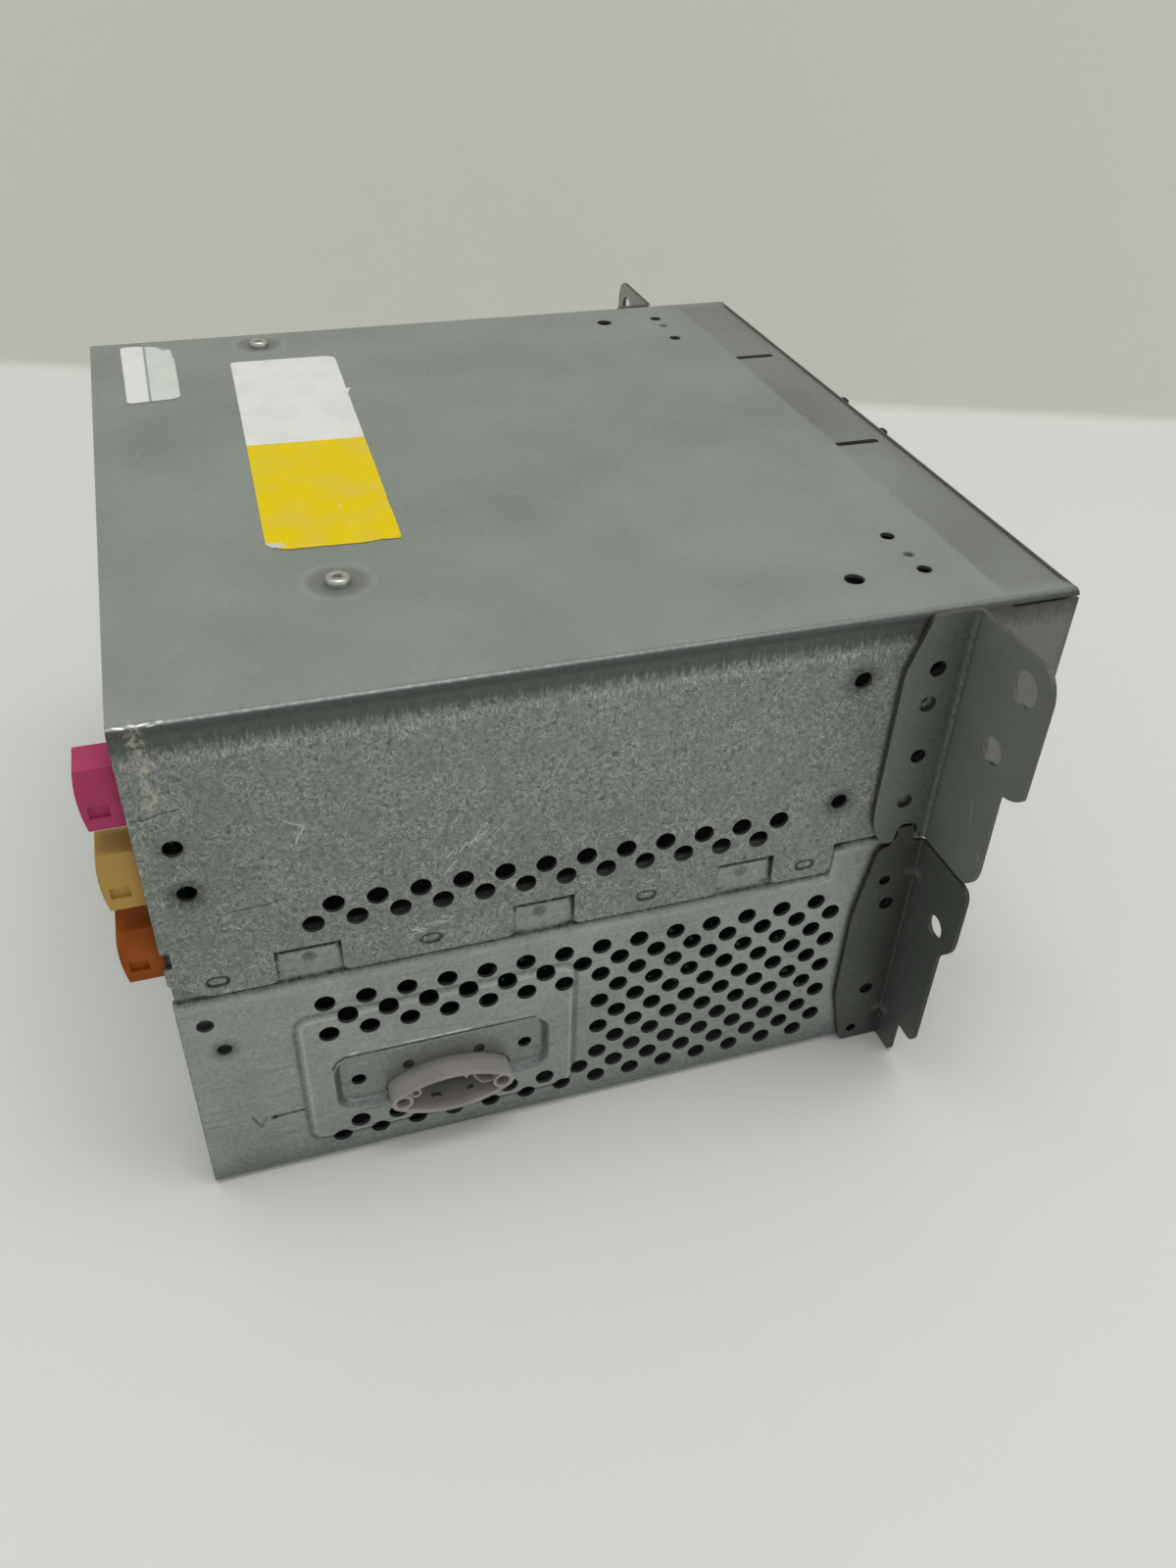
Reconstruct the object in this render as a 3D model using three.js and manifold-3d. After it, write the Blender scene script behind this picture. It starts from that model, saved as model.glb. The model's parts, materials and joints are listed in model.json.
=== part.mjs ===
// A car navigation computer: a slot-loading disc drive, a hard disk and their boards in a case of
// zinc-coated sheet steel, with four brackets that screw it into a dashboard opening.
// Millimetres. +X is right seen from the front, -Y is the front, +Z is up, and the origin lies on the
// floor under the middle of the case. The upper half overhangs the lower half at the front.

import * as THREE from 'three';
import { mergeGeometries, mergeVertices } from 'three/addons/utils/BufferGeometryUtils.js';
import Module from 'manifold-3d';

const wasm = await Module();
wasm.setup();

// Driving dimensions

const bodyWidth = 178;
const bodyDepth = 175.6;
const bodyHeight = 115.7;
const lowerSetback = 21.5;
const sheet = 0.8;
const clearance = 0.3;
const overrun = 1;
const coverBend = 1.2;
const housingBend = 1.6;
const coverDepth = 60.7;
const seamStep = 7.7;
const tongueRise = 11.5;
const discDiameter = 120;
const discThickness = 1.2;
const discPathHeight = 4.4;
const discPathDrop = 24.9;
const driveSideGap = 6.3;
const driveSideRoom = 8;
const spindleInset = 79.8;
const boardThickness = 1.6;
const boardHeight = 10;

// Facets round a hole, a pin and a larger turned piece

const holeSides = 8;
const pinSides = 10;
const turnedSides = 16;
const bendSteps = 3;
const weldDistance = 1e-4;

// Levels and faces that follow from the driving dimensions

const sideFace = bodyWidth / 2;
const endFace = bodyDepth / 2;
const frontFace = -endFace;
const lowerFront = frontFace + lowerSetback;
const sideInside = sideFace - sheet;
const panSide = sideInside - clearance;
const coverUnderside = bodyHeight - sheet;
const seamHeight = bodyHeight - coverDepth;
const driveHalf = discDiameter / 2 + driveSideRoom;
const driveCentre = sideFace - driveSideGap - driveHalf;
const discFloor = bodyHeight - discPathDrop;
const discCeiling = discFloor + discPathHeight;
const spindle = frontFace + spindleInset;
const boardTop = boardHeight + boardThickness;

// Shape tools

function toSolid(geometry) {
  const bare = geometry.clone();
  bare.deleteAttribute('normal');
  bare.deleteAttribute('uv');
  const welded = mergeVertices(bare, weldDistance);
  const points = welded.attributes.position;
  const index = welded.index.array;
  const corner = [new THREE.Vector3(), new THREE.Vector3(), new THREE.Vector3()];
  const triangles = [];
  let volume = 0;
  for (let i = 0; i < index.length; i += 3) {
    const [a, b, c] = index.slice(i, i + 3);
    if (a === b || b === c || c === a) continue;
    triangles.push(a, b, c);
    corner.forEach((point, j) => point.fromBufferAttribute(points, index[i + j]));
    volume += corner[0].dot(corner[1].cross(corner[2]));
  }
  if (volume < 0) triangles.reverse();
  const vertProperties = new Float32Array(points.array);
  const triVerts = new Uint32Array(triangles);
  return new wasm.Manifold(new wasm.Mesh({ numProp: 3, vertProperties, triVerts }));
}

function toGeometry(solid) {
  const mesh = solid.getMesh();
  const geometry = new THREE.BufferGeometry();
  geometry.setAttribute('position', new THREE.BufferAttribute(new Float32Array(mesh.vertProperties), 3));
  geometry.setIndex(new THREE.BufferAttribute(new Uint32Array(mesh.triVerts), 1));
  return geometry;
}

function join(first, ...others) {
  return others.reduce((sum, solid) => sum.add(solid), first);
}

function cut(first, ...cutters) {
  return cutters.reduce((rest, solid) => rest.subtract(solid), first);
}

function blockGeometry([x0, x1], [y0, y1], [z0, z1]) {
  const geometry = new THREE.BoxGeometry(x1 - x0, y1 - y0, z1 - z0);
  return geometry.translate((x0 + x1) / 2, (y0 + y1) / 2, (z0 + z1) / 2);
}

function block(x, y, z) {
  return toSolid(blockGeometry(x, y, z));
}

// Turns a geometry whose long axis is +Z so that it runs along the named axis: a shape drawn flat then
// reads (y, z) along x, (x, z) along y and (x, y) along z.
function lay(geometry, axis, from, to) {
  if (axis === 'z') return geometry.translate(0, 0, from);
  if (axis === 'y') return geometry.rotateX(Math.PI / 2).translate(0, to, 0);
  return geometry.rotateX(Math.PI / 2).rotateZ(Math.PI / 2).translate(from, 0, 0);
}

function prism(axis, [from, to], shape, curveSegments = bendSteps) {
  const settings = { depth: to - from, bevelEnabled: false, curveSegments };
  return toSolid(lay(new THREE.ExtrudeGeometry(shape, settings), axis, from, to));
}

function rodGeometry(axis, [from, to], [a, b], radius, sides) {
  const geometry = new THREE.CylinderGeometry(radius, radius, to - from, sides);
  geometry.rotateX(Math.PI / 2).rotateZ(Math.PI / sides).translate(a, b, (to - from) / 2);
  return lay(geometry, axis, from, to);
}

function rod(axis, span, centre, radius, sides = pinSides) {
  return toSolid(rodGeometry(axis, span, centre, radius, sides));
}

// Many rods that don't touch each other, as one solid to cut with
function rods(axis, span, centres, radius, sides = holeSides) {
  return toSolid(mergeGeometries(centres.map((centre) => rodGeometry(axis, span, centre, radius, sides))));
}

// A profile of [radius, height] pairs turned about an axis through the centre
function turned(axis, centre, profile, sides = turnedSides) {
  const points = profile.map(([radius, height]) => new THREE.Vector2(radius, height));
  const geometry = new THREE.LatheGeometry(points, sides).rotateX(Math.PI / 2);
  return toSolid(lay(geometry.translate(centre[0], centre[1], 0), axis, 0, 0));
}

function outline(points) {
  return new THREE.Shape(points.map(([a, b]) => new THREE.Vector2(a, b)));
}

function roundedRect([a0, a1], [b0, b1], radius) {
  const shape = new THREE.Shape();
  shape.absarc(a1 - radius, b1 - radius, radius, 0, Math.PI / 2, false);
  shape.absarc(a0 + radius, b1 - radius, radius, Math.PI / 2, Math.PI, false);
  shape.absarc(a0 + radius, b0 + radius, radius, Math.PI, Math.PI * 1.5, false);
  shape.absarc(a1 - radius, b0 + radius, radius, Math.PI * 1.5, Math.PI * 2, false);
  return shape;
}

// A bar with round ends between two points
function barOutline([a0, b0], [a1, b1], radius) {
  const turn = Math.atan2(b1 - b0, a1 - a0);
  const shape = new THREE.Shape();
  shape.absarc(a1, b1, radius, turn - Math.PI / 2, turn + Math.PI / 2, false);
  shape.absarc(a0, b0, radius, turn + Math.PI / 2, turn + Math.PI * 1.5, false);
  return shape;
}

function grown([low, high], by) {
  return [low - by, high + by];
}

function around(middle, size) {
  return [middle - size / 2, middle + size / 2];
}

function mirrored(solid) {
  return toSolid(toGeometry(solid).scale(-1, 1, 1));
}

function bothSides(build) {
  const right = build();
  return join(right, mirrored(right));
}

// A row of places at an even pitch along the first coordinate
function row(first, pitch, count, level) {
  return Array.from({ length: count }, (_, i) => [first + i * pitch, level]);
}

// Finishes

const finishes = {
  zinc: new THREE.MeshStandardMaterial({ color: '#8a8f89', roughness: 0.45, metalness: 0.8 }),
  steel: new THREE.MeshStandardMaterial({ color: '#9aa0a0', roughness: 0.35, metalness: 0.9 }),
  darkSteel: new THREE.MeshStandardMaterial({ color: '#5c615c', roughness: 0.45, metalness: 0.8 }),
  aluminium: new THREE.MeshStandardMaterial({ color: '#b9bcbd', roughness: 0.4, metalness: 0.9 }),
  greyPlastic: new THREE.MeshStandardMaterial({ color: '#a19f9a', roughness: 0.55, metalness: 0 }),
  blackPlastic: new THREE.MeshStandardMaterial({ color: '#1d1e1f', roughness: 0.5, metalness: 0 }),
  whitePlastic: new THREE.MeshStandardMaterial({ color: '#e4e1d6', roughness: 0.5, metalness: 0 }),
  pinkPlastic: new THREE.MeshStandardMaterial({ color: '#b23c72', roughness: 0.5, metalness: 0 }),
  beigePlastic: new THREE.MeshStandardMaterial({ color: '#c9a968', roughness: 0.5, metalness: 0 }),
  orangePlastic: new THREE.MeshStandardMaterial({ color: '#c8641c', roughness: 0.5, metalness: 0 }),
  board: new THREE.MeshStandardMaterial({ color: '#1f5b3a', roughness: 0.5, metalness: 0 }),
  rubber: new THREE.MeshStandardMaterial({ color: '#26262a', roughness: 0.9, metalness: 0 }),
  copper: new THREE.MeshStandardMaterial({ color: '#b8763c', roughness: 0.4, metalness: 0.9 }),
  brass: new THREE.MeshStandardMaterial({ color: '#c9a24a', roughness: 0.35, metalness: 0.9 }),
  paper: new THREE.MeshStandardMaterial({ color: '#e9e6dc', roughness: 0.7, metalness: 0 }),
  ribbon: new THREE.MeshStandardMaterial({ color: '#d9dce0', roughness: 0.5, metalness: 0 }),
};

const unit = new THREE.Group();

function piece(name, solid, finish, parent = unit) {
  const geometry = toGeometry(solid).toNonIndexed();
  geometry.computeVertexNormals();
  const mesh = new THREE.Mesh(geometry, finish);
  mesh.name = name;
  parent.add(mesh);
}

// Upper cover: the top and both sides, folded from one sheet

const screwInset = 2.7;
const screwFromRear = 41.7;
const dimpleDepth = 0.8;
const dimpleRadius = 5;
const screwHoleRadius = 1.75;
const screwRow = endFace - screwFromRear;
const screwPlaces = [
  [driveCentre + driveHalf - screwInset, screwRow],
  [driveCentre - driveHalf + screwInset, screwRow],
];

function coverProfile() {
  const bendInside = coverBend - sheet;
  const shape = new THREE.Shape();
  shape.moveTo(-sideFace, seamHeight);
  shape.lineTo(-sideFace, bodyHeight - coverBend);
  shape.absarc(-sideFace + coverBend, bodyHeight - coverBend, coverBend, Math.PI, Math.PI / 2, true);
  shape.absarc(sideFace - coverBend, bodyHeight - coverBend, coverBend, Math.PI / 2, 0, true);
  shape.lineTo(sideFace, seamHeight);
  shape.lineTo(sideInside, seamHeight);
  shape.absarc(sideFace - coverBend, bodyHeight - coverBend, bendInside, 0, Math.PI / 2, false);
  shape.absarc(-sideFace + coverBend, bodyHeight - coverBend, bendInside, Math.PI / 2, Math.PI, false);
  shape.lineTo(-sideInside, seamHeight);
  return shape;
}

function upperCover() {
  const across = grown([-sideFace, sideFace], overrun);
  const notchHeight = 7.8;
  const notchWidth = 12.3;
  const notchShares = [0.711, 0.195, -0.287];
  const stepFromFront = 43;
  const chamferLength = 6.9;
  const chamferRise = 4.4;
  const rearNotchDepth = 1.6;
  const rearNotchHeight = 3.8;
  const rearNotchRise = 8.6;
  const slitLength = 14.5;
  const slitWidth = 0.5;
  const slitDrop = 1.1;
  const ventRadius = 1.8;
  const ventPitch = 8;
  const ventCount = 12;
  const ventStagger = 4;
  const ventFromFront = 56.6;
  const lowVentRise = 13;
  const sideHoleRadius = 1.5;
  const sideHoleShares = [[0.932, 0.785], [0.924, 0.693], [-0.507, 0.886], [-0.505, 0.636]];
  const topHoleRadius = 1.5;
  const topHoleShares = [[-0.669, -0.713], [-0.829, -0.716], [0.871, -0.72], [0.688, -0.716]];
  const cornerHoleRadius = 2;
  const cornerHoleShares = [[-0.831, -0.544], [0.869, -0.547]];
  const slotLength = 10;
  const slotWidth = 1.2;
  const slotFromFront = 4.3;
  const slotSpread = 57.4;
  const slotMiddle = 13.8;

  const notches = notchShares.map((share) => {
    const along = around(share * endFace, notchWidth);
    return block(across, along, [seamHeight - overrun, seamHeight + notchHeight]);
  });
  const frontStep = block(across, [frontFace - overrun, frontFace + stepFromFront],
    [seamHeight - overrun, seamHeight + seamStep]);
  const overhangStep = block(across, [frontFace - overrun, lowerFront], [seamHeight - overrun, overhangUnder]);
  const chamfer = prism('x', across, outline([
    [endFace - chamferLength, seamHeight],
    [endFace - chamferLength, seamHeight - overrun],
    [endFace + overrun, seamHeight - overrun],
    [endFace + overrun, seamHeight + chamferRise],
    [endFace, seamHeight + chamferRise],
  ]));
  const rearNotchFloor = seamHeight + rearNotchRise;
  const rearNotch = block(across, [endFace - rearNotchDepth, endFace + overrun],
    [rearNotchFloor, rearNotchFloor + rearNotchHeight]);
  const slit = block(across, [frontFace - overrun, frontFace + slitLength],
    [bodyHeight - slitDrop - slitWidth, bodyHeight - slitDrop]);
  const firstVent = frontFace + ventFromFront;
  const vents = rods('x', [-sideFace - overrun, -sideInside + overrun], [
    ...row(firstVent, ventPitch, ventCount, seamHeight + lowVentRise + ventStagger),
    ...row(firstVent + ventStagger, ventPitch, ventCount, seamHeight + lowVentRise),
  ], ventRadius);
  const sideHoles = rods('x', across,
    sideHoleShares.map(([along, up]) => [along * endFace, up * bodyHeight]), sideHoleRadius);
  const through = grown([coverUnderside, bodyHeight], overrun + dimpleDepth);
  const onTop = ([along, back]) => [along * sideFace, back * endFace];
  const topHoles = rods('z', through, topHoleShares.map(onTop), topHoleRadius);
  const cornerHoles = rods('z', through, cornerHoleShares.map(onTop), cornerHoleRadius);
  const slots = [-1, 1].map((side) => {
    const middle = slotMiddle + side * slotSpread / 2;
    const start = frontFace + slotFromFront;
    return block(around(middle, slotWidth), [start, start + slotLength], through);
  });
  const dimpleBody = rods('z', [coverUnderside - dimpleDepth, bodyHeight - sheet / 2], screwPlaces,
    dimpleRadius + sheet, turnedSides);
  const dimpleHollow = rods('z', [bodyHeight - dimpleDepth, bodyHeight + overrun], screwPlaces,
    dimpleRadius, turnedSides);
  const screwHoles = rods('z', through, screwPlaces, screwHoleRadius);

  const folded = prism('y', [frontFace, endFace], coverProfile());
  const open = cut(folded, ...notches, frontStep, overhangStep, chamfer, rearNotch, slit, vents, sideHoles);
  return cut(join(open, dimpleBody), dimpleHollow, screwHoles, topHoles, cornerHoles, ...slots);
}

// Collar: a lens-shaped plastic tube through the left side

const collar = {
  fromFront: 125.3,
  height: 16.8,
  halfLength: 13,
  halfHeight: 5.6,
  endRadius: 2.4,
  wall: 1,
  proud: 3.8,
  flangeWidth: 2.4,
  flangeThickness: 1.2,
  eyeRadius: 1,
};
const collarMiddle = frontFace + collar.fromFront;

// Two shallow arcs joined by small end arcs, larger by the given offset
function lensOutline(offset) {
  const endCentre = collar.halfLength - collar.endRadius;
  const end = collar.endRadius + offset;
  const rise = collar.halfHeight - collar.endRadius;
  const arc = (endCentre ** 2 + rise ** 2) / (2 * rise);
  const big = arc + end;
  const drop = arc - rise;
  const half = Math.atan2(drop, endCentre);
  const shape = new THREE.Shape();
  shape.absarc(collarMiddle + endCentre, collar.height, end, -half, half, false);
  shape.absarc(collarMiddle, collar.height - drop, big, half, Math.PI - half, false);
  shape.absarc(collarMiddle - endCentre, collar.height, end, Math.PI - half, Math.PI + half, false);
  shape.absarc(collarMiddle, collar.height + drop, big, Math.PI + half, Math.PI * 2 - half, false);
  return shape;
}

// Lower housing: the floor, the front wall and both sides, with a tongue joggled behind the upper cover

const recessDepth = 2;
const padRise = 0.6;
const middleDepth = 1;
const boss = {
  radius: 3.2,
  sideInset: 19,
  endInset: 21.8,
};
const recessBack = -sideFace + recessDepth + middleDepth + sheet;

// The joggled strip of one side, from the flush side wall to the edge that the cover laps over
function tongueProfile(start) {
  const tongueTop = seamHeight + tongueRise;
  const set = sheet + clearance;
  const back = clearance;
  return outline([
    [sideFace, start - set],
    [sideFace, start],
    [sideFace - set, start + set],
    [sideFace - set, tongueTop],
    [sideInside - set, tongueTop],
    [sideInside - set, start + set - back],
    [sideInside, start - back],
    [sideInside, start - set],
  ]);
}

function lowerHousing() {
  const tongueEndInset = 14.8;
  const tongueFrontInset = 2.2;
  const ventRadius = 1.8;
  const ventPitch = 8;
  const rowPitch = 4;
  const ventFromFront = 40.6;
  const lowestRow = 6.8;
  const rowCounts = [14, 14, 7, 7, 7, 7, 7, 7, 14, 14, 14];
  const rearHoleRadius = 1.3;
  const rearHoleShares = [[0.945, 0.862], [0.917, 0.727]];
  const padFromFront = 98;
  const padLength = 57;
  const padFloor = 7;
  const padDrop = 11;
  const padCorner = 3;
  const recessFromFront = 103.6;
  const recessLength = 45.3;
  const recessFloor = 14;
  const recessHeight = 16.5;
  const recessCorner = 4.5;
  const middleLength = 27.4;
  const middleInset = 1.6;
  const recessHoleRadius = 1.3;
  const recessHoleShares = [[0.11, 0.46], [0.89, 0.45]];
  const middleHoleShares = [[0.33, 0.525], [0.66, 0.525]];
  const stepFromFront = 43;
  const seamGap = 1;
  const wallHoleRadius = 2;
  const wallHoleShares = [[-0.85, 0.42], [0.85, 0.42], [-0.3, 0.78]];

  const floorProfile = new THREE.Shape();
  const seamStart = seamHeight - seamGap;
  const inside = housingBend - sheet;
  floorProfile.moveTo(-sideFace, seamStart);
  floorProfile.absarc(-sideFace + housingBend, housingBend, housingBend, Math.PI, Math.PI * 1.5, false);
  floorProfile.absarc(sideFace - housingBend, housingBend, housingBend, -Math.PI / 2, 0, false);
  floorProfile.lineTo(sideFace, seamStart);
  floorProfile.lineTo(sideInside, seamStart);
  floorProfile.absarc(sideFace - housingBend, housingBend, inside, 0, -Math.PI / 2, true);
  floorProfile.absarc(-sideFace + housingBend, housingBend, inside, -Math.PI / 2, -Math.PI, true);
  floorProfile.lineTo(-sideInside, seamStart);
  const tray = prism('y', [lowerFront, endFace], floorProfile);
  const wallY = [lowerFront, lowerFront + sheet];
  const frontWall = block([-sideInside, sideInside], wallY, [sheet / 2, overhangUnder - clearance]);
  const throughWall = grown(wallY, overrun);
  const wallHoles = rods('y', throughWall,
    wallHoleShares.map(([along, up]) => [along * sideFace, up * seamHeight]), wallHoleRadius);
  const fasciaFloor = boardTop + clearance;
  const fasciaHole = block(around(fasciaMiddle, fascia.width + 2 * clearance), throughWall,
    grown([fasciaFloor, fasciaFloor + fascia.height], clearance));

  const stepEnd = frontFace + stepFromFront - clearance;
  const tongues = bothSides(() => join(
    prism('y', [stepEnd, endFace - tongueEndInset], tongueProfile(seamStart)),
    prism('y', [lowerFront + tongueFrontInset, stepEnd], tongueProfile(seamStart + seamStep)),
    block([sideInside, sideFace], [lowerFront, stepEnd], [seamStart - overrun, seamStart + seamStep]),
  ));

  const padSpan = [frontFace + padFromFront, frontFace + padFromFront + padLength];
  const padRange = [padFloor, seamHeight - padDrop];
  const recessSpan = [frontFace + recessFromFront, frontFace + recessFromFront + recessLength];
  const recessRange = [recessFloor, recessFloor + recessHeight];
  const middleSpan = around(collarMiddle, middleLength);
  const middleRange = grown(recessRange, -middleInset);
  const padFace = -sideFace - padRise;
  const recessFace = -sideFace + recessDepth;
  const middleFace = recessFace + middleDepth;
  const pad = prism('x', [padFace, -sideInside - sheet / 2], roundedRect(padSpan, padRange, padCorner));
  const padHollow = prism('x', [padFace + sheet, -sideInside + overrun],
    roundedRect(grown(padSpan, -sheet), grown(padRange, -sheet), padCorner - sheet));
  const recess = prism('x', [padFace + sheet / 2, recessFace + sheet],
    roundedRect(grown(recessSpan, sheet), grown(recessRange, sheet), recessCorner + sheet));
  const recessHollow = prism('x', [padFace - overrun, recessFace],
    roundedRect(recessSpan, recessRange, recessCorner));
  const middle = block([recessFace + sheet / 2, middleFace + sheet], grown(middleSpan, sheet),
    grown(middleRange, sheet));
  const middleHollow = block([padFace - overrun, middleFace], middleSpan, middleRange);
  const collarHole = prism('x', [padFace - overrun, recessBack + overrun], lensOutline(clearance));

  const firstVent = frontFace + ventFromFront;
  const ventRow = (count, i) => {
    const stagger = i % 2 === 0 ? ventPitch / 2 : 0;
    return row(firstVent + stagger, ventPitch, count, lowestRow + i * rowPitch);
  };
  const vents = rods('x', [padFace - overrun, -sideInside + overrun], rowCounts.flatMap(ventRow), ventRadius);
  const rearHoles = rods('x', grown([-sideFace, sideFace], overrun),
    rearHoleShares.map(([along, up]) => [along * endFace, up * seamHeight]), rearHoleRadius);
  const inRecess = ([along, up]) => [
    recessSpan[0] + along * recessLength,
    recessRange[0] + up * recessHeight,
  ];
  const recessHoles = rods('x', [padFace - overrun, recessBack + overrun],
    [...recessHoleShares, ...middleHoleShares].map(inRecess), recessHoleRadius);

  const bossX = sideFace - boss.sideInset;
  const bossFront = lowerFront + boss.endInset;
  const bossRear = endFace - boss.endInset;
  const bossPlaces = [
    [-bossX, bossFront], [0, bossFront], [bossX, bossFront],
    [-bossX, bossRear], [bossX, bossRear],
  ];
  const bosses = rods('z', [sheet / 2, boardHeight - clearance], bossPlaces, boss.radius);

  const walls = cut(join(tray, frontWall, tongues, pad), padHollow, fasciaHole, wallHoles);
  const pressed = cut(join(walls, recess), recessHollow);
  const deep = cut(join(pressed, middle), middleHollow, collarHole, vents);
  return cut(join(deep, bosses), rearHoles, recessHoles);
}

function sideCollar() {
  const rim = -sideFace - collar.proud;
  const flangeFace = recessBack + clearance;
  const flangeBack = flangeFace + collar.flangeThickness;
  const eye = collar.halfLength - collar.endRadius;
  const tube = prism('x', [rim, flangeBack], lensOutline(0));
  const flange = prism('x', [flangeFace, flangeBack], lensOutline(collar.flangeWidth));
  const hollow = prism('x', [rim - overrun, flangeBack + overrun], lensOutline(-collar.wall));
  const neck = 2 * collar.endRadius + collar.wall;
  const centreOnly = block([rim - overrun, flangeBack + overrun],
    around(collarMiddle, 2 * collar.halfLength - 2 * neck), around(collar.height, 2 * collar.halfHeight));
  const eyes = rods('x', [rim - overrun, flangeBack + overrun],
    [[collarMiddle - eye, collar.height], [collarMiddle + eye, collar.height]], collar.eyeRadius);
  return cut(join(tube, flange), hollow.intersect(centreOnly), eyes);
}

// Brackets: each a plate on the side and a flange that stands out from it, folded from one sheet

const bracket = {
  thickness: 1,
  fromFront: 22.5,
  plateDepth: 13.3,
  upperReach: 24.5,
  lowerReach: 17.7,
  overSeam: 5.9,
  topGap: 0.1,
  footGap: 0.3,
  tabRise: 4,
};
const bracketFlangeFace = frontFace + bracket.fromFront;
const bracketPlateFace = sideFace + clearance + bracket.thickness;
const bracketSplit = seamHeight + bracket.overSeam;

// Outlines as shares of the plate's depth or the flange's reach, and of the bracket's height
const upperPlateShares = [
  [0, 0], [0.105, 0.004], [0.158, 0.029], [0.188, 0.082], [0.429, 0.088], [0.496, 0.079], [0.511, 0.02],
  [0.617, 0.005], [0.767, 0.009], [0.872, 0.051], [0.962, 0.099], [1, 0.161], [0.985, 0.779], [0.692, 1],
  [0, 1],
];
const upperFlangeShares = [
  [0, 0.005], [0.65, 0.007], [0.74, 0.05], [0.767, 0.102], [0.755, 0.444], [0.771, 0.464], [0.878, 0.477],
  [0.943, 0.494], [1, 0.514], [1, 0.908], [0.967, 0.955], [0.918, 0.985], [0.857, 1], [0, 1],
];
const lowerPlateShares = [[0, 0], [0.75, 0], [1, 0.249], [1, 0.637], [0.838, 1], [0, 1]];
const lowerFlangeShares = [
  [0, 0], [0.395, 0], [0.407, 0.174], [0.678, 0.174], [0.746, 0.184], [0.78, 0.21], [0.791, 0.646],
  [0.921, 0.687], [0.983, 0.719], [1, 0.757], [1, 0.959], [0.96, 0.988], [0.847, 1], [0, 1],
];

function bracketSheet(plate, flange, reach, [bottom, plateTop], flangeTop) {
  const onPlate = plate.map(([along, up]) => [
    bracketFlangeFace + along * bracket.plateDepth,
    bottom + up * (plateTop - bottom),
  ]);
  const onFlange = flange.map(([out, up]) => [
    bracketPlateFace - bracket.thickness + out * (reach + bracket.thickness),
    bottom + up * (flangeTop - bottom),
  ]);
  const foldY = [bracketFlangeFace - bracket.thickness, bracketFlangeFace];
  const plateX = [bracketPlateFace - bracket.thickness, bracketPlateFace];
  const plateSolid = prism('x', plateX, outline(onPlate));
  const corner = block(plateX, foldY, [bottom, flangeTop]);
  return join(plateSolid, corner, prism('y', foldY, outline(onFlange)));
}

function upperBracket() {
  const plateHoleRadius = 1.5;
  const plateHoleShares = [[0.466, 0.781], [0.504, 0.636], [0.459, 0.408], [0.511, 0.201]];
  const largeHoleRadius = 3.5;
  const largeHoleShare = [0.7, 0.879];
  const smallHoleRadius = 2.8;
  const smallHoleShare = [0.54, 0.581];
  const top = bodyHeight - bracket.topGap;
  const height = top - bracketSplit;
  const onFlange = ([out, up]) => [bracketPlateFace + out * bracket.upperReach, bracketSplit + up * height];
  const plateHoles = plateHoleShares.map(([along, up]) => [
    bracketFlangeFace + along * bracket.plateDepth,
    bracketSplit + up * height,
  ]);
  const through = grown([bracketFlangeFace - bracket.thickness, bracketFlangeFace], overrun);
  const sheetSolid = bracketSheet(upperPlateShares, upperFlangeShares, bracket.upperReach,
    [bracketSplit, top], top);
  return cut(sheetSolid,
    rods('x', grown([sideFace, bracketPlateFace], overrun), plateHoles, plateHoleRadius),
    rod('y', through, onFlange(largeHoleShare), largeHoleRadius, turnedSides),
    rod('y', through, onFlange(smallHoleShare), smallHoleRadius, turnedSides));
}

function lowerBracket() {
  const plateHoleRadius = 1.3;
  const plateHoleShares = [[0.54, 0.776], [0.414, 0.667], [0.407, 0.253], [0.533, 0.054]];
  const flangeHoleRadius = 2.6;
  const flangeHoleShare = [0.6, 0.737];
  const plateTop = bracketSplit + bracket.tabRise;
  const flangeTop = bracketSplit - clearance;
  const height = plateTop - bracket.footGap;
  const plateHoles = plateHoleShares.map(([along, up]) => [
    bracketFlangeFace + along * bracket.plateDepth,
    bracket.footGap + up * height,
  ]);
  const flangeHole = [
    bracketPlateFace + flangeHoleShare[0] * bracket.lowerReach,
    bracket.footGap + flangeHoleShare[1] * (flangeTop - bracket.footGap),
  ];
  const sheetSolid = bracketSheet(lowerPlateShares, lowerFlangeShares, bracket.lowerReach,
    [bracket.footGap, plateTop], flangeTop);
  // The tab stands in the upper plate's notch, clear of it all round
  const top = bodyHeight - bracket.topGap;
  const upper = upperPlateShares.map(([along, up]) => [
    bracketFlangeFace + along * bracket.plateDepth,
    bracketSplit + up * (top - bracketSplit),
  ]);
  const plateX = grown([sideFace, bracketPlateFace], overrun);
  const shifts = [[-clearance, -clearance], [clearance, -clearance], [0, -clearance], [-clearance, 0],
    [clearance, 0]];
  const seats = shifts.map(([dy, dz]) => {
    return prism('x', plateX, outline(upper.map(([y, z]) => [y + dy, z + dz])));
  });
  const foldTrim = block(plateX, grown([bracketFlangeFace - bracket.thickness, bracketFlangeFace], clearance),
    [flangeTop, plateTop + overrun]);
  const through = grown([bracketFlangeFace - bracket.thickness, bracketFlangeFace], overrun);
  return cut(sheetSolid, ...seats, foldTrim,
    rods('x', plateX, plateHoles, plateHoleRadius),
    rod('y', through, flangeHole, flangeHoleRadius, turnedSides));
}

// Fascia connector on the front edge of the main board, below the overhang

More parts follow.
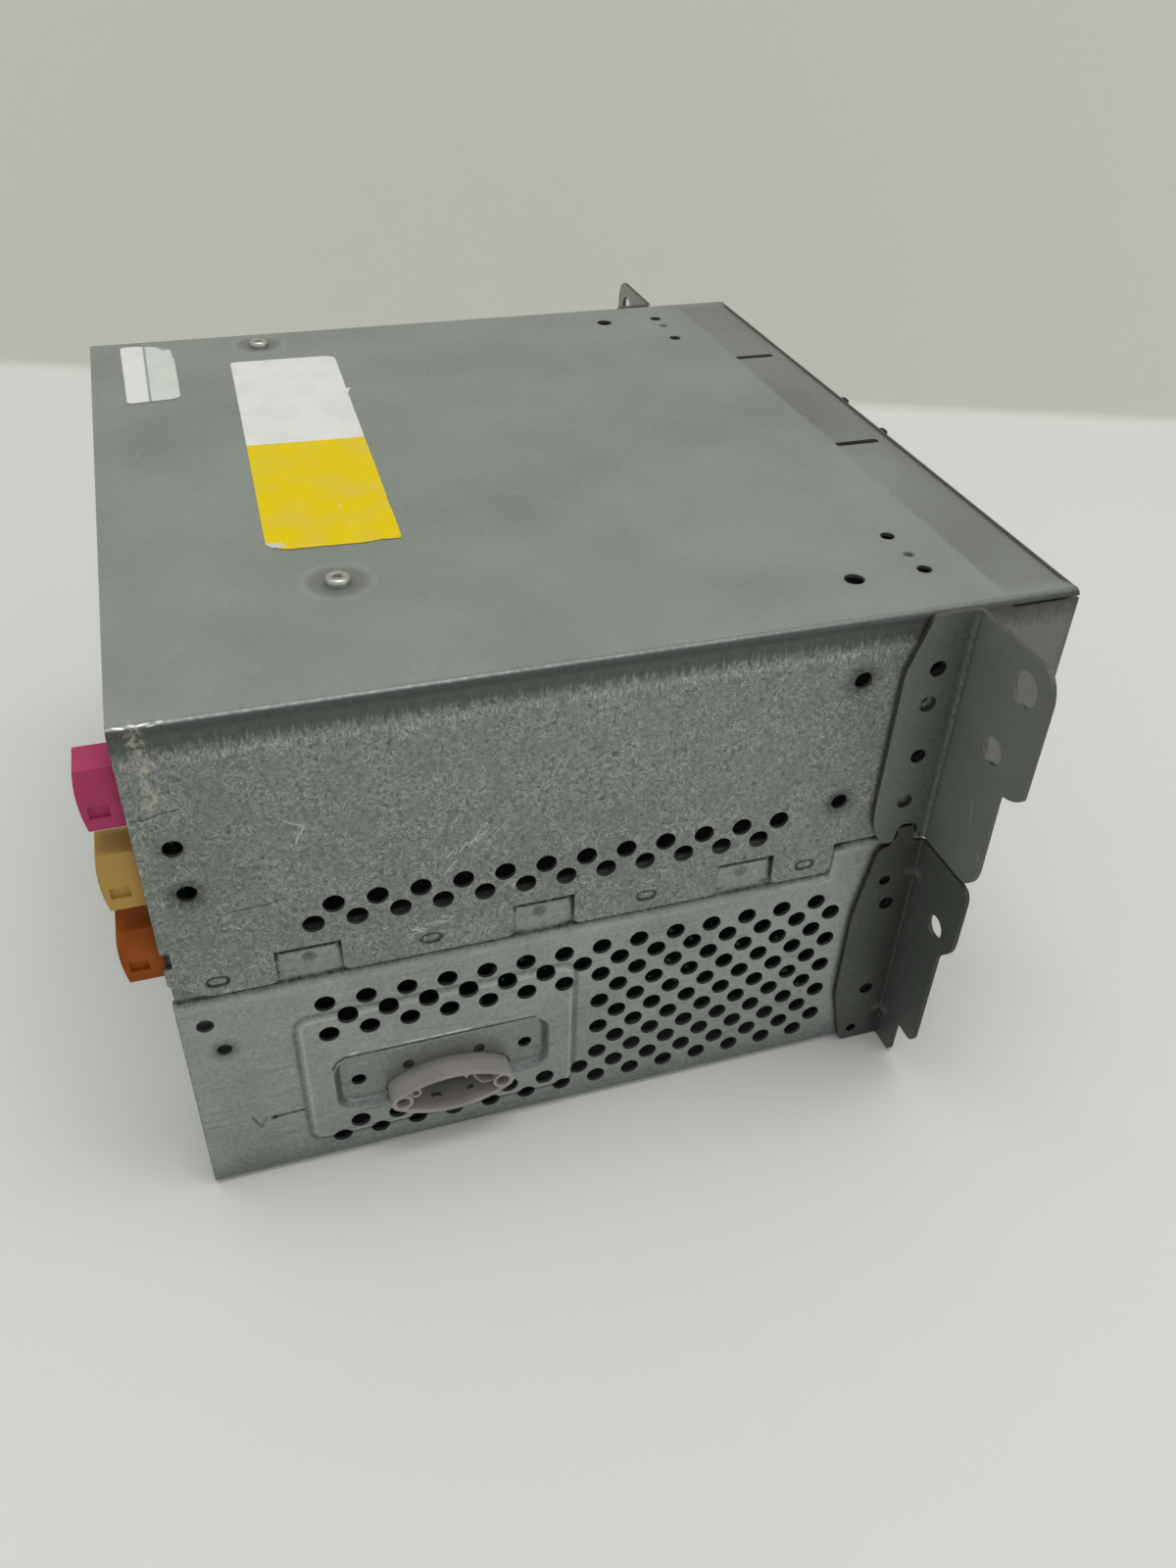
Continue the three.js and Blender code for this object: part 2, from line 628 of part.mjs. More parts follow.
const fascia = {
  fromSide: 46,
  width: 26,
  height: 11.5,
  proud: 1.5,
  length: 28,
  wall: 1.3,
  cavityDepth: 9,
  pinLength: 3.5,
  pinSize: 0.9,
  pinPitch: 2.6,
  pinCount: 8,
};
const fasciaMiddle = sideFace - fascia.fromSide;

// Front plate and rear panel: shallow pans inside the case's open ends. The front plate's floor runs back
// under the overhang to the lower housing's front wall.

const panDepth = 10.5;
const slotSideRoom = 1.5;
const slotRim = 1.5;

function pan(outer, inner, floor) {
  const top = coverUnderside - clearance;
  const toInside = Math.sign(inner - outer);
  const depth = [outer, inner].sort((a, b) => a - b);
  const hollow = [outer + toInside * sheet, inner + toInside * overrun].sort((a, b) => a - b);
  return cut(block([-panSide, panSide], depth, [floor, top]),
    block(grown([-panSide, panSide], -sheet), hollow, grown([floor, top], -sheet)));
}

function frontPlate() {
  const holeRadius = 2;
  const holeShares = [[-0.85, 0.66], [0.95, 0.66], [0.93, 0.9], [-0.6, 0.9]];
  const through = grown([frontFace, frontFace + sheet], overrun);
  const slot = block(around(driveCentre, discDiameter + 2 * (slotSideRoom + slotRim + clearance)), through,
    grown([discFloor, discCeiling], slotRim + clearance));
  const shelf = block([-panSide, panSide], [frontFace, lowerFront + sheet],
    [overhangUnder, overhangUnder + sheet]);
  const holes = rods('y', through, holeShares.map(([along, up]) => [along * sideFace, up * bodyHeight]),
    holeRadius);
  return cut(join(pan(frontFace, frontFace + panDepth, overhangUnder), shelf), slot, holes);
}

// Slot bezel: a plastic frame behind the front plate, its lip in the slot, and two hooks up the front
function slotBezel() {
  const lip = 1.6;
  const frameThickness = 3;
  const frameRim = 6;
  const hookWidth = 2.4;
  const hookThickness = 1.3;
  const hookSpread = 20;
  const hookMiddle = 2;
  const hookNose = 0.7;
  const hookNoseHeight = 2;
  const hookDrop = 0.9;
  const behind = frontFace + sheet + clearance;
  const front = frontFace - lip;
  const slotX = around(driveCentre, discDiameter + 2 * slotSideRoom);
  const slotZ = [discFloor, discCeiling];
  const frame = block(grown(slotX, frameRim / 2), [behind, behind + frameThickness], grown(slotZ, frameRim));
  const lipSolid = block(grown(slotX, slotRim), [front, behind + overrun], grown(slotZ, slotRim));
  const opening = block(slotX, [front - overrun, behind + frameThickness + overrun], slotZ);
  const hooks = [-1, 1].map((side) => {
    const x = around(hookMiddle + side * hookSpread / 2, hookWidth);
    const top = bodyHeight - hookDrop;
    return join(
      block(x, [front, front + hookThickness], [discCeiling + slotRim / 2, top]),
      block(x, [front - hookNose, front + hookThickness], [top - hookNoseHeight, top]),
    );
  });
  return cut(join(frame, lipSolid, ...hooks), opening);
}

// A shrouded plug socket along Y: a block with a cavity at its open end and a bed of pins in it
function socket(x, z, [closed, open], wall, cavityDepth, pins) {
  const toOpen = Math.sign(open - closed);
  const ordered = (a, b) => [Math.min(a, b), Math.max(a, b)];
  const floor = open - toOpen * cavityDepth;
  const body = block(x, ordered(closed, open), z);
  const hollow = block(grown(x, -wall), ordered(floor, open + toOpen * overrun), grown(z, -wall));
  const middleX = (x[0] + x[1]) / 2;
  const middleZ = (z[0] + z[1]) / 2;
  const bed = [];
  for (let i = 0; i < pins.count; i += 1) {
    const across = (i - (pins.count - 1) / 2) * pins.pitch;
    for (const up of [-pins.pitch / 2, pins.pitch / 2]) {
      const length = ordered(floor - toOpen * wall, floor + toOpen * pins.length);
      bed.push(block(around(middleX + across, pins.size), length, around(middleZ + up, pins.size)));
    }
  }
  return join(cut(body, hollow), ...bed);
}

function fasciaConnector() {
  const floor = boardTop + clearance;
  const front = lowerFront - fascia.proud;
  const pins = { count: fascia.pinCount, pitch: fascia.pinPitch, size: fascia.pinSize, length: fascia.pinLength };
  return socket(around(fasciaMiddle, fascia.width), [floor, floor + fascia.height],
    [front + fascia.length, front], fascia.wall, fascia.cavityDepth, pins);
}

// Main header at the rear: two chambers side by side

const header = {
  middle: 4,
  width: 52,
  height: 28,
  proud: 3.7,
  length: 21.5,
  wall: 1.6,
  cavityDepth: 12,
  pinLength: 5.5,
  pinSize: 1.4,
  pinPitch: 4.6,
  pinCount: 4,
};

function mainHeader() {
  const floor = boardTop + clearance;
  const rear = endFace + header.proud;
  const pins = { count: header.pinCount, pitch: header.pinPitch, size: header.pinSize, length: header.pinLength };
  const half = header.width / 2;
  const chambers = [-1, 1].map((side) => {
    const inner = header.middle - side * header.wall / 2;
    const outer = header.middle + side * half;
    const x = [Math.min(inner, outer), Math.max(inner, outer)];
    return socket(x, [floor, floor + header.height], [rear - header.length, rear], header.wall,
      header.cavityDepth, pins);
  });
  return join(...chambers);
}

// Coaxial connectors: three double housings stacked at the left rear edge, and their board

const coax = {
  width: 6.8,
  height: 12.3,
  pitch: 17.6,
  topDrop: 7.5,
  proudTop: 6.3,
  proudMiddle: 6.8,
  proudBottom: 6.1,
  inset: 4.2,
  boreRadius: 2.2,
  boreDepth: 7,
  borePitch: 5.6,
  pinRadius: 0.6,
  windowInset: 2.2,
  windowLength: 3.3,
  windowRise: 2.4,
  windowHeight: 2.4,
  windowDepth: 0.8,
  boardInset: 3.3,
};
const coaxSide = -panSide + 2 * clearance;
const coaxTop = bodyHeight - coax.topDrop;
const coaxX = [coaxSide, coaxSide + coax.width];
const coaxFloor = coaxTop - 2 * coax.pitch - coax.height;

function coaxConnector(place) {
  const top = coaxTop - place * coax.pitch;
  const bottom = top - coax.height;
  const front = endFace - coax.inset;
  const reach = 2 * coax.proudMiddle - (coax.proudTop + coax.proudBottom) / 2;
  const profile = new THREE.Shape();
  profile.moveTo(front, bottom);
  profile.lineTo(endFace + coax.proudBottom, bottom);
  profile.quadraticCurveTo(endFace + reach, (top + bottom) / 2, endFace + coax.proudTop, top);
  profile.lineTo(front, top);
  const middle = (coaxX[0] + coaxX[1]) / 2;
  const boreFloor = endFace + coax.proudTop - coax.boreDepth;
  const bores = [-1, 1].map((side) => [middle, (top + bottom) / 2 + side * coax.borePitch / 2]);
  const windowStart = endFace + coax.windowInset;
  const windowFloor = bottom + coax.windowRise;
  const opening = block([coaxSide - overrun, coaxSide + coax.windowDepth],
    [windowStart, windowStart + coax.windowLength], [windowFloor, windowFloor + coax.windowHeight]);
  const body = cut(prism('x', coaxX, profile, holeSides), opening,
    rods('y', [boreFloor, endFace + reach], bores, coax.boreRadius, turnedSides));
  return join(body, rods('y', [boreFloor - overrun, endFace + coax.proudTop - overrun], bores,
    coax.pinRadius, holeSides));
}

function coaxBoard() {
  const right = 14.5;
  const rear = endFace - coax.inset - clearance;
  return block([coaxSide + coax.boardInset, coaxX[1] + right], [rear - boardThickness, rear],
    [coaxFloor - overrun, coaxTop + clearance]);
}

// Fan behind the rear panel, at the right

const fan = {
  fromSide: 23,
  size: 40,
  thickness: 10.2,
  lift: 2.4,
  bore: 18.6,
  hub: 9,
  hubPlate: 1.6,
  spoke: 2.4,
  cornerHole: 1.7,
  cornerInset: 4,
  blades: 7,
  bladeTip: 17.6,
  bladeThickness: 1.2,
  bladePitch: 35,
  bladeChordShare: 0.8,
};
const fanRear = endFace - 2 * clearance - sheet;
const fanFront = fanRear - fan.thickness;
const fanFloor = boardTop + fan.lift;
const fanCentre = [sideFace - fan.fromSide, fanFloor + fan.size / 2];

function fanFrame() {
  const depth = [fanFront, fanRear];
  const x = around(fanCentre[0], fan.size);
  const z = around(fanCentre[1], fan.size);
  const corner = fan.size / 2 - fan.cornerInset;
  const corners = [[-1, -1], [-1, 1], [1, -1], [1, 1]].map(([a, b]) => {
    return [fanCentre[0] + a * corner, fanCentre[1] + b * corner];
  });
  const ring = cut(block(x, depth, z),
    rod('y', grown(depth, overrun), fanCentre, fan.bore, turnedSides),
    rods('y', grown(depth, overrun), corners, fan.cornerHole));
  const plate = [fanFront, fanFront + fan.hubPlate];
  return join(ring, rod('y', plate, fanCentre, fan.hub, turnedSides),
    block(grown(x, -overrun), plate, around(fanCentre[1], fan.spoke)),
    block(around(fanCentre[0], fan.spoke), plate, grown(z, -overrun)));
}

function fanRotor() {
  const front = fanFront + fan.hubPlate + clearance;
  const rear = fanRear - overrun;
  const hub = rod('y', [front, rear], [0, 0], fan.hub, turnedSides);
  const chord = (rear - front) * fan.bladeChordShare;
  const blades = Array.from({ length: fan.blades }, (_, i) => {
    const blade = blockGeometry([fan.hub - overrun, fan.bladeTip], around(0, chord),
      around(0, fan.bladeThickness));
    blade.rotateX(THREE.MathUtils.degToRad(fan.bladePitch)).translate(0, (front + rear) / 2, 0);
    return toSolid(blade.rotateY(i * Math.PI * 2 / fan.blades));
  });
  const geometry = toGeometry(join(hub, ...blades)).translate(fanCentre[0], 0, fanCentre[1]);
  return toSolid(geometry);
}

function rearPanel() {
  const outer = endFace - clearance;
  const through = [outer - panDepth - overrun, outer + overrun];
  const skin = grown([outer - sheet, outer], overrun / 2);
  const grilleSlots = 7;
  const grilleBar = 2.2;
  const grilleRim = 1.5;
  const ventSlots = 5;
  const ventPitch = 8;
  const ventLength = 24;
  const ventWidth = 3;
  const ventMiddle = -30;
  const ventRise = 26;
  const coaxNotch = block([-panSide - overrun, coaxX[1] + 2 * clearance], through,
    [coaxFloor - 2 * clearance, coaxTop + 2 * clearance]);
  const headerHole = block(around(header.middle, header.width + header.wall + 2 * clearance), skin,
    grown([boardTop + clearance, boardTop + clearance + header.height], clearance));
  const radius = fan.bore - grilleRim;
  const pitch = 2 * radius / grilleSlots;
  const grille = Array.from({ length: grilleSlots }, (_, i) => {
    const level = (i - (grilleSlots - 1) / 2) * pitch;
    const half = Math.sqrt(radius ** 2 - (Math.abs(level) + pitch / 4) ** 2);
    return block(around(fanCentre[0], 2 * half), skin, around(fanCentre[1] + level, pitch - grilleBar));
  });
  const vents = Array.from({ length: ventSlots }, (_, i) => {
    const level = seamHeight + ventRise + (i - (ventSlots - 1) / 2) * ventPitch;
    return block(around(ventMiddle, ventLength), skin, around(level, ventWidth));
  });
  return cut(pan(outer, outer - panDepth, sheet + clearance), coaxNotch, headerHole, ...grille, ...vents);
}

// Screws and labels on the top

function topScrew([x, y]) {
  const headRadius = 2.9;
  const headHeight = 1.9;
  const crown = 0.5;
  const shankRadius = 1.25;
  const shankLength = 7;
  const lobeOuter = 1.4;
  const lobeInner = 1;
  const lobes = 6;
  const socketDepth = 1.1;
  const seat = bodyHeight - dimpleDepth + clearance / 3;
  const top = seat + headHeight;
  const body = turned('z', [x, y], [[0, seat - shankLength], [shankRadius, seat - shankLength],
    [shankRadius, seat], [headRadius, seat], [headRadius, top - 2 * crown],
    [headRadius - crown, top - crown / 2], [headRadius - 2 * crown, top], [0, top]], 2 * holeSides);
  const star = outline(Array.from({ length: 2 * lobes }, (_, i) => {
    const radius = i % 2 === 0 ? lobeOuter : lobeInner;
    const turn = i * Math.PI / lobes;
    return [x + radius * Math.cos(turn), y + radius * Math.sin(turn)];
  }));
  return cut(body, prism('z', [top - socketDepth, top + overrun], star));
}

const labelLift = 0.05;
const labelThickness = 0.1;

function label(width, depth, [x, y], turn) {
  const geometry = new THREE.BoxGeometry(width, depth, labelThickness);
  geometry.rotateZ(THREE.MathUtils.degToRad(turn));
  return toSolid(geometry.translate(x, y, bodyHeight + labelLift + labelThickness / 2));
}

const largeLabel = { width: 104.3, depth: 24.4, fromRear: 44.9, turn: -1.8 };
const smallLabel = { width: 41, depth: 12.8, fromSide: 23.5, fromRear: 13.7 };

// Disc drive: a chassis that hangs from the two top screws and stands on the mid shield

const drive = {
  wall: 1,
  depthBelowPath: 21.8,
  footHeight: 5.2,
  frontInset: 7.8,
  rearReach: 76,
  wallRise: 11.8,
  openingFront: 5,
  openingLength: 39,
  footRadius: 2.4,
  footInset: 10,
  earLength: 16,
  earInset: 9,
};
const driveX = (offset) => driveCentre + offset;
const driveFloor = discFloor - drive.depthBelowPath;
const driveFront = frontFace + drive.frontInset;
const driveRear = spindle + drive.rearReach;
const driveInside = driveHalf - drive.wall;
const shieldTop = driveFloor - drive.footHeight;
const shieldUnder = shieldTop - sheet;
const overhangUnder = driveFloor - clearance - sheet;

const carriagePivot = { back: 32, rise: 11, pinRadius: 1.5 };
const carriagePivotPlace = [spindle - carriagePivot.back, driveFloor + carriagePivot.rise];
const clampPivot = { back: 66, rise: 0.5, pinRadius: 1.3, lifted: 8 };
const clampPivotPlace = [spindle + clampPivot.back, discCeiling + clampPivot.rise];
const pinReach = driveHalf + drive.wall - sheet / 4;

const driveBoard = { halfWidth: 34, front: 22, length: 86, drop: 1.8 };

function driveChassis() {
  const wallTop = discCeiling + drive.wallRise;
  const x = [driveX(-driveHalf), driveX(driveHalf)];
  const inside = [driveX(-driveInside), driveX(driveInside)];
  const y = [driveFront, driveRear];
  const baseTop = driveFloor + drive.wall;
  const openingY = [driveFront + drive.openingFront, driveFront + drive.openingFront + drive.openingLength];
  const tub = cut(block(x, y, [driveFloor, wallTop]),
    block(inside, grown(y, overrun), [baseTop, wallTop + overrun]),
    block(inside, openingY, grown([driveFloor, baseTop], overrun)));
  const earTop = coverUnderside - dimpleDepth - clearance;
  const earY = around(screwRow, drive.earLength);
  const ears = [-1, 1].map((side) => {
    const outer = driveX(side * driveHalf);
    const inner = outer - side * drive.earInset;
    const skin = outer - side * drive.wall;
    const flat = block([Math.min(inner, outer), Math.max(inner, outer)], earY, [earTop - drive.wall, earTop]);
    return join(flat, block([Math.min(skin, outer), Math.max(skin, outer)], earY, [wallTop - overrun, earTop]));
  });
  const footX = driveHalf - drive.footInset;
  const footY = [openingY[1] + drive.footRadius, driveRear - drive.footInset];
  const feet = rods('z', [shieldTop + clearance, driveFloor + drive.wall / 2],
    footY.flatMap((back) => [[driveX(-footX), back], [driveX(footX), back]]), drive.footRadius);
  const boardFront = spindle - driveBoard.front;
  const spacerInset = 2 * drive.footRadius;
  const spacerX = driveBoard.halfWidth - spacerInset;
  const spacerY = [boardFront + spacerInset, boardFront + driveBoard.length - spacerInset];
  const spacers = rods('z', [driveFloor - driveBoard.drop + clearance, driveFloor + drive.wall / 2],
    spacerY.flatMap((back) => [[driveX(-spacerX), back], [driveX(spacerX), back]]), drive.footRadius);
  const across = grown(x, overrun);
  return cut(join(tub, ...ears, feet, spacers),
    rod('x', across, carriagePivotPlace, carriagePivot.pinRadius + clearance),
    rod('x', across, clampPivotPlace, clampPivot.pinRadius + clearance),
    rods('z', grown([earTop - drive.wall, earTop], overrun), screwPlaces, screwHoleRadius));
}

function midShield() {
  const flangeRise = 2;
  const rearGap = 0.5;
  const side = panSide - sheet - clearance;
  const slotWidth = 22;
  const y = [lowerFront + sheet + clearance, fanFront - rearGap];
  const plate = block([-side, side], y, [shieldUnder, shieldTop]);
  const flanges = [-1, 1].map((hand) => {
    const outer = hand * side;
    const inner = outer - hand * sheet;
    return block([Math.min(inner, outer), Math.max(inner, outer)], y, [shieldUnder, shieldTop + flangeRise]);
  });
  const slot = block(around(ribbonMiddle, slotWidth), around(ribbonDrop, ribbonSocket.depth),
    grown([shieldUnder, shieldTop], overrun));
  return cut(join(plate, ...flanges), slot);
}

function driveBoardSolid() {
  const front = spindle - driveBoard.front;
  const top = driveFloor - driveBoard.drop;
  return block([driveX(-driveBoard.halfWidth), driveX(driveBoard.halfWidth)],
    [front, front + driveBoard.length], [top - boardThickness, top]);
}

// Ribbon cable from the drive board down to its socket on the main board

const ribbon = { offset: -20.7, width: 16, thickness: 0.4, reach: 10, bend: 3 };
const ribbonSocket = { width: 18, depth: 5.6, height: 4.2 };
const ribbonMiddle = driveCentre + ribbon.offset;
const ribbonStart = spindle - driveBoard.front + driveBoard.length + clearance;
const ribbonDrop = ribbonStart + ribbon.reach;
const ribbonLevel = driveFloor - driveBoard.drop - boardThickness / 2;

function ribbonCable() {
  const half = ribbon.thickness / 2;
  const foot = boardTop + clearance + ribbonSocket.height + clearance;
  const shape = new THREE.Shape();
  const bendY = ribbonDrop - ribbon.bend;
  const bendZ = ribbonLevel - ribbon.bend;
  shape.moveTo(ribbonStart, ribbonLevel + half);
  shape.absarc(bendY, bendZ, ribbon.bend + half, Math.PI / 2, 0, true);
  shape.lineTo(ribbonDrop + half, foot);
  shape.lineTo(ribbonDrop - half, foot);
  shape.absarc(bendY, bendZ, ribbon.bend - half, 0, Math.PI / 2, false);
  shape.lineTo(ribbonStart, ribbonLevel - half);
  return prism('x', around(ribbonMiddle, ribbon.width), shape, holeSides);
}

function ribbonSocketSolid() {
  const floor = boardTop + clearance;
  return block(around(ribbonMiddle, ribbonSocket.width), around(ribbonDrop, ribbonSocket.depth),
    [floor, floor + ribbonSocket.height]);
}

// Traverse: the frame that carries the spindle motor and the pickup, floating on rubber dampers

const traverse = {
  halfWidth: 38,
  front: 20,
  rearMargin: 2,
  thickness: 1.2,
  lift: 3,
  damperInset: 5,
  damperRadius: 4,
  holderDepth: 3.5,
  holderHalf: 3.5,
  holderRise: 8.8,
  windowHalf: 16,
};
const traverseUnder = driveFloor + drive.wall + traverse.lift;
const traverseTop = traverseUnder + traverse.thickness;
const traverseFront = spindle - traverse.front;

const motion = {
  rodOffset: 21,
  rodRadius: 1.5,
  rodRise: 5.8,
  screwOffset: 30,
  rodStart: 8.5,
  rodEnd: 72,
};
const rodLevel = traverseTop + motion.rodRise;
const rodFront = spindle + motion.rodStart;
const rodRear = spindle + motion.rodEnd;
const traverseRear = rodRear + traverse.rearMargin;

function traverseFrame() {
  const y = [traverseFront, traverseRear];
  const plate = block([driveX(-traverse.halfWidth), driveX(traverse.halfWidth)], y,
    [traverseUnder, traverseTop]);
  const levels = [traverseTop - traverse.thickness / 2, traverseTop + traverse.holderRise];
  const half = traverse.holderHalf;
  const frontY = [rodFront, rodFront + traverse.holderDepth];
  const rearY = [rodRear - traverse.holderDepth, rodRear];
  const rodX = [-motion.rodOffset, motion.rodOffset];
  const holders = rodX.flatMap((offset) => [
    block([driveX(offset - half), driveX(offset + half)], frontY, levels),
    block([driveX(offset - half), driveX(offset + half)], rearY, levels),
  ]);
  const screwHolder = block([driveX(motion.rodOffset), driveX(motion.screwOffset + half)], rearY, levels);
  const bores = rods('y', [rodFront + overrun, rodRear - overrun],
    rodX.map((offset) => [driveX(offset), rodLevel]), motion.rodRadius + clearance, pinSides);
  const screwBore = rod('y', [rodFront, rodRear - overrun], [driveX(motion.screwOffset), rodLevel],
    motion.rodRadius + clearance);
  const windowY = [rodFront + 2 * traverse.holderDepth, rodRear - 2 * traverse.holderDepth];
  const opening = block([driveX(-traverse.windowHalf), driveX(traverse.windowHalf)], windowY,
    grown([traverseUnder, traverseTop], overrun));
  return cut(join(plate, ...holders, screwHolder), bores, screwBore, opening);
}

function guideRod(side) {
  const inset = overrun + clearance;
  return rod('y', [rodFront + inset, rodRear - inset], [driveX(side * motion.rodOffset), rodLevel],
    motion.rodRadius);
}

function traverseDamper(side, back) {
  const waist = 1;
  const lower = driveFloor + drive.wall + clearance;
  const upper = traverseUnder - clearance;
  const middle = (lower + upper) / 2;
  const radius = traverse.damperRadius;
  const x = driveX(side * (traverse.halfWidth - traverse.damperInset));
  const y = back ? traverseRear - traverse.damperInset : traverseFront + traverse.damperInset;
  return turned('z', [x, y], [[0, lower], [radius, lower], [radius - waist, middle], [radius, upper],
    [0, upper]]);
}

const spindleMotor = { radius: 13, height: 8.2 };
const turntable = { radius: 12.5, height: 4, coneRadius: 7.4, coneHeight: 2.2 };
const turntableFloor = traverseTop + 2 * clearance + spindleMotor.height;
const discSeat = turntableFloor + turntable.height;

function spindleMotorSolid() {
  const chamfer = 1.5;
  const { radius, height } = spindleMotor;
  const floor = traverseTop + clearance;
  return turned('z', [driveCentre, spindle], [[0, floor], [radius, floor],
    [radius, floor + height - chamfer], [radius - chamfer, floor + height], [0, floor + height]]);
}

function turntableSolid() {
  const lip = 1;
  const { radius, coneRadius, coneHeight } = turntable;
  return turned('z', [driveCentre, spindle], [[0, turntableFloor], [radius - lip, turntableFloor],
    [radius, turntableFloor + lip], [radius, discSeat], [coneRadius, discSeat],
    [coneRadius, discSeat + coneHeight / 2], [coneRadius - lip, discSeat + coneHeight],
    [0, discSeat + coneHeight]]);
}

const sled = {
  halfWidth: 25.5,
  lensRadiusAtRest: 24,
  ahead: 8,
  behind: 10,
  under: 4.5,
  over: 4.5,
  lensRadius: 3,
  lensHeight: 1.4,
  nutReach: 3.5,
};
const sledY = [
  spindle + sled.lensRadiusAtRest - sled.ahead,
  spindle + sled.lensRadiusAtRest + sled.behind,
];

function pickupSled() {
  const z = [rodLevel - sled.under, rodLevel + sled.over];
  const wall = 3;
  const body = block([driveX(-sled.halfWidth), driveX(sled.halfWidth)], sledY, z);
  const nut = block([driveX(sled.halfWidth - overrun), driveX(motion.screwOffset + sled.nutReach)],
    grown(sledY, -2 * overrun), grown([rodLevel, rodLevel], sled.nutReach));
  const bodyHollow = block([driveX(-traverse.windowHalf), driveX(traverse.windowHalf)],
    grown(sledY, -wall), [z[0] - overrun, z[1] - wall / 2]);
  const bores = rods('y', grown(sledY, overrun),
    [-motion.rodOffset, motion.rodOffset, motion.screwOffset].map((offset) => [driveX(offset), rodLevel]),
    motion.rodRadius + clearance, pinSides);
  const lens = rod('z', [z[1] - overrun, z[1] + sled.lensHeight],
    [driveCentre, spindle + sled.lensRadiusAtRest], sled.lensRadius, turnedSides);
  return join(cut(join(body, nut), bodyHollow, bores), lens);
}

const sledMotor = { radius: 5.2, length: 20 };
const sledMotorRear = rodFront + traverse.holderDepth;

function sledMotorSolid() {
  return rod('y', [sledMotorRear - sledMotor.length, sledMotorRear], [driveX(motion.screwOffset), rodLevel],
    sledMotor.radius, turnedSides);
}

function leadScrew() {
  const inset = overrun + clearance;
  return rod('y', [sledMotorRear + clearance, rodRear - inset], [driveX(motion.screwOffset), rodLevel],
    motion.rodRadius);
}

// Clamp arm and puck, drawn level about the pivot and raised at rest

const clampArm = {
  thickness: 1,
  tongueHalf: 9,
  noseReach: 13,
  crossDepth: 8,
  stiffener: 2.6,
  puckHole: 5.8,
};
const puck = {
  radius: 11,
  flange: 3,
  neckRadius: 5,
  capRadius: 8,
  capHeight: 1,
  coneRoom: 0.7,
};

function clampArmSolid() {
  const half = clampArm.thickness / 2;
  const sideReach = driveInside - clearance;
  const crossHalf = clampArm.crossDepth / 2;
  const tongueY = [-clampPivot.back - clampArm.noseReach, 0];
  const tongue = block([-clampArm.tongueHalf, clampArm.tongueHalf], tongueY, [-half, half]);
  const cross = block([-sideReach, sideReach], [-crossHalf, crossHalf], [-half, half]);
  const pins = rod('x', [-pinReach, pinReach], [0, 0], clampPivot.pinRadius)
    .intersect(join(
      block([-pinReach, overrun - sideReach], around(0, crossHalf), around(0, crossHalf)),
      block([sideReach - overrun, pinReach], around(0, crossHalf), around(0, crossHalf)),
    ));
  const stiffenerY = [puck.capRadius + overrun - clampPivot.back, -crossHalf];
  const stiffeners = [-1, 1].map((side) => {
    const outer = side * clampArm.tongueHalf;
    const inner = outer - side * clampArm.thickness;
    return block([Math.min(inner, outer), Math.max(inner, outer)], stiffenerY, [-half, clampArm.stiffener]);
  });
  const hole = rod('z', grown([-half, half], overrun), [0, -clampPivot.back], clampArm.puckHole, turnedSides);
  return cut(join(tongue, cross, pins, ...stiffeners), hole);
}

function clampPuckSolid() {
  const under = discSeat + discThickness - clampPivotPlace[1];
  const half = clampArm.thickness / 2;
  const flangeTop = under + puck.flange;
  const capFloor = half + clearance;
  const hollowRadius = turntable.coneRadius + puck.coneRoom;
  const hollowTop = under + turntable.coneHeight - discThickness + puck.coneRoom;
  return turned('z', [0, -clampPivot.back], [[0, hollowTop], [hollowRadius, hollowTop],
    [hollowRadius, under], [puck.radius, under], [puck.radius, flangeTop],
    [puck.neckRadius, flangeTop], [puck.neckRadius, capFloor], [puck.capRadius, capFloor],
    [puck.capRadius, capFloor + puck.capHeight], [0, capFloor + puck.capHeight]]);
}

// Disc guide over the path, and the loading carriage with its roller and gears under it

function discGuide() {
  const front = 1;
  const length = 27;
  const thickness = 3;
  const ribDepth = 2;
  const under = discCeiling + clearance;
  const x = [driveX(clearance - driveInside), driveX(driveInside - clearance)];
  const y = [driveFront + front, driveFront + front + length];
  const hollow = block(grown(x, -thickness), grown(y, -thickness),
    [under + thickness - ribDepth, under + thickness + overrun]);
  return cut(block(x, y, [under, under + thickness]), hollow);
}

const gear = { size: 0.5, width: 4, tipShare: 0.75, rootShare: 1.15, tipHalfShare: 0.1, rootHalfShare: 0.29 };
const teeth = { roller: 20, idler: 24, pinion: 10 };
const pitchRadius = (count) => count * gear.size / 2;

const roller = {
  forward: 26,
  radius: 4.5,
  waistRadius: 4,
  endGap: 1.5,
  shaftRadius: 1.5,
  armInset: 7,
  armThickness: 3,
  armHalf: 3.4,
};
const armOuter = driveHalf - roller.armInset;
const armInner = armOuter - roller.armThickness;
const rollerAxis = [carriagePivotPlace[0] - roller.forward, discFloor - clearance - roller.radius];
const idlerTurn = THREE.MathUtils.degToRad(-40);
const idlerReach = pitchRadius(teeth.roller) + pitchRadius(teeth.idler);
const idlerAxis = [
  rollerAxis[0] + idlerReach * Math.cos(idlerTurn),
  rollerAxis[1] + idlerReach * Math.sin(idlerTurn),
];
const pinionReach = pitchRadius(teeth.idler) + pitchRadius(teeth.pinion);
const pinionAxis = [idlerAxis[0] + pinionReach, idlerAxis[1]];
const gearSpan = [driveX(armOuter + clearance), driveX(armOuter + clearance + gear.width)];
const loadingMotor = { radius: 5.2, length: 24, shaftRadius: 0.75 };
const idlerPin = 1.2;

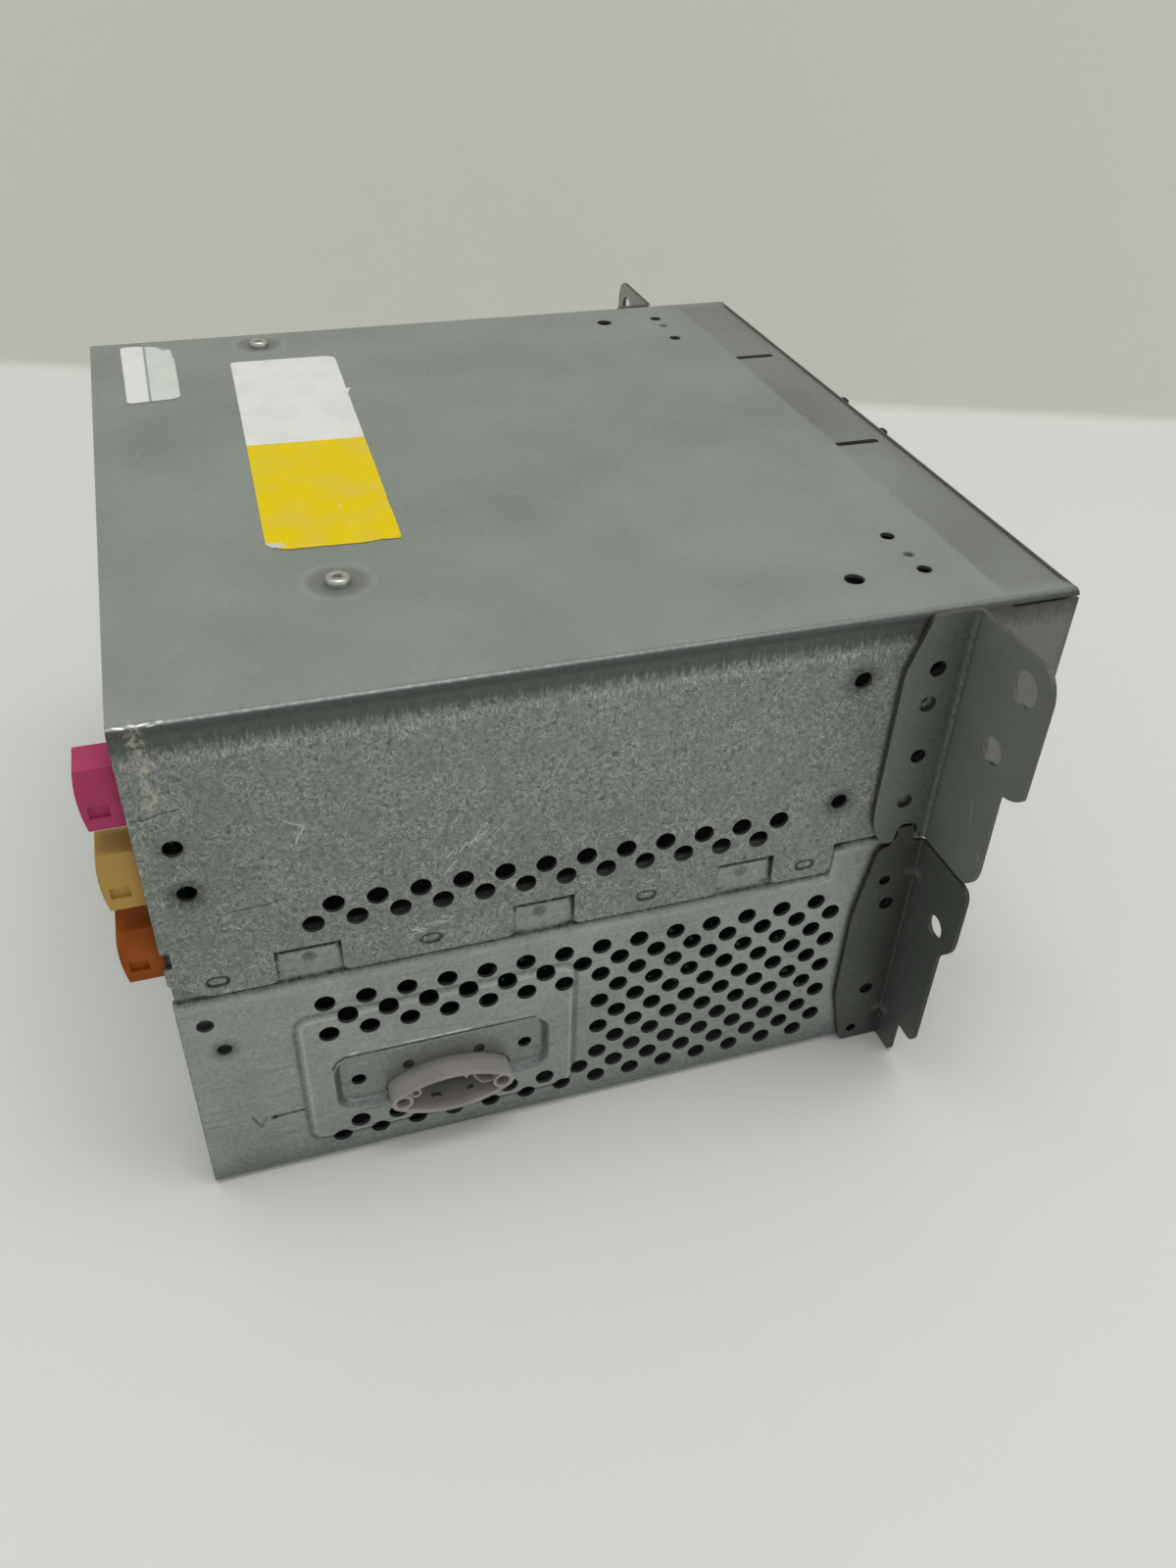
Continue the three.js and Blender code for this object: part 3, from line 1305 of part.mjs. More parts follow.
// Straight-sided teeth, the first one centred on the given phase
function gearSolid(count, [y, z], phase, bore) {
  const pitch = pitchRadius(count);
  const tip = pitch + gear.size * gear.tipShare;
  const root = pitch - gear.size * gear.rootShare;
  const step = Math.PI * 2 / count;
  const corners = [[-gear.rootHalfShare, root], [-gear.tipHalfShare, tip], [gear.tipHalfShare, tip],
    [gear.rootHalfShare, root]];
  const points = [];
  for (let i = 0; i < count; i += 1) {
    for (const [share, radius] of corners) {
      const turn = phase + (i + share) * step;
      points.push([y + radius * Math.cos(turn), z + radius * Math.sin(turn)]);
    }
  }
  return cut(prism('x', gearSpan, outline(points)), rod('x', grown(gearSpan, overrun), [y, z], bore));
}

// The phase at which a driven gear's gap meets the driver's tooth along the line of centres
function meshPhase(driverPhase, driverTeeth, drivenTeeth, turn) {
  return turn + Math.PI + Math.PI / drivenTeeth - (driverPhase - turn) * driverTeeth / drivenTeeth;
}

const rollerPhase = idlerTurn;
const idlerPhase = meshPhase(rollerPhase, teeth.roller, teeth.idler, idlerTurn);
const pinionPhase = meshPhase(idlerPhase, teeth.idler, teeth.pinion, 0);

function loadingCarriage() {
  const barDepth = 4.6;
  const barHeight = 5;
  const arm = [driveX(armInner), driveX(armOuter)];
  const leftArm = [driveX(-armOuter), driveX(-armInner)];
  const [pivotY, pivotZ] = carriagePivotPlace;
  const bar = barOutline(carriagePivotPlace, rollerAxis, roller.armHalf);
  const crossbar = block([driveX(-armInner - overrun), driveX(armInner + overrun)],
    around(pivotY, barDepth), around(pivotZ, barHeight));
  const pins = [
    rod('x', [arm[1] - overrun, driveX(pinReach)], carriagePivotPlace, carriagePivot.pinRadius),
    rod('x', [driveX(-pinReach), leftArm[0] + overrun], carriagePivotPlace, carriagePivot.pinRadius),
    rod('x', [arm[1] - overrun, gearSpan[1] + clearance], idlerAxis, idlerPin),
  ];
  const plates = [
    prism('x', arm, bar),
    prism('x', leftArm, bar),
    prism('x', arm, barOutline(idlerAxis, pinionAxis, roller.armHalf)),
    prism('x', arm, barOutline(pinionAxis, carriagePivotPlace, roller.armHalf)),
  ];
  const across = [leftArm[0] - overrun, arm[1] + overrun];
  return cut(join(crossbar, ...plates, ...pins),
    rod('x', across, rollerAxis, roller.shaftRadius + clearance),
    rod('x', grown(arm, overrun), pinionAxis, loadingMotor.shaftRadius + clearance));
}

function loadingMotorSolid() {
  const face = driveX(armInner - clearance);
  return join(rod('x', [face - loadingMotor.length, face], pinionAxis, loadingMotor.radius, turnedSides),
    rod('x', [face - overrun, gearSpan[1]], pinionAxis, loadingMotor.shaftRadius));
}

function rollerShaft() {
  return rod('x', [driveX(-armOuter - overrun), gearSpan[1] + clearance], rollerAxis, roller.shaftRadius);
}

function loadingRoller() {
  const bore = roller.shaftRadius + clearance;
  const half = armInner - roller.endGap;
  return turned('x', rollerAxis, [[bore, driveX(-half)], [roller.radius, driveX(-half)],
    [roller.waistRadius, driveX(0)], [roller.radius, driveX(half)], [bore, driveX(half)],
    [bore, driveX(-half)]]);
}

// Cam slide on the chassis' left wall, which moves the clamp arm and the carriage
function camSlide() {
  const length = 100;
  const thickness = 2.5;
  const height = 10;
  const rise = 14;
  const ahead = 42;
  const slotHalf = 1.9;
  const slotFrontShares = [[0.06, 0.22], [0.2, 0.78]];
  const slotRearShares = [[0.76, 0.78], [0.9, 0.22]];
  const outer = driveX(-driveHalf - clearance - thickness);
  const start = spindle - ahead;
  const floor = driveFloor + rise;
  const toPlace = ([along, up]) => [start + along * length, floor + up * height];
  const span = [outer, outer + thickness];
  const slots = [slotFrontShares, slotRearShares].map(([from, to]) => {
    return prism('x', grown(span, overrun), barOutline(toPlace(from), toPlace(to), slotHalf / 2));
  });
  return cut(block(span, [start, start + length], [floor, floor + height]), ...slots);
}

// Board compartment

const boardInset = { side: 9, front: 14, rear: 11.8 };

function mainBoard() {
  return block([boardInset.side - sideFace, sideFace - boardInset.side],
    [lowerFront + boardInset.front, endFace - boardInset.rear], [boardHeight, boardTop]);
}

const chip = { x: 36, y: -6, size: 28, height: 2.5 };

function processor() {
  const floor = boardTop + clearance;
  return block(around(chip.x, chip.size), around(chip.y, chip.size), [floor, floor + chip.height]);
}

function heatSink() {
  const width = 44;
  const length = 48;
  const base = 4;
  const height = 19;
  const fins = 9;
  const finThickness = 1.6;
  const floor = boardTop + 2 * clearance + chip.height;
  const pitch = (width - finThickness) / (fins - 1);
  const left = chip.x - width / 2;
  const profile = [[left, floor], [left + width, floor]];
  for (let i = fins - 1; i >= 0; i -= 1) {
    const fin = left + i * pitch;
    profile.push([fin + finThickness, floor + height], [fin, floor + height]);
    if (i > 0) profile.push([fin, floor + base], [fin - pitch + finThickness, floor + base]);
  }
  return prism('y', around(chip.y, length), outline(profile));
}

function tunerCan() {
  const fromSide = 11;
  const width = 28;
  const front = 38;
  const length = 36;
  const height = 12;
  const corner = 1.5;
  const holePitch = 5;
  const holeRadius = 1.2;
  const holeColumns = 6;
  const floor = boardTop + clearance;
  const x = [fromSide - sideFace, fromSide + width - sideFace];
  const body = prism('z', [floor, floor + height], roundedRect(x, [front, front + length], corner));
  const hollow = block(grown(x, -sheet), grown([front, front + length], -sheet),
    [floor - overrun, floor + height - sheet]);
  const firstHole = front + (length - (holeColumns - 1) * holePitch) / 2;
  const holes = row(firstHole, holePitch, holeColumns, (x[0] + x[1]) / 2).map(([y, middle]) => [middle, y]);
  return cut(body, hollow, rods('z', grown([floor + height - sheet, floor + height], overrun), holes,
    holeRadius));
}

const disk = { width: 70, length: 100, height: 9.5, fromSide: 16, front: 12, hang: 21, padWidth: 7, pad: 2.2 };
const diskX = [disk.fromSide - sideFace, disk.fromSide + disk.width - sideFace];
const diskY = [lowerFront + disk.front, lowerFront + disk.front + disk.length];
const cradleFloor = shieldUnder - clearance - disk.hang;
const padFloorLevel = cradleFloor + sheet + clearance;
const diskFloor = padFloorLevel + disk.pad + clearance;

function hardDisk() {
  const corner = 3;
  const step = 1.5;
  const inset = 6;
  const body = prism('z', [diskFloor, diskFloor + disk.height - step], roundedRect(diskX, diskY, corner));
  const lid = prism('z', [diskFloor + disk.height - step - overrun, diskFloor + disk.height],
    roundedRect(grown(diskX, -inset), grown(diskY, -inset), inset));
  return join(body, lid);
}

function diskPad(side) {
  const length = 90;
  const edge = side < 0 ? diskX[0] : diskX[1] - disk.padWidth;
  return block([edge, edge + disk.padWidth], around((diskY[0] + diskY[1]) / 2, length),
    [padFloorLevel, padFloorLevel + disk.pad]);
}

function diskCradle() {
  const rim = 2;
  const flange = 6;
  const hang = shieldUnder - clearance;
  const x = grown(diskX, rim);
  const y = grown(diskY, rim);
  const tub = cut(block(x, y, [cradleFloor, hang]),
    block(grown(x, -sheet), grown(y, overrun), [cradleFloor + sheet, hang + overrun]));
  const flanges = [-1, 1].map((side) => {
    const inner = side < 0 ? x[0] : x[1];
    const outer = inner + side * flange;
    return block([Math.min(inner, outer), Math.max(inner, outer)], y, [hang - sheet, hang]);
  });
  return join(tub, ...flanges);
}

const capacitor = { radius: 5, height: 18, fromSide: 21, fromFront: 24 };
const coilRow = sideFace - capacitor.fromSide;

function capacitorSolid() {
  const floor = boardTop + clearance;
  const groove = 0.6;
  const grooveRise = 3;
  const { radius, height } = capacitor;
  return turned('z', [coilRow, lowerFront + capacitor.fromFront], [[0, floor], [radius, floor],
    [radius, floor + grooveRise - groove], [radius - groove, floor + grooveRise],
    [radius, floor + grooveRise + groove], [radius, floor + height - groove],
    [radius - groove, floor + height], [0, floor + height]], 2 * holeSides);
}

function chokeCoil() {
  const ringRadius = 6.5;
  const wireRadius = 3;
  const ringSteps = 8;
  const fromFront = 98.5;
  const floor = boardTop + clearance;
  const profile = Array.from({ length: ringSteps + 1 }, (_, i) => {
    const turn = i * Math.PI * 2 / ringSteps;
    return [ringRadius + wireRadius * Math.cos(turn), floor + wireRadius + wireRadius * Math.sin(turn)];
  });
  return turned('z', [coilRow, lowerFront + fromFront], profile);
}

// Assembly

piece('upper_cover', upperCover(), finishes.zinc);
piece('lower_housing', lowerHousing(), finishes.zinc);
piece('front_plate', frontPlate(), finishes.zinc);
piece('rear_panel', rearPanel(), finishes.zinc);
piece('slot_bezel', slotBezel(), finishes.blackPlastic);
piece('upper_bracket_right', upperBracket(), finishes.darkSteel);
piece('upper_bracket_left', mirrored(upperBracket()), finishes.darkSteel);
piece('lower_bracket_right', lowerBracket(), finishes.darkSteel);
piece('lower_bracket_left', mirrored(lowerBracket()), finishes.darkSteel);
piece('side_collar', sideCollar(), finishes.greyPlastic);
piece('coax_connector_pink', coaxConnector(0), finishes.pinkPlastic);
piece('coax_connector_beige', coaxConnector(1), finishes.beigePlastic);
piece('coax_connector_orange', coaxConnector(2), finishes.orangePlastic);
piece('coax_board', coaxBoard(), finishes.board);
piece('main_header', mainHeader(), finishes.blackPlastic);
piece('fascia_connector', fasciaConnector(), finishes.blackPlastic);
piece('fan_frame', fanFrame(), finishes.blackPlastic);
piece('fan_rotor', fanRotor(), finishes.blackPlastic);
piece('top_screw_right', topScrew(screwPlaces[0]), finishes.steel);
piece('top_screw_left', topScrew(screwPlaces[1]), finishes.steel);
piece('label_large', label(largeLabel.width, largeLabel.depth,
  [driveCentre, endFace - largeLabel.fromRear], largeLabel.turn), finishes.paper);
piece('label_small', label(smallLabel.width, smallLabel.depth,
  [sideFace - smallLabel.fromSide, endFace - smallLabel.fromRear], 0), finishes.paper);

piece('mid_shield', midShield(), finishes.zinc);
piece('drive_chassis', driveChassis(), finishes.steel);
piece('drive_board', driveBoardSolid(), finishes.board);
piece('ribbon_cable', ribbonCable(), finishes.ribbon);
piece('ribbon_socket', ribbonSocketSolid(), finishes.whitePlastic);
piece('traverse_frame', traverseFrame(), finishes.steel);
for (const [hand, side] of [['left', -1], ['right', 1]]) {
  piece(`traverse_damper_front_${hand}`, traverseDamper(side, false), finishes.rubber);
  piece(`traverse_damper_rear_${hand}`, traverseDamper(side, true), finishes.rubber);
  piece(`guide_rod_${hand}`, guideRod(side), finishes.steel);
}
piece('spindle_motor', spindleMotorSolid(), finishes.steel);
piece('turntable', turntableSolid(), finishes.blackPlastic);
piece('pickup_sled', pickupSled(), finishes.aluminium);
piece('sled_motor', sledMotorSolid(), finishes.steel);
piece('lead_screw', leadScrew(), finishes.brass);
piece('disc_guide', discGuide(), finishes.blackPlastic);
piece('loading_carriage', loadingCarriage(), finishes.whitePlastic);
piece('loading_motor', loadingMotorSolid(), finishes.steel);
piece('roller_shaft', rollerShaft(), finishes.steel);
piece('loading_roller', loadingRoller(), finishes.rubber);
piece('roller_gear', gearSolid(teeth.roller, rollerAxis, rollerPhase, roller.shaftRadius + clearance),
  finishes.whitePlastic);
piece('idler_gear', gearSolid(teeth.idler, idlerAxis, idlerPhase, idlerPin + clearance),
  finishes.whitePlastic);
piece('motor_pinion', gearSolid(teeth.pinion, pinionAxis, pinionPhase, loadingMotor.shaftRadius + clearance),
  finishes.brass);
piece('cam_slide', camSlide(), finishes.whitePlastic);

const clampGroup = new THREE.Group();
clampGroup.position.set(driveCentre, ...clampPivotPlace);
clampGroup.rotation.x = -THREE.MathUtils.degToRad(clampPivot.lifted);
unit.add(clampGroup);
piece('clamp_arm', clampArmSolid(), finishes.steel, clampGroup);
piece('clamp_puck', clampPuckSolid(), finishes.blackPlastic, clampGroup);

piece('main_board', mainBoard(), finishes.board);
piece('processor', processor(), finishes.blackPlastic);
piece('heat_sink', heatSink(), finishes.aluminium);
piece('tuner_can', tunerCan(), finishes.zinc);
piece('hard_disk', hardDisk(), finishes.aluminium);
piece('disk_cradle', diskCradle(), finishes.zinc);
piece('disk_pad_left', diskPad(-1), finishes.rubber);
piece('disk_pad_right', diskPad(1), finishes.rubber);
piece('capacitor', capacitorSolid(), finishes.blackPlastic);
piece('choke_coil', chokeCoil(), finishes.copper);

export default unit;
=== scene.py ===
"""Car navigation computer: a slot-loading disc drive in a folded case of zinc-coated sheet steel.

Laid out as a Blender add-on: the property groups hold the sizes and colours, each operator makes one
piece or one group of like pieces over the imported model, and main() runs them in order.
Sizes in the code are millimetres; +X is right seen from the front, -Y is the front, +Z is up.
"""
import json
import math
import bmesh
import bpy
import numpy as np
from mathutils import Matrix, Vector
from mathutils.geometry import delaunay_2d_cdt


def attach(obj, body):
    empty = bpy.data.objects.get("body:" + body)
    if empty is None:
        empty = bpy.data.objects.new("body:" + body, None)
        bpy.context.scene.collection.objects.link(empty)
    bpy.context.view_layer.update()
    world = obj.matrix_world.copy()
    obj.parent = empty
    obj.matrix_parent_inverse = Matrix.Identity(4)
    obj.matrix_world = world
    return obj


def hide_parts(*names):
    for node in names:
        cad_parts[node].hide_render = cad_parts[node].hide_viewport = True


bl_info = {
    "name": "Car navigation computer",
    "version": (1, 0, 0),
    "blender": (4, 5, 0),
    "location": "View3D > Sidebar > Navigation computer",
    "description": "Makes the case, brackets, sockets and finishes of a car navigation computer",
    "category": "Object",
}

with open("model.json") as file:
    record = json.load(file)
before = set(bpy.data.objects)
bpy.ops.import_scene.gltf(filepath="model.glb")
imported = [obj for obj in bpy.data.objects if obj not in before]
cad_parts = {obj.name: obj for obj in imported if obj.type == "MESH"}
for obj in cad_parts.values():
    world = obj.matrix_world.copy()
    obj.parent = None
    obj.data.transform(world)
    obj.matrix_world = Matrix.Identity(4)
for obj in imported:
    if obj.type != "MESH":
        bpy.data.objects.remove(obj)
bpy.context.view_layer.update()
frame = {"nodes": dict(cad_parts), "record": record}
NODES = frame["nodes"]
MM = 0.001

# Case: half its width and depth, and its height
SIDE, END, TOP = 89.0, 87.8, 115.7
# Cover's lower edge, the step up of that edge ahead of STEP_END, and the housing's tongue behind it
SEAM, SEAM_STEP, STEP_END = 55.0, 7.7, -44.8
TONGUE_TOP, TONGUE_END, SEAM_GAP = 66.5, 87.3, 2.1
# Front of the lower half, underside of the upper half's overhang, and play between pieces
LOW_FRONT, OVERHANG, GAP = -66.3, 67.9, 0.3
# Slanted cut at the cover's lower rear corner, and the notches of its lower edge: middles, half width, height
REAR_CUT = [(END, 59.4), (80.9, SEAM)]
NOTCHES, NOTCH_HALF, NOTCH_HEIGHT = (62.45, 17.15, -25.25), 6.15, 7.8
# Top screws, middle of the drive across the case, and middle of the fan, x and z
SCREWS = ((80.0, 46.1), (-50.6, 46.1))
DRIVE_X = 14.7
FAN = (66.0, 34.0)
# Collar: its middle, half its length and height, and the radius of its ends
COLLAR = {"y": 37.5, "z": 16.8, "half": 13.0, "rise": 5.6, "end": 2.4}


def linear(code):
    """An sRGB hex colour as linear RGBA: each channel c becomes c/12.92, or ((c+0.055)/1.055)^2.4."""
    c = np.array([int(code[i:i + 2], 16) for i in (1, 3, 5)]) / 255
    c = np.where(c <= 0.04045, c / 12.92, ((c + 0.055) / 1.055) ** 2.4)
    return (*[float(x) for x in c], 1.0)


# Outlines and distances on the flat sheet

def circle(centre, radius, sides=22):
    """Points at equal angles round a centre."""
    turn = np.arange(sides) * 2 * np.pi / sides
    return np.column_stack([centre[0] + radius * np.cos(turn), centre[1] + radius * np.sin(turn)])


def obround(a, b, radius, sides=7):
    """Two half circles round the points a and b, joined by straight sides."""
    a, b = np.array(a, float), np.array(b, float)
    turn = math.atan2(*(b - a)[::-1])
    bow = np.linspace(-np.pi / 2, np.pi / 2, sides)
    far = b + radius * np.column_stack([np.cos(turn + bow), np.sin(turn + bow)])
    near = a - radius * np.column_stack([np.cos(turn + bow), np.sin(turn + bow)])
    return np.vstack([far, near])


def rounded(points, radius, steps=4):
    """Each corner p becomes the quadratic curve from p towards its last neighbour to p towards its next,
    cut off at the given length or at half of the shorter side."""
    p = np.array(points, float)
    last, nxt = np.roll(p, 1, 0) - p, np.roll(p, -1, 0) - p
    l0, l1 = np.linalg.norm(last, axis=1), np.linalg.norm(nxt, axis=1)
    cut = np.minimum(np.broadcast_to(radius, l0.shape), 0.49 * np.minimum(l0, l1))
    a, b = p + last * (cut / l0)[:, None], p + nxt * (cut / l1)[:, None]
    t = np.linspace(0, 1, steps)[None, :, None]
    return ((1 - t) ** 2 * a[:, None] + 2 * t * (1 - t) * p[:, None] + t ** 2 * b[:, None]).reshape(-1, 2)


def rounded_box(u, v, radius, steps=6):
    """A rectangle over the spans u and v with true quarter circles at its corners."""
    radius = max(radius, 0.05)
    quarter = np.linspace(0, np.pi / 2, steps)
    corners = ((u[1], v[1], 0, -1, -1), (u[0], v[1], 1, 1, -1), (u[0], v[0], 2, 1, 1), (u[1], v[0], 3, -1, 1))
    return np.vstack([np.column_stack([cu + su * radius + radius * np.cos(quarter + k * np.pi / 2),
                                       cv + sv * radius + radius * np.sin(quarter + k * np.pi / 2)])
                      for cu, cv, k, su, sv in corners])


def contours(u, v, radius, width):
    """Closed lines along a pressed wall: three outside it, four down the wall and one inside it."""
    return [rounded_box((u[0] + d, u[1] - d), (v[0] + d, v[1] - d), radius - d)
            for d in (-1.4, -0.8, -0.35, 0, width / 3, 2 * width / 3, width, width + 0.5)]


def to_box(u, v, span_u, span_v, radius):
    """Signed distance to a rounded rectangle, negative inside it."""
    qu = np.abs(u - sum(span_u) / 2) - ((span_u[1] - span_u[0]) / 2 - radius)
    qv = np.abs(v - sum(span_v) / 2) - ((span_v[1] - span_v[0]) / 2 - radius)
    return np.hypot(np.maximum(qu, 0), np.maximum(qv, 0)) + np.minimum(np.maximum(qu, qv), 0) - radius


def ease(t):
    """0 below 0, 1 above 1, and the smooth cubic 3t^2 - 2t^3 between."""
    t = np.clip(t, 0, 1)
    return t * t * (3 - 2 * t)


def spot(u, v, centre, radius, fall):
    """1 within a radius of the centre, falling smoothly to 0 over the length `fall` beyond it."""
    return 1 - ease((np.hypot(u - centre[0], v - centre[1]) - radius) / fall)


def lens(offset):
    """The collar's outline: two shallow arcs joined by small end arcs, larger by the given offset."""
    centre = COLLAR["half"] - COLLAR["end"]
    rise = COLLAR["rise"] - COLLAR["end"]
    arc = (centre ** 2 + rise ** 2) / (2 * rise)
    big, end, drop = arc + COLLAR["end"] + offset, COLLAR["end"] + offset, arc - rise
    lean = math.atan2(drop, centre)
    bows = ((centre, 0, end, -lean, lean), (0, -drop, big, lean, np.pi - lean),
            (-centre, 0, end, np.pi - lean, np.pi + lean), (0, drop, big, np.pi + lean, 2 * np.pi - lean))
    loop = []
    for y, z, radius, start, stop in bows:
        turn = np.linspace(start, stop, 18, endpoint=False)
        loop.append(np.column_stack([y + radius * np.cos(turn), z + radius * np.sin(turn)]))
    return np.vstack(loop) + (COLLAR["y"], COLLAR["z"])


def to_path(u, v, path):
    """Distance to an open line of straight pieces: to the nearest point of each piece, and the least of
    them."""
    least = np.full(len(u), np.inf)
    for a, b in zip(path[:-1], path[1:]):
        run = np.subtract(b, a)
        t = np.clip(((u - a[0]) * run[0] + (v - a[1]) * run[1]) / max(float((run ** 2).sum()), 1e-9), 0, 1)
        least = np.minimum(least, np.hypot(u - a[0] - t * run[0], v - a[1] - t * run[1]))
    return least


def inside(points, loops):
    """Even-odd test: a point is inside where a ray from it crosses the loops an odd number of times."""
    odd = np.zeros(len(points), bool)
    x, y = points[:, :1], points[:, 1:]
    for loop in loops:
        a, b = loop, np.roll(loop, -1, 0)
        over = (a[:, 1] > y) != (b[:, 1] > y)
        rise = np.where(b[:, 1] == a[:, 1], 1, b[:, 1] - a[:, 1])
        cross = over & (x < (b[:, 0] - a[:, 0]) * (y - a[:, 1]) / rise + a[:, 0])
        odd ^= (cross.sum(1) % 2).astype(bool)
    return odd


def dense(line, step):
    """Points added along a line, so that no piece of it is longer than the step."""
    line = np.asarray(line, float)
    parts = []
    for a, b in zip(line[:-1], line[1:]):
        count = max(1, math.ceil(np.linalg.norm(b - a) / step))
        parts.append(a + (b - a) * np.linspace(0, 1, count, endpoint=False)[:, None])
    return np.vstack([*parts, line[-1:]])


# Meshes

def flat_mesh(outline, holes, creases, lines, pitch):
    """Triangles over the outline less the holes: the outlines, the closed creases, the open lines and an
    even grid go through a constrained Delaunay triangulation, and what lies outside is dropped."""
    loops = [np.asarray(loop, float) for loop in (outline, *holes, *creases)]
    points, edges, start = [], [], 0
    for loop in loops:
        index = np.arange(len(loop)) + start
        edges.append(np.column_stack([index, np.roll(index, -1)]))
        points.append(loop)
        start += len(loop)
    for line in lines:
        line = dense(line, pitch)
        index = np.arange(len(line)) + start
        edges.append(np.column_stack([index[:-1], index[1:]]))
        points.append(line)
        start += len(line)
    fixed = np.vstack(points)
    low, high = loops[0].min(0), loops[0].max(0)
    steps = [np.arange(low[k] + pitch / 2, high[k], pitch) for k in (0, 1)]
    grid = np.stack(np.meshgrid(*steps), -1).reshape(-1, 2)
    if len(grid):
        near = np.full(len(grid), np.inf)
        for part in np.array_split(fixed, max(1, len(fixed) // 400)):
            gap = (grid[:, None, 0] - part[None, :, 0]) ** 2 + (grid[:, None, 1] - part[None, :, 1]) ** 2
            near = np.minimum(near, gap.min(1))
        grid = grid[near > (0.4 * pitch) ** 2]
    verts = [Vector(p) for p in np.vstack([fixed, grid]).tolist()]
    flat, _, faces, *_ = delaunay_2d_cdt(verts, np.vstack(edges).tolist(), [], 0, 1e-6)
    flat = np.array([(p[0], p[1]) for p in flat])
    tris = np.array([f for f in faces if len(f) == 3])
    tris = tris[inside(flat[tris].mean(1), loops[:1 + len(holes)])]
    a, b, c = (flat[tris[:, k]] for k in range(3))
    area = (b[:, 0] - a[:, 0]) * (c[:, 1] - a[:, 1]) - (b[:, 1] - a[:, 1]) * (c[:, 0] - a[:, 0])
    tris[area < 0] = tris[area < 0][:, ::-1]
    used, tris = np.unique(tris[np.abs(area) > 1e-9], return_inverse=True)
    return flat[used], tris.reshape(-1, 3)


def walled(tris, count):
    """Faces of a closed sheet: the triangles, the same turned over for the back, and one quad along each
    open edge. Points of the back follow the points of the front."""
    pairs = np.vstack([tris[:, [0, 1]], tris[:, [1, 2]], tris[:, [2, 0]]])
    key, back = pairs[:, 0] * count + pairs[:, 1], pairs[:, 1] * count + pairs[:, 0]
    rim = pairs[~np.isin(back, key)]
    quads = np.column_stack([rim[:, 1], rim[:, 0], rim[:, 0] + count, rim[:, 1] + count])
    return tris, tris[:, ::-1] + count, quads


def shown(name, mesh, sharp):
    """Shades the mesh smooth but for the edges sharper than the angle, and shows it as an object."""
    mesh.shade_smooth()
    mesh.set_sharp_from_angle(angle=math.radians(sharp))
    piece = bpy.data.objects.new(name, mesh)
    bpy.context.scene.collection.objects.link(piece)
    return piece


def put(name, points, faces, materials, body, stands_for, rim=None, sharp=30.0, soil=None):
    """Makes the mesh, in metres, gives it its materials, and says what it rides on and stands for. Its last
    argument is a number a point: dark dirt and painted shade above 0, rubbed bright metal and painted
    highlights below 0."""
    mesh = bpy.data.meshes.new(name)
    mesh.from_pydata((np.asarray(points) * MM).tolist(), [], faces)
    mesh.update()
    for finish in materials:
        mesh.materials.append(finish)
    if rim is not None:
        mesh.polygons.foreach_set("material_index", np.asarray(rim, np.int32))
    if soil is not None:
        value = np.zeros(len(points), np.float32)
        value[:len(soil)] = soil
        mesh.attributes.new("soil", "FLOAT", "POINT").data.foreach_set("value", value)
    piece = shown(name, mesh, sharp)
    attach(piece, body)
    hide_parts(stands_for)
    return piece


def sheet(flat, tris, place, thickness):
    """Points and faces of a sheet bent into place: place gives each flat point its place and its outward
    normal, and the back lies one thickness behind along that normal."""
    front, normal = place(flat[:, 0], flat[:, 1])
    a, b, c = (front[tris[:, k]] for k in range(3))
    if (np.cross(b - a, c - a) * normal[tris[:, 0]]).sum() < 0:
        tris = tris[:, ::-1]
    faces, back, quads = walled(tris, len(front))
    points = np.vstack([front, front - normal * thickness])
    rim = np.concatenate([np.zeros(len(faces) + len(back)), np.ones(len(quads))])
    return points, [*faces.tolist(), *back.tolist(), *quads.tolist()], rim


def joined(*parts):
    """Several closed shells as one: points are stacked, and face indices moved up to match."""
    points, faces, rims, start = [], [], [], 0
    for p, f, r in parts:
        points.append(p)
        faces += [[i + start for i in face] for face in f]
        rims.append(np.asarray(r))
        start += len(p)
    return np.vstack(points), faces, np.concatenate(rims)


def slab(outline, holes, place, thickness, pitch=8.0, creases=()):
    """A plain plate of any outline with holes through it."""
    flat, tris = flat_mesh(outline, holes, creases, (), pitch)
    return sheet(flat, tris, place, thickness)


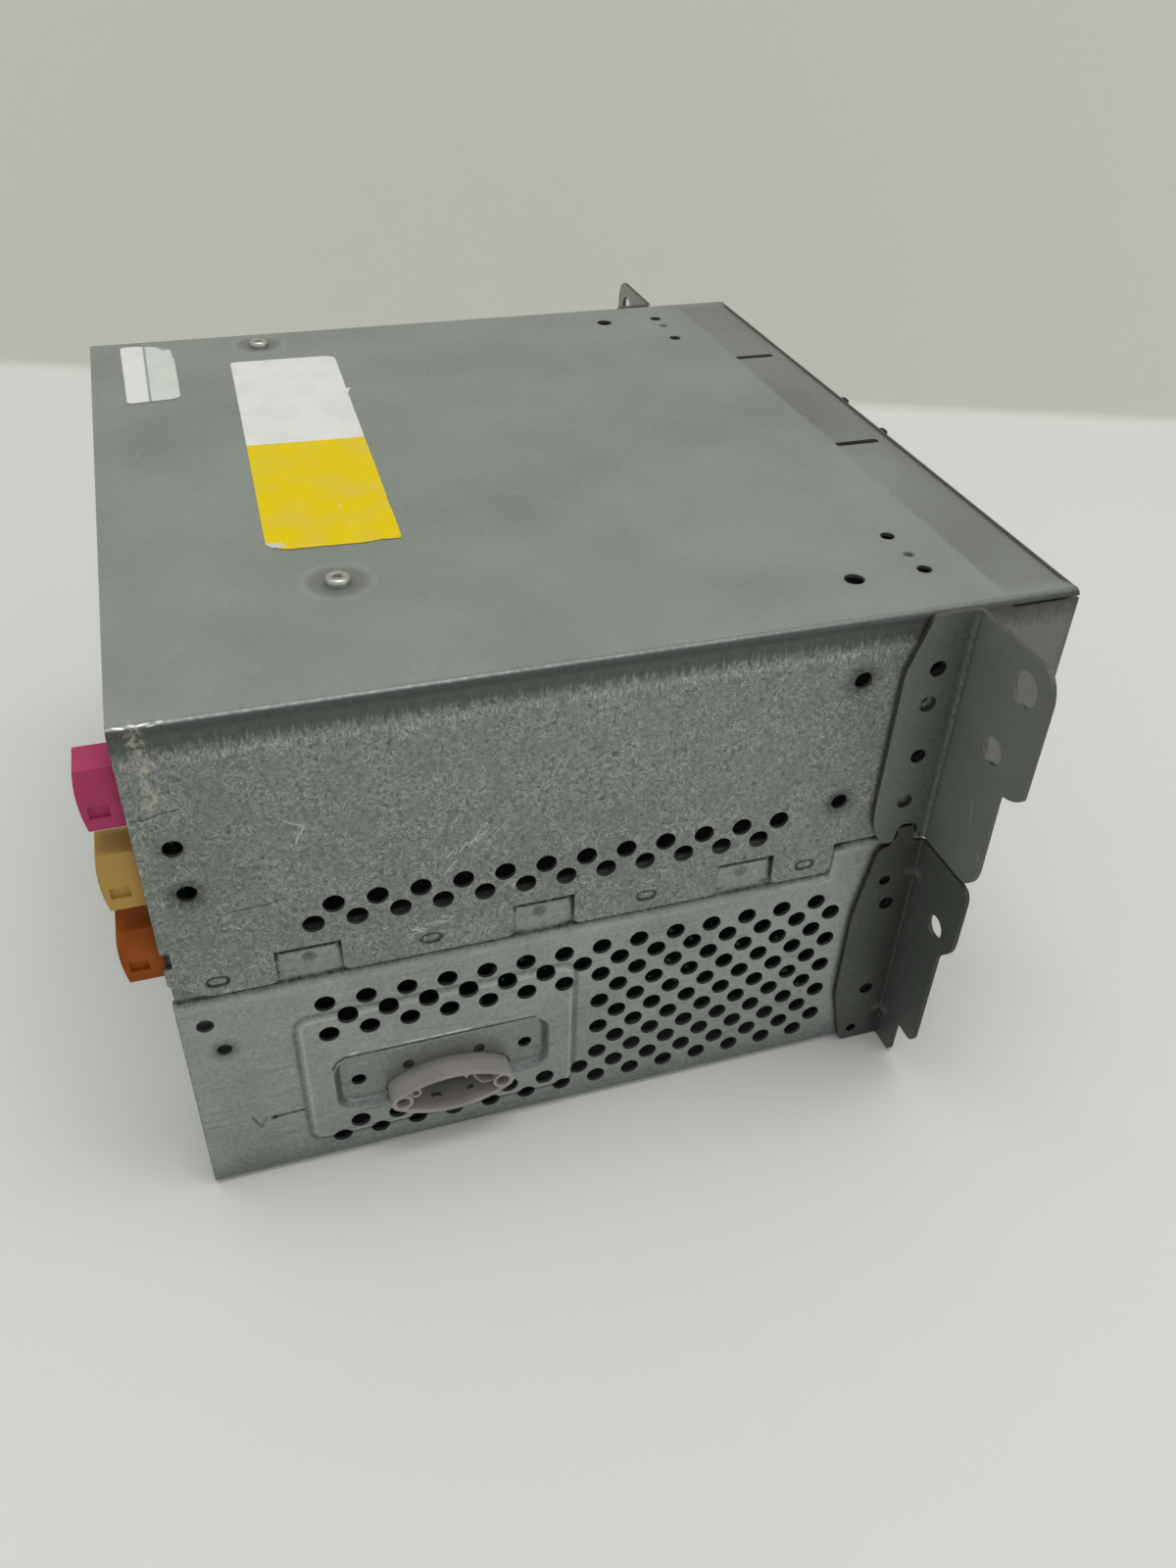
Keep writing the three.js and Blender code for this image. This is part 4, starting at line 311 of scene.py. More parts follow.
def turned(axis, centre, profile, sides, lobes=None):
    """A profile of (radius, height) pairs turned about Z, or about Y if axis is "y"; each radius may swell
    by its own share of cos 6t. The ends are closed at their poles."""
    profile = np.array(profile, float)
    turn = np.arange(sides) * 2 * np.pi / sides
    swell = np.zeros(len(profile)) if lobes is None else np.array(lobes)
    radius = profile[:, :1] * (1 + swell[:, None] * np.cos(6 * turn))
    height = np.broadcast_to(profile[:, 1:], radius.shape)
    points = np.stack([radius * np.cos(turn), radius * np.sin(turn), height], -1).reshape(-1, 3)
    k, n = len(profile), sides
    i, j = np.meshgrid(np.arange(k - 1), np.arange(n), indexing="ij")
    a, b = i * n + j, i * n + (j + 1) % n
    quads = np.stack([a, b, b + n, a + n], -1).reshape(-1, 4)
    poles = np.array([[0, 0, profile[0, 1]], [0, 0, profile[-1, 1]]])
    points = np.vstack([points, poles])
    ring0, ring1 = np.arange(n), (k - 1) * n + np.arange(n)
    caps = [np.column_stack([np.roll(ring0, -1), ring0, np.full(n, k * n)]),
            np.column_stack([ring1, np.roll(ring1, -1), np.full(n, k * n + 1)])]
    faces = [*quads.tolist(), *caps[0].tolist(), *caps[1].tolist()]
    area = (profile[:-1, 0] + profile[1:, 0]) * (profile[1:, 1] - profile[:-1, 1])
    if area.sum() < 0:
        faces = [face[::-1] for face in faces]
    if axis == "y":
        points = points[:, (0, 2, 1)]
        faces = [face[::-1] for face in faces]
    return points + np.array(centre), faces, np.zeros(len(faces))


def softened(name, node, width, finish, body):
    """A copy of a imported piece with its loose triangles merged, flat faces joined and edges rounded."""
    mesh = NODES[node].data.copy()
    mesh.name = name
    work = bmesh.new()
    work.from_mesh(mesh)
    bmesh.ops.remove_doubles(work, verts=work.verts, dist=2e-6)
    bmesh.ops.dissolve_limit(work, angle_limit=math.radians(1.5), verts=work.verts, edges=work.edges)
    work.to_mesh(mesh)
    work.free()
    mesh.materials.clear()
    mesh.materials.append(finish)
    mesh.polygons.foreach_set("material_index", np.zeros(len(mesh.polygons), np.int32))
    piece = shown(name, mesh, 40.0)
    round_off(piece, width)
    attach(piece, body)
    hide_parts(node)


def round_off(piece, width, segments=2, angle=40.0):
    """Rounds every edge sharper than the angle, as moulding or tumbling leaves it."""
    bevel = piece.modifiers.new("rounded edges", "BEVEL")
    bevel.width = width * MM
    bevel.segments = segments
    bevel.limit_method = "ANGLE"
    bevel.angle_limit = math.radians(angle)
    bevel.miter_outer = "MITER_ARC"


# Materials

# the tone of dirt and painted shade, and the tone of rubbed metal and painted highlights
DIRT_AND_SHADE, RUBBED_AND_HIGHLIGHT = "#23261f", "#d3d4cb"


def fill(tree, node, inputs):
    """Fills inputs of a node: another node's first output in use or a socket is linked, an sRGB hex code
    is turned linear, and any other value is written."""
    for key, value in dict(inputs).items():
        if isinstance(value, bpy.types.Node):
            value = next(output for output in value.outputs if output.enabled)
        if isinstance(value, bpy.types.NodeSocket):
            tree.links.new(value, node.inputs[key])
        else:
            node.inputs[key].default_value = linear(value) if isinstance(value, str) else value


def add(tree, kind, inputs=(), **settings):
    """Adds one node, makes its settings and fills its inputs."""
    node = tree.nodes.new(kind)
    for name, value in settings.items():
        setattr(node, name, value)
    fill(tree, node, inputs)
    return node


def new_material(name, **constants):
    """An empty material with one shader; constants go on the shader's own sockets. Also returns the
    object coordinates in millimetres."""
    made = bpy.data.materials.new(name)
    made.use_nodes = True
    tree = made.node_tree
    tree.nodes.clear()
    shader = add(tree, "ShaderNodeBsdfPrincipled", {k.replace("_", " "): v for k, v in constants.items()})
    add(tree, "ShaderNodeOutputMaterial", {"Surface": shader})
    place = add(tree, "ShaderNodeTexCoord").outputs["Object"]
    place = add(tree, "ShaderNodeVectorMath", {0: place, "Scale": 1 / MM}, operation="SCALE")
    return made, tree, shader, place


def zinc_sheet(name, base, dark, light, spangle, cloud, roughness, drawn=0.0, extra=None):
    """Hot-dip galvanised steel sheet, skin passed and dulled by age. To the eye: a satin grey metal with
    faint clouds some 25 mm wide, a grain of 1.1 mm, and on the sides thin curly bright crystal edges and dark
    specks. Drawn sheet has streaks 0.7 mm by 16 mm along it. A value a point of the mesh darkens it with dirt
    and painted shade in corners and brightens it where it is rubbed and with painted highlights. extra adds
    the marks of one piece."""
    made, tree, shader, place = new_material(name, Metallic=0.72)
    clouds = add(tree, "ShaderNodeTexNoise", {"Vector": place, "Scale": 1 / 25, "Detail": 3.0,
                                              "Roughness": 0.6})
    grain = add(tree, "ShaderNodeTexNoise", {"Vector": place, "Scale": 1 / 1.1, "Detail": 3.0,
                                             "Roughness": 0.7})
    cloudy = add(tree, "ShaderNodeMapRange", {"Value": clouds, 1: 0.34, 2: 0.66, 3: 0.0, 4: cloud})
    colour = add(tree, "ShaderNodeMix", {0: cloudy, 6: base, 7: dark}, data_type="RGBA")
    grained = add(tree, "ShaderNodeMapRange", {"Value": grain, 1: 0.36, 2: 0.64, 3: 0.0, 4: 1.0})
    grained = add(tree, "ShaderNodeMath", {0: grained, 1: 0.12 + 0.42 * spangle}, operation="MULTIPLY")
    colour = add(tree, "ShaderNodeMix", {0: grained, 6: colour, 7: dark}, data_type="RGBA")
    # curly crystal edges: the middle value of a 2.3 mm noise draws closed thin lines, in patches of 6 mm
    curl = add(tree, "ShaderNodeTexNoise", {"Vector": place, "Scale": 1 / 2.3, "Detail": 4.0,
                                            "Roughness": 0.62, "Distortion": 1.8})
    middle = add(tree, "ShaderNodeMath", {0: curl, 1: 0.5}, operation="SUBTRACT")
    off = add(tree, "ShaderNodeMath", {0: middle}, operation="ABSOLUTE")
    line = add(tree, "ShaderNodeMapRange", {"Value": off, 1: 0.003, 2: 0.026, 3: 1.0, 4: 0.0})
    patch = add(tree, "ShaderNodeTexNoise", {"Vector": place, "Scale": 1 / 6, "Detail": 3.0,
                                             "Roughness": 0.6})
    patchy = add(tree, "ShaderNodeMapRange", {"Value": patch, 1: 0.36, 2: 0.62, 3: 0.3, 4: 1.0})
    seen = add(tree, "ShaderNodeMath", {0: line, 1: patchy}, operation="MULTIPLY")
    amount = add(tree, "ShaderNodeMath", {0: seen, 1: 1.7 * spangle}, operation="MULTIPLY")
    # dark specks of 1 mm
    speck = add(tree, "ShaderNodeTexNoise", {"Vector": place, "Scale": 1 / 1, "Detail": 3.0,
                                             "Roughness": 0.6})
    specks = add(tree, "ShaderNodeMapRange", {"Value": speck, 1: 0.54, 2: 0.66, 3: 0.0, 4: 1.0})
    specks = add(tree, "ShaderNodeMath", {0: specks, 1: patchy}, operation="MULTIPLY")
    spotted = add(tree, "ShaderNodeMath", {0: specks, 1: 0.12 + 1.05 * spangle}, operation="MULTIPLY")
    colour = add(tree, "ShaderNodeMix", {0: spotted, 6: colour, 7: dark}, data_type="RGBA")
    colour = add(tree, "ShaderNodeMix", {0: amount, 6: colour, 7: light}, data_type="RGBA")
    if drawn:
        stretched = add(tree, "ShaderNodeVectorMath", {0: place, 1: (1 / 0.7, 1 / 16, 1 / 0.7)},
                        operation="MULTIPLY")
        streak = add(tree, "ShaderNodeTexNoise", {"Vector": stretched, "Scale": 1.0, "Detail": 4.0,
                                                  "Roughness": 0.6})
        for low, high, tone in ((0.42, 0.3, dark), (0.62, 0.76, light)):
            share = add(tree, "ShaderNodeMapRange", {"Value": streak, 1: low, 2: high, 3: 0.0, 4: drawn})
            colour = add(tree, "ShaderNodeMix", {0: share, 6: colour, 7: tone}, data_type="RGBA")
    if extra is not None:
        colour = extra(tree, place, colour, (amount, spotted, grained))
    # the mesh's value a point: dirt and painted shade darken it above 0, rubbed metal and painted highlights
    # brighten it below 0, both broken up by the grain
    soil = add(tree, "ShaderNodeAttribute", attribute_name="soil").outputs["Fac"]
    broken = add(tree, "ShaderNodeMapRange", {"Value": grain, 1: 0.3, 2: 0.7, 3: 0.75, 4: 1.15})
    broken = add(tree, "ShaderNodeMath", {0: soil, 1: broken}, operation="MULTIPLY")
    for full, tone in ((1.0, DIRT_AND_SHADE), (-1.0, RUBBED_AND_HIGHLIGHT)):
        share = add(tree, "ShaderNodeMapRange", {"Value": broken, 1: 0.0, 2: full, 3: 0.0, 4: 1.0})
        colour = add(tree, "ShaderNodeMix", {0: share, 6: colour, 7: tone}, data_type="RGBA")
    rough = add(tree, "ShaderNodeMapRange", {"Value": grain, 1: 0.3, 2: 0.7, 3: roughness - 0.06,
                                             4: roughness + 0.08})
    height = add(tree, "ShaderNodeMath", {0: grain, 1: curl}, operation="ADD")
    bump = add(tree, "ShaderNodeBump", {"Height": height, "Strength": 0.1 + 0.25 * spangle,
                                        "Distance": 0.1 * MM})
    fill(tree, shader, {"Base Color": colour, "Roughness": rough, "Normal": bump})
    return made


def cover_wear(light, dark, painted_side_shade):
    """What the cover adds to the sheet: plain satin on the top, painted shade that makes the sides darker
    than the top, a dark band ironed smooth by the folding tool down to 4.5 mm below the top with a ragged
    lower edge, whose part over the fold is painted shade that dims the fold's highlight, a brownish tint
    ahead of the brackets, and a cream rub mark by the rear corner."""
    def build(tree, place, colour, amounts):
        x, y, z = add(tree, "ShaderNodeSeparateXYZ", {0: place}).outputs
        # spangle only below the fold and behind the brackets
        below = add(tree, "ShaderNodeMapRange", {"Value": z, 1: TOP - 3.6, 2: TOP - 1.6, 3: 1.0, 4: 0.1})
        behind = add(tree, "ShaderNodeMapRange", {"Value": y, 1: -70.0, 2: -64.0, 3: 0.15, 4: 1.0})
        rough = add(tree, "ShaderNodeMath", {0: below, 1: behind}, operation="MULTIPLY")
        for amount in amounts:
            full = amount.inputs[1].default_value
            scaled = add(tree, "ShaderNodeMath", {0: rough, 1: full}, operation="MULTIPLY")
            fill(tree, amount, {1: scaled})
        # painted shade: the sides are darker than the top, as they get less of the light from above
        colour = add(tree, "ShaderNodeMix", {0: below, 6: colour, 7: painted_side_shade}, data_type="RGBA",
                     blend_type="MULTIPLY")
        # ragged edge of the band: noise stretched to 0.6 mm by 3.5 mm
        stretch = add(tree, "ShaderNodeVectorMath", {0: place, 1: (1.0, 1 / 0.6, 1 / 3.5)},
                      operation="MULTIPLY")
        comb = add(tree, "ShaderNodeTexNoise", {"Vector": stretch, "Scale": 1.0, "Detail": 3.0})
        edge = add(tree, "ShaderNodeMath", {0: comb, 1: -7.0, 2: TOP - 1.6}, operation="MULTIPLY_ADD")
        over = add(tree, "ShaderNodeMath", {0: z, 1: edge}, operation="SUBTRACT")
        band = add(tree, "ShaderNodeMapRange", {"Value": over, 1: -0.9, 2: 1.3, 3: 0.0, 4: 0.9})
        # where the band runs over the fold, up to 0.03 mm under the top, it is painted shade that dims the
        # fold's highlight
        under = add(tree, "ShaderNodeMapRange", {"Value": z, 1: TOP - 0.5, 2: TOP - 0.03, 3: 1.0, 4: 0.0})
        banded = add(tree, "ShaderNodeMath", {0: band, 1: under}, operation="MULTIPLY")
        colour = add(tree, "ShaderNodeMix", {0: banded, 6: colour, 7: dark}, data_type="RGBA")
        # a few light strokes just under the band
        low = add(tree, "ShaderNodeMath", {0: over, 1: 1.3}, operation="ADD")
        near = add(tree, "ShaderNodeMath", {0: low}, operation="ABSOLUTE")
        strokes = add(tree, "ShaderNodeMapRange", {"Value": near, 1: 0.0, 2: 1.3, 3: 0.5, 4: 0.0})
        fine = add(tree, "ShaderNodeMapRange", {"Value": comb, 1: 0.5, 2: 0.58, 3: 0.0, 4: 1.0})
        for share in (fine, under, behind):
            strokes = add(tree, "ShaderNodeMath", {0: strokes, 1: share}, operation="MULTIPLY")
        colour = add(tree, "ShaderNodeMix", {0: strokes, 6: colour, 7: light}, data_type="RGBA")
        # brownish tint ahead of the brackets
        tint = add(tree, "ShaderNodeMapRange", {"Value": behind, 1: 0.15, 2: 1.0, 3: 0.45, 4: 0.0})
        tint = add(tree, "ShaderNodeMath", {0: tint, 1: below}, operation="MULTIPLY")
        colour = add(tree, "ShaderNodeMix", {0: tint, 6: colour, 7: "#7d7a70"}, data_type="RGBA")
        # cream rub mark, 2 mm wide, from the rear corner 15 mm down
        wander = add(tree, "ShaderNodeTexNoise", {"Vector": place, "Scale": 1 / 3, "Detail": 4.0})
        shift = add(tree, "ShaderNodeMath", {0: wander, 1: 6.5, 2: -86.9}, operation="MULTIPLY_ADD")
        side = add(tree, "ShaderNodeMath", {0: y, 1: shift}, operation="ADD")
        side = add(tree, "ShaderNodeMath", {0: side}, operation="ABSOLUTE")
        mark = add(tree, "ShaderNodeMapRange", {"Value": side, 1: 0.3, 2: 1.3, 3: 1.0, 4: 0.0})
        down = add(tree, "ShaderNodeMapRange", {"Value": z, 1: 97.0, 2: 101.0, 3: 0.0, 4: 1.0})
        left = add(tree, "ShaderNodeMath", {0: x, 1: -87.0}, operation="LESS_THAN")
        flakes = add(tree, "ShaderNodeTexNoise", {"Vector": place, "Scale": 1 / 0.9, "Detail": 4.0})
        spots = add(tree, "ShaderNodeMapRange", {"Value": flakes, 1: 0.44, 2: 0.54, 3: 0.05, 4: 0.8})
        for share in (down, left, spots):
            mark = add(tree, "ShaderNodeMath", {0: mark, 1: share}, operation="MULTIPLY")
        return add(tree, "ShaderNodeMix", {0: mark, 6: colour, 7: "#b8b3a4"}, data_type="RGBA")
    return build


def cut_edge():
    """Sheared edge of zinc-coated sheet: bright bare steel, slightly torn across its 0.8 mm."""
    made, tree, shader, place = new_material("sheared steel edge", Metallic=0.85, Roughness=0.42)
    torn = add(tree, "ShaderNodeTexNoise", {"Vector": place, "Scale": 1 / 0.6, "Detail": 3.0})
    colour = add(tree, "ShaderNodeMix", {0: torn, 6: "#5d605b", 7: "#a3a69f"}, data_type="RGBA")
    fill(tree, shader, {"Base Color": colour})
    return made


def moulded(name, colour, worn, roughness=0.5, skin=0.225, strength=0.12):
    """Injection-moulded plastic (PBT, polyamide or ABS) or rubber: one colour all through, a spark-eroded
    skin of `skin` millimetres with a weak shine, and clouds of 6 mm where it is paler or dirtier."""
    made, tree, shader, place = new_material(name, Specular_IOR_Level=0.15)
    cloud = add(tree, "ShaderNodeTexNoise", {"Vector": place, "Scale": 1 / 6, "Detail": 3.0})
    pale = add(tree, "ShaderNodeMapRange", {"Value": cloud, 1: 0.4, 2: 0.7, 3: 0.0, 4: 0.5})
    mixed = add(tree, "ShaderNodeMix", {0: pale, 6: colour, 7: worn}, data_type="RGBA")
    eroded = add(tree, "ShaderNodeTexNoise", {"Vector": place, "Scale": 1 / skin, "Detail": 2.0})
    rough = add(tree, "ShaderNodeMapRange", {"Value": eroded, 3: roughness - 0.08, 4: roughness + 0.08})
    bump = add(tree, "ShaderNodeBump", {"Height": eroded, "Strength": strength, "Distance": 0.1 * MM})
    fill(tree, shader, {"Base Color": mixed, "Roughness": rough, "Normal": bump})
    return made


def bare_metal(name, colour, dark, roughness, lay=(1.0, 1.0, 1.0), per_mm=1.2):
    """Bare or plated metal with fine marks, so many to a millimetre; lay stretches them along the way it
    was drawn, turned or milled."""
    made, tree, shader, place = new_material(name, Metallic=1.0)
    along = add(tree, "ShaderNodeVectorMath", {0: place, 1: lay}, operation="MULTIPLY")
    marks = add(tree, "ShaderNodeTexNoise", {"Vector": along, "Scale": per_mm, "Detail": 4.0,
                                             "Roughness": 0.65})
    mixed = add(tree, "ShaderNodeMix", {0: marks, 6: dark, 7: colour}, data_type="RGBA")
    rough = add(tree, "ShaderNodeMapRange", {"Value": marks, 1: 0.3, 2: 0.7, 3: roughness - 0.07,
                                             4: roughness + 0.1})
    bump = add(tree, "ShaderNodeBump", {"Height": marks, "Strength": 0.1, "Distance": 0.1 * MM})
    fill(tree, shader, {"Base Color": mixed, "Roughness": rough, "Normal": bump})
    return made


def circuit_board():
    """FR4 board under green solder mask: darker tracks 0.6 mm wide show through the lacquer, with bright
    pads 1.2 mm across."""
    made, tree, shader, place = new_material("solder-masked FR4 board", Roughness=0.35, Coat_Weight=0.4)
    tracks = add(tree, "ShaderNodeTexBrick", {"Vector": place, "Scale": 0.11, "Mortar Size": 0.035,
                                              "Color1": "#163c28", "Color2": "#123423",
                                              "Mortar": "#1f5438"}, offset=0.37)
    spots = add(tree, "ShaderNodeTexVoronoi", {"Vector": place, "Scale": 0.32})
    pad = add(tree, "ShaderNodeMath", {0: spots, 1: 0.2}, operation="LESS_THAN")
    mixed = add(tree, "ShaderNodeMix", {0: pad, 6: tracks, 7: "#a8aaa2"}, data_type="RGBA")
    fill(tree, shader, {"Base Color": mixed})
    return made


def paper_label(name, plain, torn, way, border, fold, corner, reach):
    """Printed label stock with all print left off: coated paper in two colours that meet where the place
    along `way` equals `border`, with a dark fold there if asked; scuffed, with the core showing where the
    face has rubbed off, and torn within `reach` of one corner."""
    made, tree, shader, place = new_material(name, Roughness=0.5, Specular_IOR_Level=0.1)
    along = add(tree, "ShaderNodeVectorMath", {0: place, 1: way}, operation="DOT_PRODUCT")
    past = add(tree, "ShaderNodeMath", {0: along, 1: border}, operation="SUBTRACT")
    wave = add(tree, "ShaderNodeTexNoise", {"Vector": place, "Scale": 1 / 2.2, "Detail": 5.0,
                                            "Roughness": 0.65})
    field = add(tree, "ShaderNodeMath", {0: past, 1: 0.0}, operation="LESS_THAN")
    face = add(tree, "ShaderNodeMix", {0: field, 6: plain[0], 7: plain[1]}, data_type="RGBA")
    # dark fold 0.5 mm to each side
    near = add(tree, "ShaderNodeMath", {0: past}, operation="ABSOLUTE")
    folded = add(tree, "ShaderNodeMapRange", {"Value": near, 1: 0.1, 2: 0.5, 3: fold, 4: 0.0})
    face = add(tree, "ShaderNodeMix", {0: folded, 6: face, 7: "#6f736c"}, data_type="RGBA")
    # scuffs of 1 mm, and the torn corner with a ragged border
    scuff = add(tree, "ShaderNodeMapRange", {"Value": wave, 1: 0.67, 2: 0.69, 3: 0.0, 4: 0.85})
    face = add(tree, "ShaderNodeMix", {0: scuff, 6: face, 7: torn}, data_type="RGBA")
    away = add(tree, "ShaderNodeVectorMath", {0: place, 1: corner}, operation="DISTANCE")
    ragged = add(tree, "ShaderNodeMath", {0: wave, 1: 14.0, 2: away}, operation="MULTIPLY_ADD")
    bare = add(tree, "ShaderNodeMath", {0: ragged, 1: reach + 7.0}, operation="LESS_THAN")
    face = add(tree, "ShaderNodeMix", {0: bare, 6: face, 7: torn}, data_type="RGBA")
    # grey handling dirt in clouds of 9 mm
    toning = add(tree, "ShaderNodeTexNoise", {"Vector": place, "Scale": 1 / 9, "Detail": 4.0})
    grey = add(tree, "ShaderNodeMapRange", {"Value": toning, 1: 0.45, 2: 0.8, 3: 0.0, 4: 0.22})
    face = add(tree, "ShaderNodeMix", {0: grey, 6: face, 7: "#9b9a90"}, data_type="RGBA")
    bump = add(tree, "ShaderNodeBump", {"Height": wave, "Strength": 0.2, "Distance": 0.08 * MM})
    fill(tree, shader, {"Base Color": face, "Normal": bump})
    return made


MATERIALS = {}


def material(name):
    """Each finish is made once, when a piece first asks for it."""
    if name in MATERIALS:
        return MATERIALS[name]
    look = bpy.context.scene.computer_finishes
    tone = {key: to_code(getattr(look, key)) for key in ComputerFinishes.__annotations__}
    shade, bright, white = tone["zinc_shade"], tone["zinc_light"], tone["label_white"]
    makers = {
        "cover": lambda: zinc_sheet("skin-passed galvanised sheet, cover", tone["cover"], shade, bright,
                                    0.85, 0.2, 0.42, 0.0,
                                    cover_wear(bright, tone["zinc_band"], tone["cover_side"])),
        "housing": lambda: zinc_sheet("skin-passed galvanised sheet, housing", tone["zinc"], shade, bright,
                                      0.22, 0.35, 0.4, 0.45),
        "bracket": lambda: zinc_sheet("galvanised bracket sheet", tone["bracket"], tone["bracket_shade"],
                                      bright, 0.06, 0.5, 0.44),
        # the lower brackets' sheet and its edges are darker than the upper ones'
        "low bracket": lambda: zinc_sheet("oiled galvanised bracket sheet", tone["low_bracket"],
                                          tone["low_bracket_shade"], bright, 0.06, 0.6, 0.5),
        "inner": lambda: zinc_sheet("galvanised inner sheet", "#5f635e", "#464944", bright, 0.1, 0.4, 0.45),
        "edge": cut_edge,
        "worn edge": lambda: bare_metal("sheared edge, worn", "#7c7b72", "#4c4c46", 0.5, per_mm=1.6),
        "low edge": lambda: bare_metal("sheared edge, browned", "#5f5e57", "#363631", 0.5, per_mm=1.6),
        "collar": lambda: moulded("moulded grey polyamide", tone["collar"], "#a8a49d", 0.45),
        "pink": lambda: moulded("moulded magenta PBT", tone["pink"], "#a23a68"),
        "beige": lambda: moulded("moulded beige PBT", tone["beige"], "#a88c55"),
        "orange": lambda: moulded("moulded orange PBT", tone["orange"], "#a8571c"),
        "black": lambda: moulded("moulded black ABS", "#1b1c1d", "#2a2b2c", 0.48),
        "white": lambda: moulded("moulded natural PBT", "#ddd9cb", "#e9e6dc", 0.45),
        "screw": lambda: bare_metal("zinc-plated screw steel", "#d4d6d0", "#a9ada5", 0.32),
        "bright": lambda: bare_metal("ground bright steel", "#a5a8a8", "#7b7f7f", 0.32, (0.2, 1.0, 1.0), 2.5),
        "aluminium": lambda: bare_metal("milled aluminium", "#b4b6b7", "#909394", 0.4, (1.0, 0.15, 1.0),
                                        2.0),
        "copper": lambda: bare_metal("enamelled copper wire", "#b9773d", "#7d4622", 0.35, (1.0, 1.0, 6.0),
                                     0.9),
        "brass": lambda: bare_metal("turned brass", "#cda650", "#9c7a32", 0.3, per_mm=2.0),
        "rubber": lambda: moulded("moulded nitrile rubber", "#242427", "#303034", 0.8, 0.15, 0.2),
        "film": lambda: moulded("polyester ribbon", "#c9ccd0", "#dfe1e4", 0.4),
        "board": circuit_board,
        "label": lambda: paper_label("worn coated label paper", (white, tone["label_yellow"]), "#c9c9c2",
                                     (1.0, -0.05, 0.0), 11.96, 0.0, (-36.5, 57.5, TOP), 3.0),
        "small label": lambda: paper_label("worn white label paper", (white, "#c9d0c9"), "#9a948a",
                                           (0.0, 1.0, 0.0), 74.75, 0.7, (83.5, 67.0, TOP), 3.5),
    }
    MATERIALS[name] = makers[name]()
    return MATERIALS[name]


def to_code(colour):
    """A linear colour property as an sRGB hex code: the inverse of linear()."""
    c = np.array(colour[:3])
    c = np.where(c <= 0.0031308, c * 12.92, 1.055 * np.maximum(c, 1e-9) ** (1 / 2.4) - 0.055)
    return "#" + "".join(f"{int(round(float(x) * 255)):02x}" for x in c)


# Folded sheets

SCRATCH = 0.22


def fold_over(flat, bend, depth, down):
    """A sheet folded down both sides. s runs across it from the middle: flat as far as `flat`, then round a
    quarter circle of radius `bend`, then straight along the side. v is y. depth(x, y, z, on_side) pushes
    the skin out along its normal, and None leaves it plain. With down=-1 the sides run up from the floor
    instead."""
    quarter = bend * np.pi / 2

    def place(s, v):
        """The bent place and the outward normal of each flat point."""
        side, a = np.where(s < 0, -1.0, 1.0), np.abs(s)
        turn = np.clip(a - flat, 0, quarter) / bend
        beyond = np.maximum(a - flat - quarter, 0)
        x = side * (np.minimum(a, flat) + bend * np.sin(turn))
        fall = bend * (1 - np.cos(turn)) + beyond
        z = TOP - fall if down > 0 else fall
        normal = np.column_stack([side * np.sin(turn), np.zeros(len(s)), down * np.cos(turn)])
        push = np.zeros(len(s)) if depth is None else depth(x, v, z, beyond > 0)
        return np.column_stack([x, v, z]) + normal * push[:, None], normal
    return place


def on_side(points, side, flat, bend, down):
    """Points (y, z) of a side wall as (s, v) of the flat sheet."""
    points = np.asarray(points, float)
    rise = (TOP - points[:, 1]) if down > 0 else points[:, 1]
    return np.column_stack([side * (flat + bend * (np.pi / 2 - 1) + rise), points[:, 0]])


def dirt_wear_and_painted_light_at(flat_points, flat, bend, down, soil):
    """The dirt, wear and painted light of each front point, from its place before pressing, as the given
    function of (x, y, z, on_side) reckons it.
    """
    s, v = flat_points.T
    x, y, z = fold_over(flat, bend, None, down)(s, v)[0].T
    return soil(x, y, z, np.abs(s) > flat + bend * np.pi / 2)


def scratches(paths, width=SCRATCH):
    """Each straight piece of each path as a line and a thin closed loop round it, so that the mesh has
    points to carry its soil."""
    pieces = [(a, b) for path in paths for a, b in zip(path[:-1], path[1:])]
    return [obround(a, b, width, 3) for a, b in pieces], [[a, b] for a, b in pieces]


def feathered(path, way, count):
    """Short strokes laid along a path, as many as count, which is the seed too: each 0.5 to 1.6 times as
    long as `way`, a little shifted and turned."""
    chance = np.random.default_rng(count)
    path = np.asarray(path, float)
    run = np.r_[0, np.cumsum(np.linalg.norm(np.diff(path, axis=0), axis=1))]
    where = chance.uniform(0, run[-1], count)
    middle = np.column_stack([np.interp(where, run, path[:, k]) for k in (0, 1)])
    middle = middle + chance.normal(0, 0.35, (count, 2))
    half = np.array(way) * chance.uniform(0.25, 0.8, (count, 1)) + chance.normal(0, 0.25, (count, 2))
    return [[tuple(m - h), tuple(m + h)] for m, h in zip(middle, half)]


def stroke(u, v, paths, width=SCRATCH):
    """1 on a scratch, falling to 0 at its width."""
    return np.clip(sum(1 - ease(to_path(u, v, path) / width) for path in paths), 0, 1)


def bump(far, middle, width):
    """1 at the distance `middle`, falling smoothly to 0 at `width` to each side of it."""
    return 1 - ease(np.abs(far - middle) / width)


def ripple(x, y):
    """How far the top's skin stands out of true: a 120 mm wave across it times a 145 mm wave along it,
    and a slanting wave of 70 mm."""
    return 0.07 * np.sin(x / 19 + 0.6) * np.sin(y / 23 + 1.1) + 0.05 * np.sin(x / 11 + y / 31)


def ring_marks(centre, radii):
    """Closed lines round a pressed mark."""
    return [circle(centre, radius, 26) for radius in radii]


def vent_rows():
    """Centres of the cooling holes: two staggered rows in the cover and eleven in the housing."""
    pitch, rise = 8, 4
    upper = [(first + pitch * k, z) for first, z in ((-31.2, 72.0), (-27.2, 68.0)) for k in range(12)]
    lower = [((-43.2 if i % 2 == 0 else -47.2) + pitch * k, 6.8 + rise * i)
             for i, count in enumerate((14, 14, 7, 7, 7, 7, 7, 7, 14, 14, 14)) for k in range(count)]
    return upper, lower


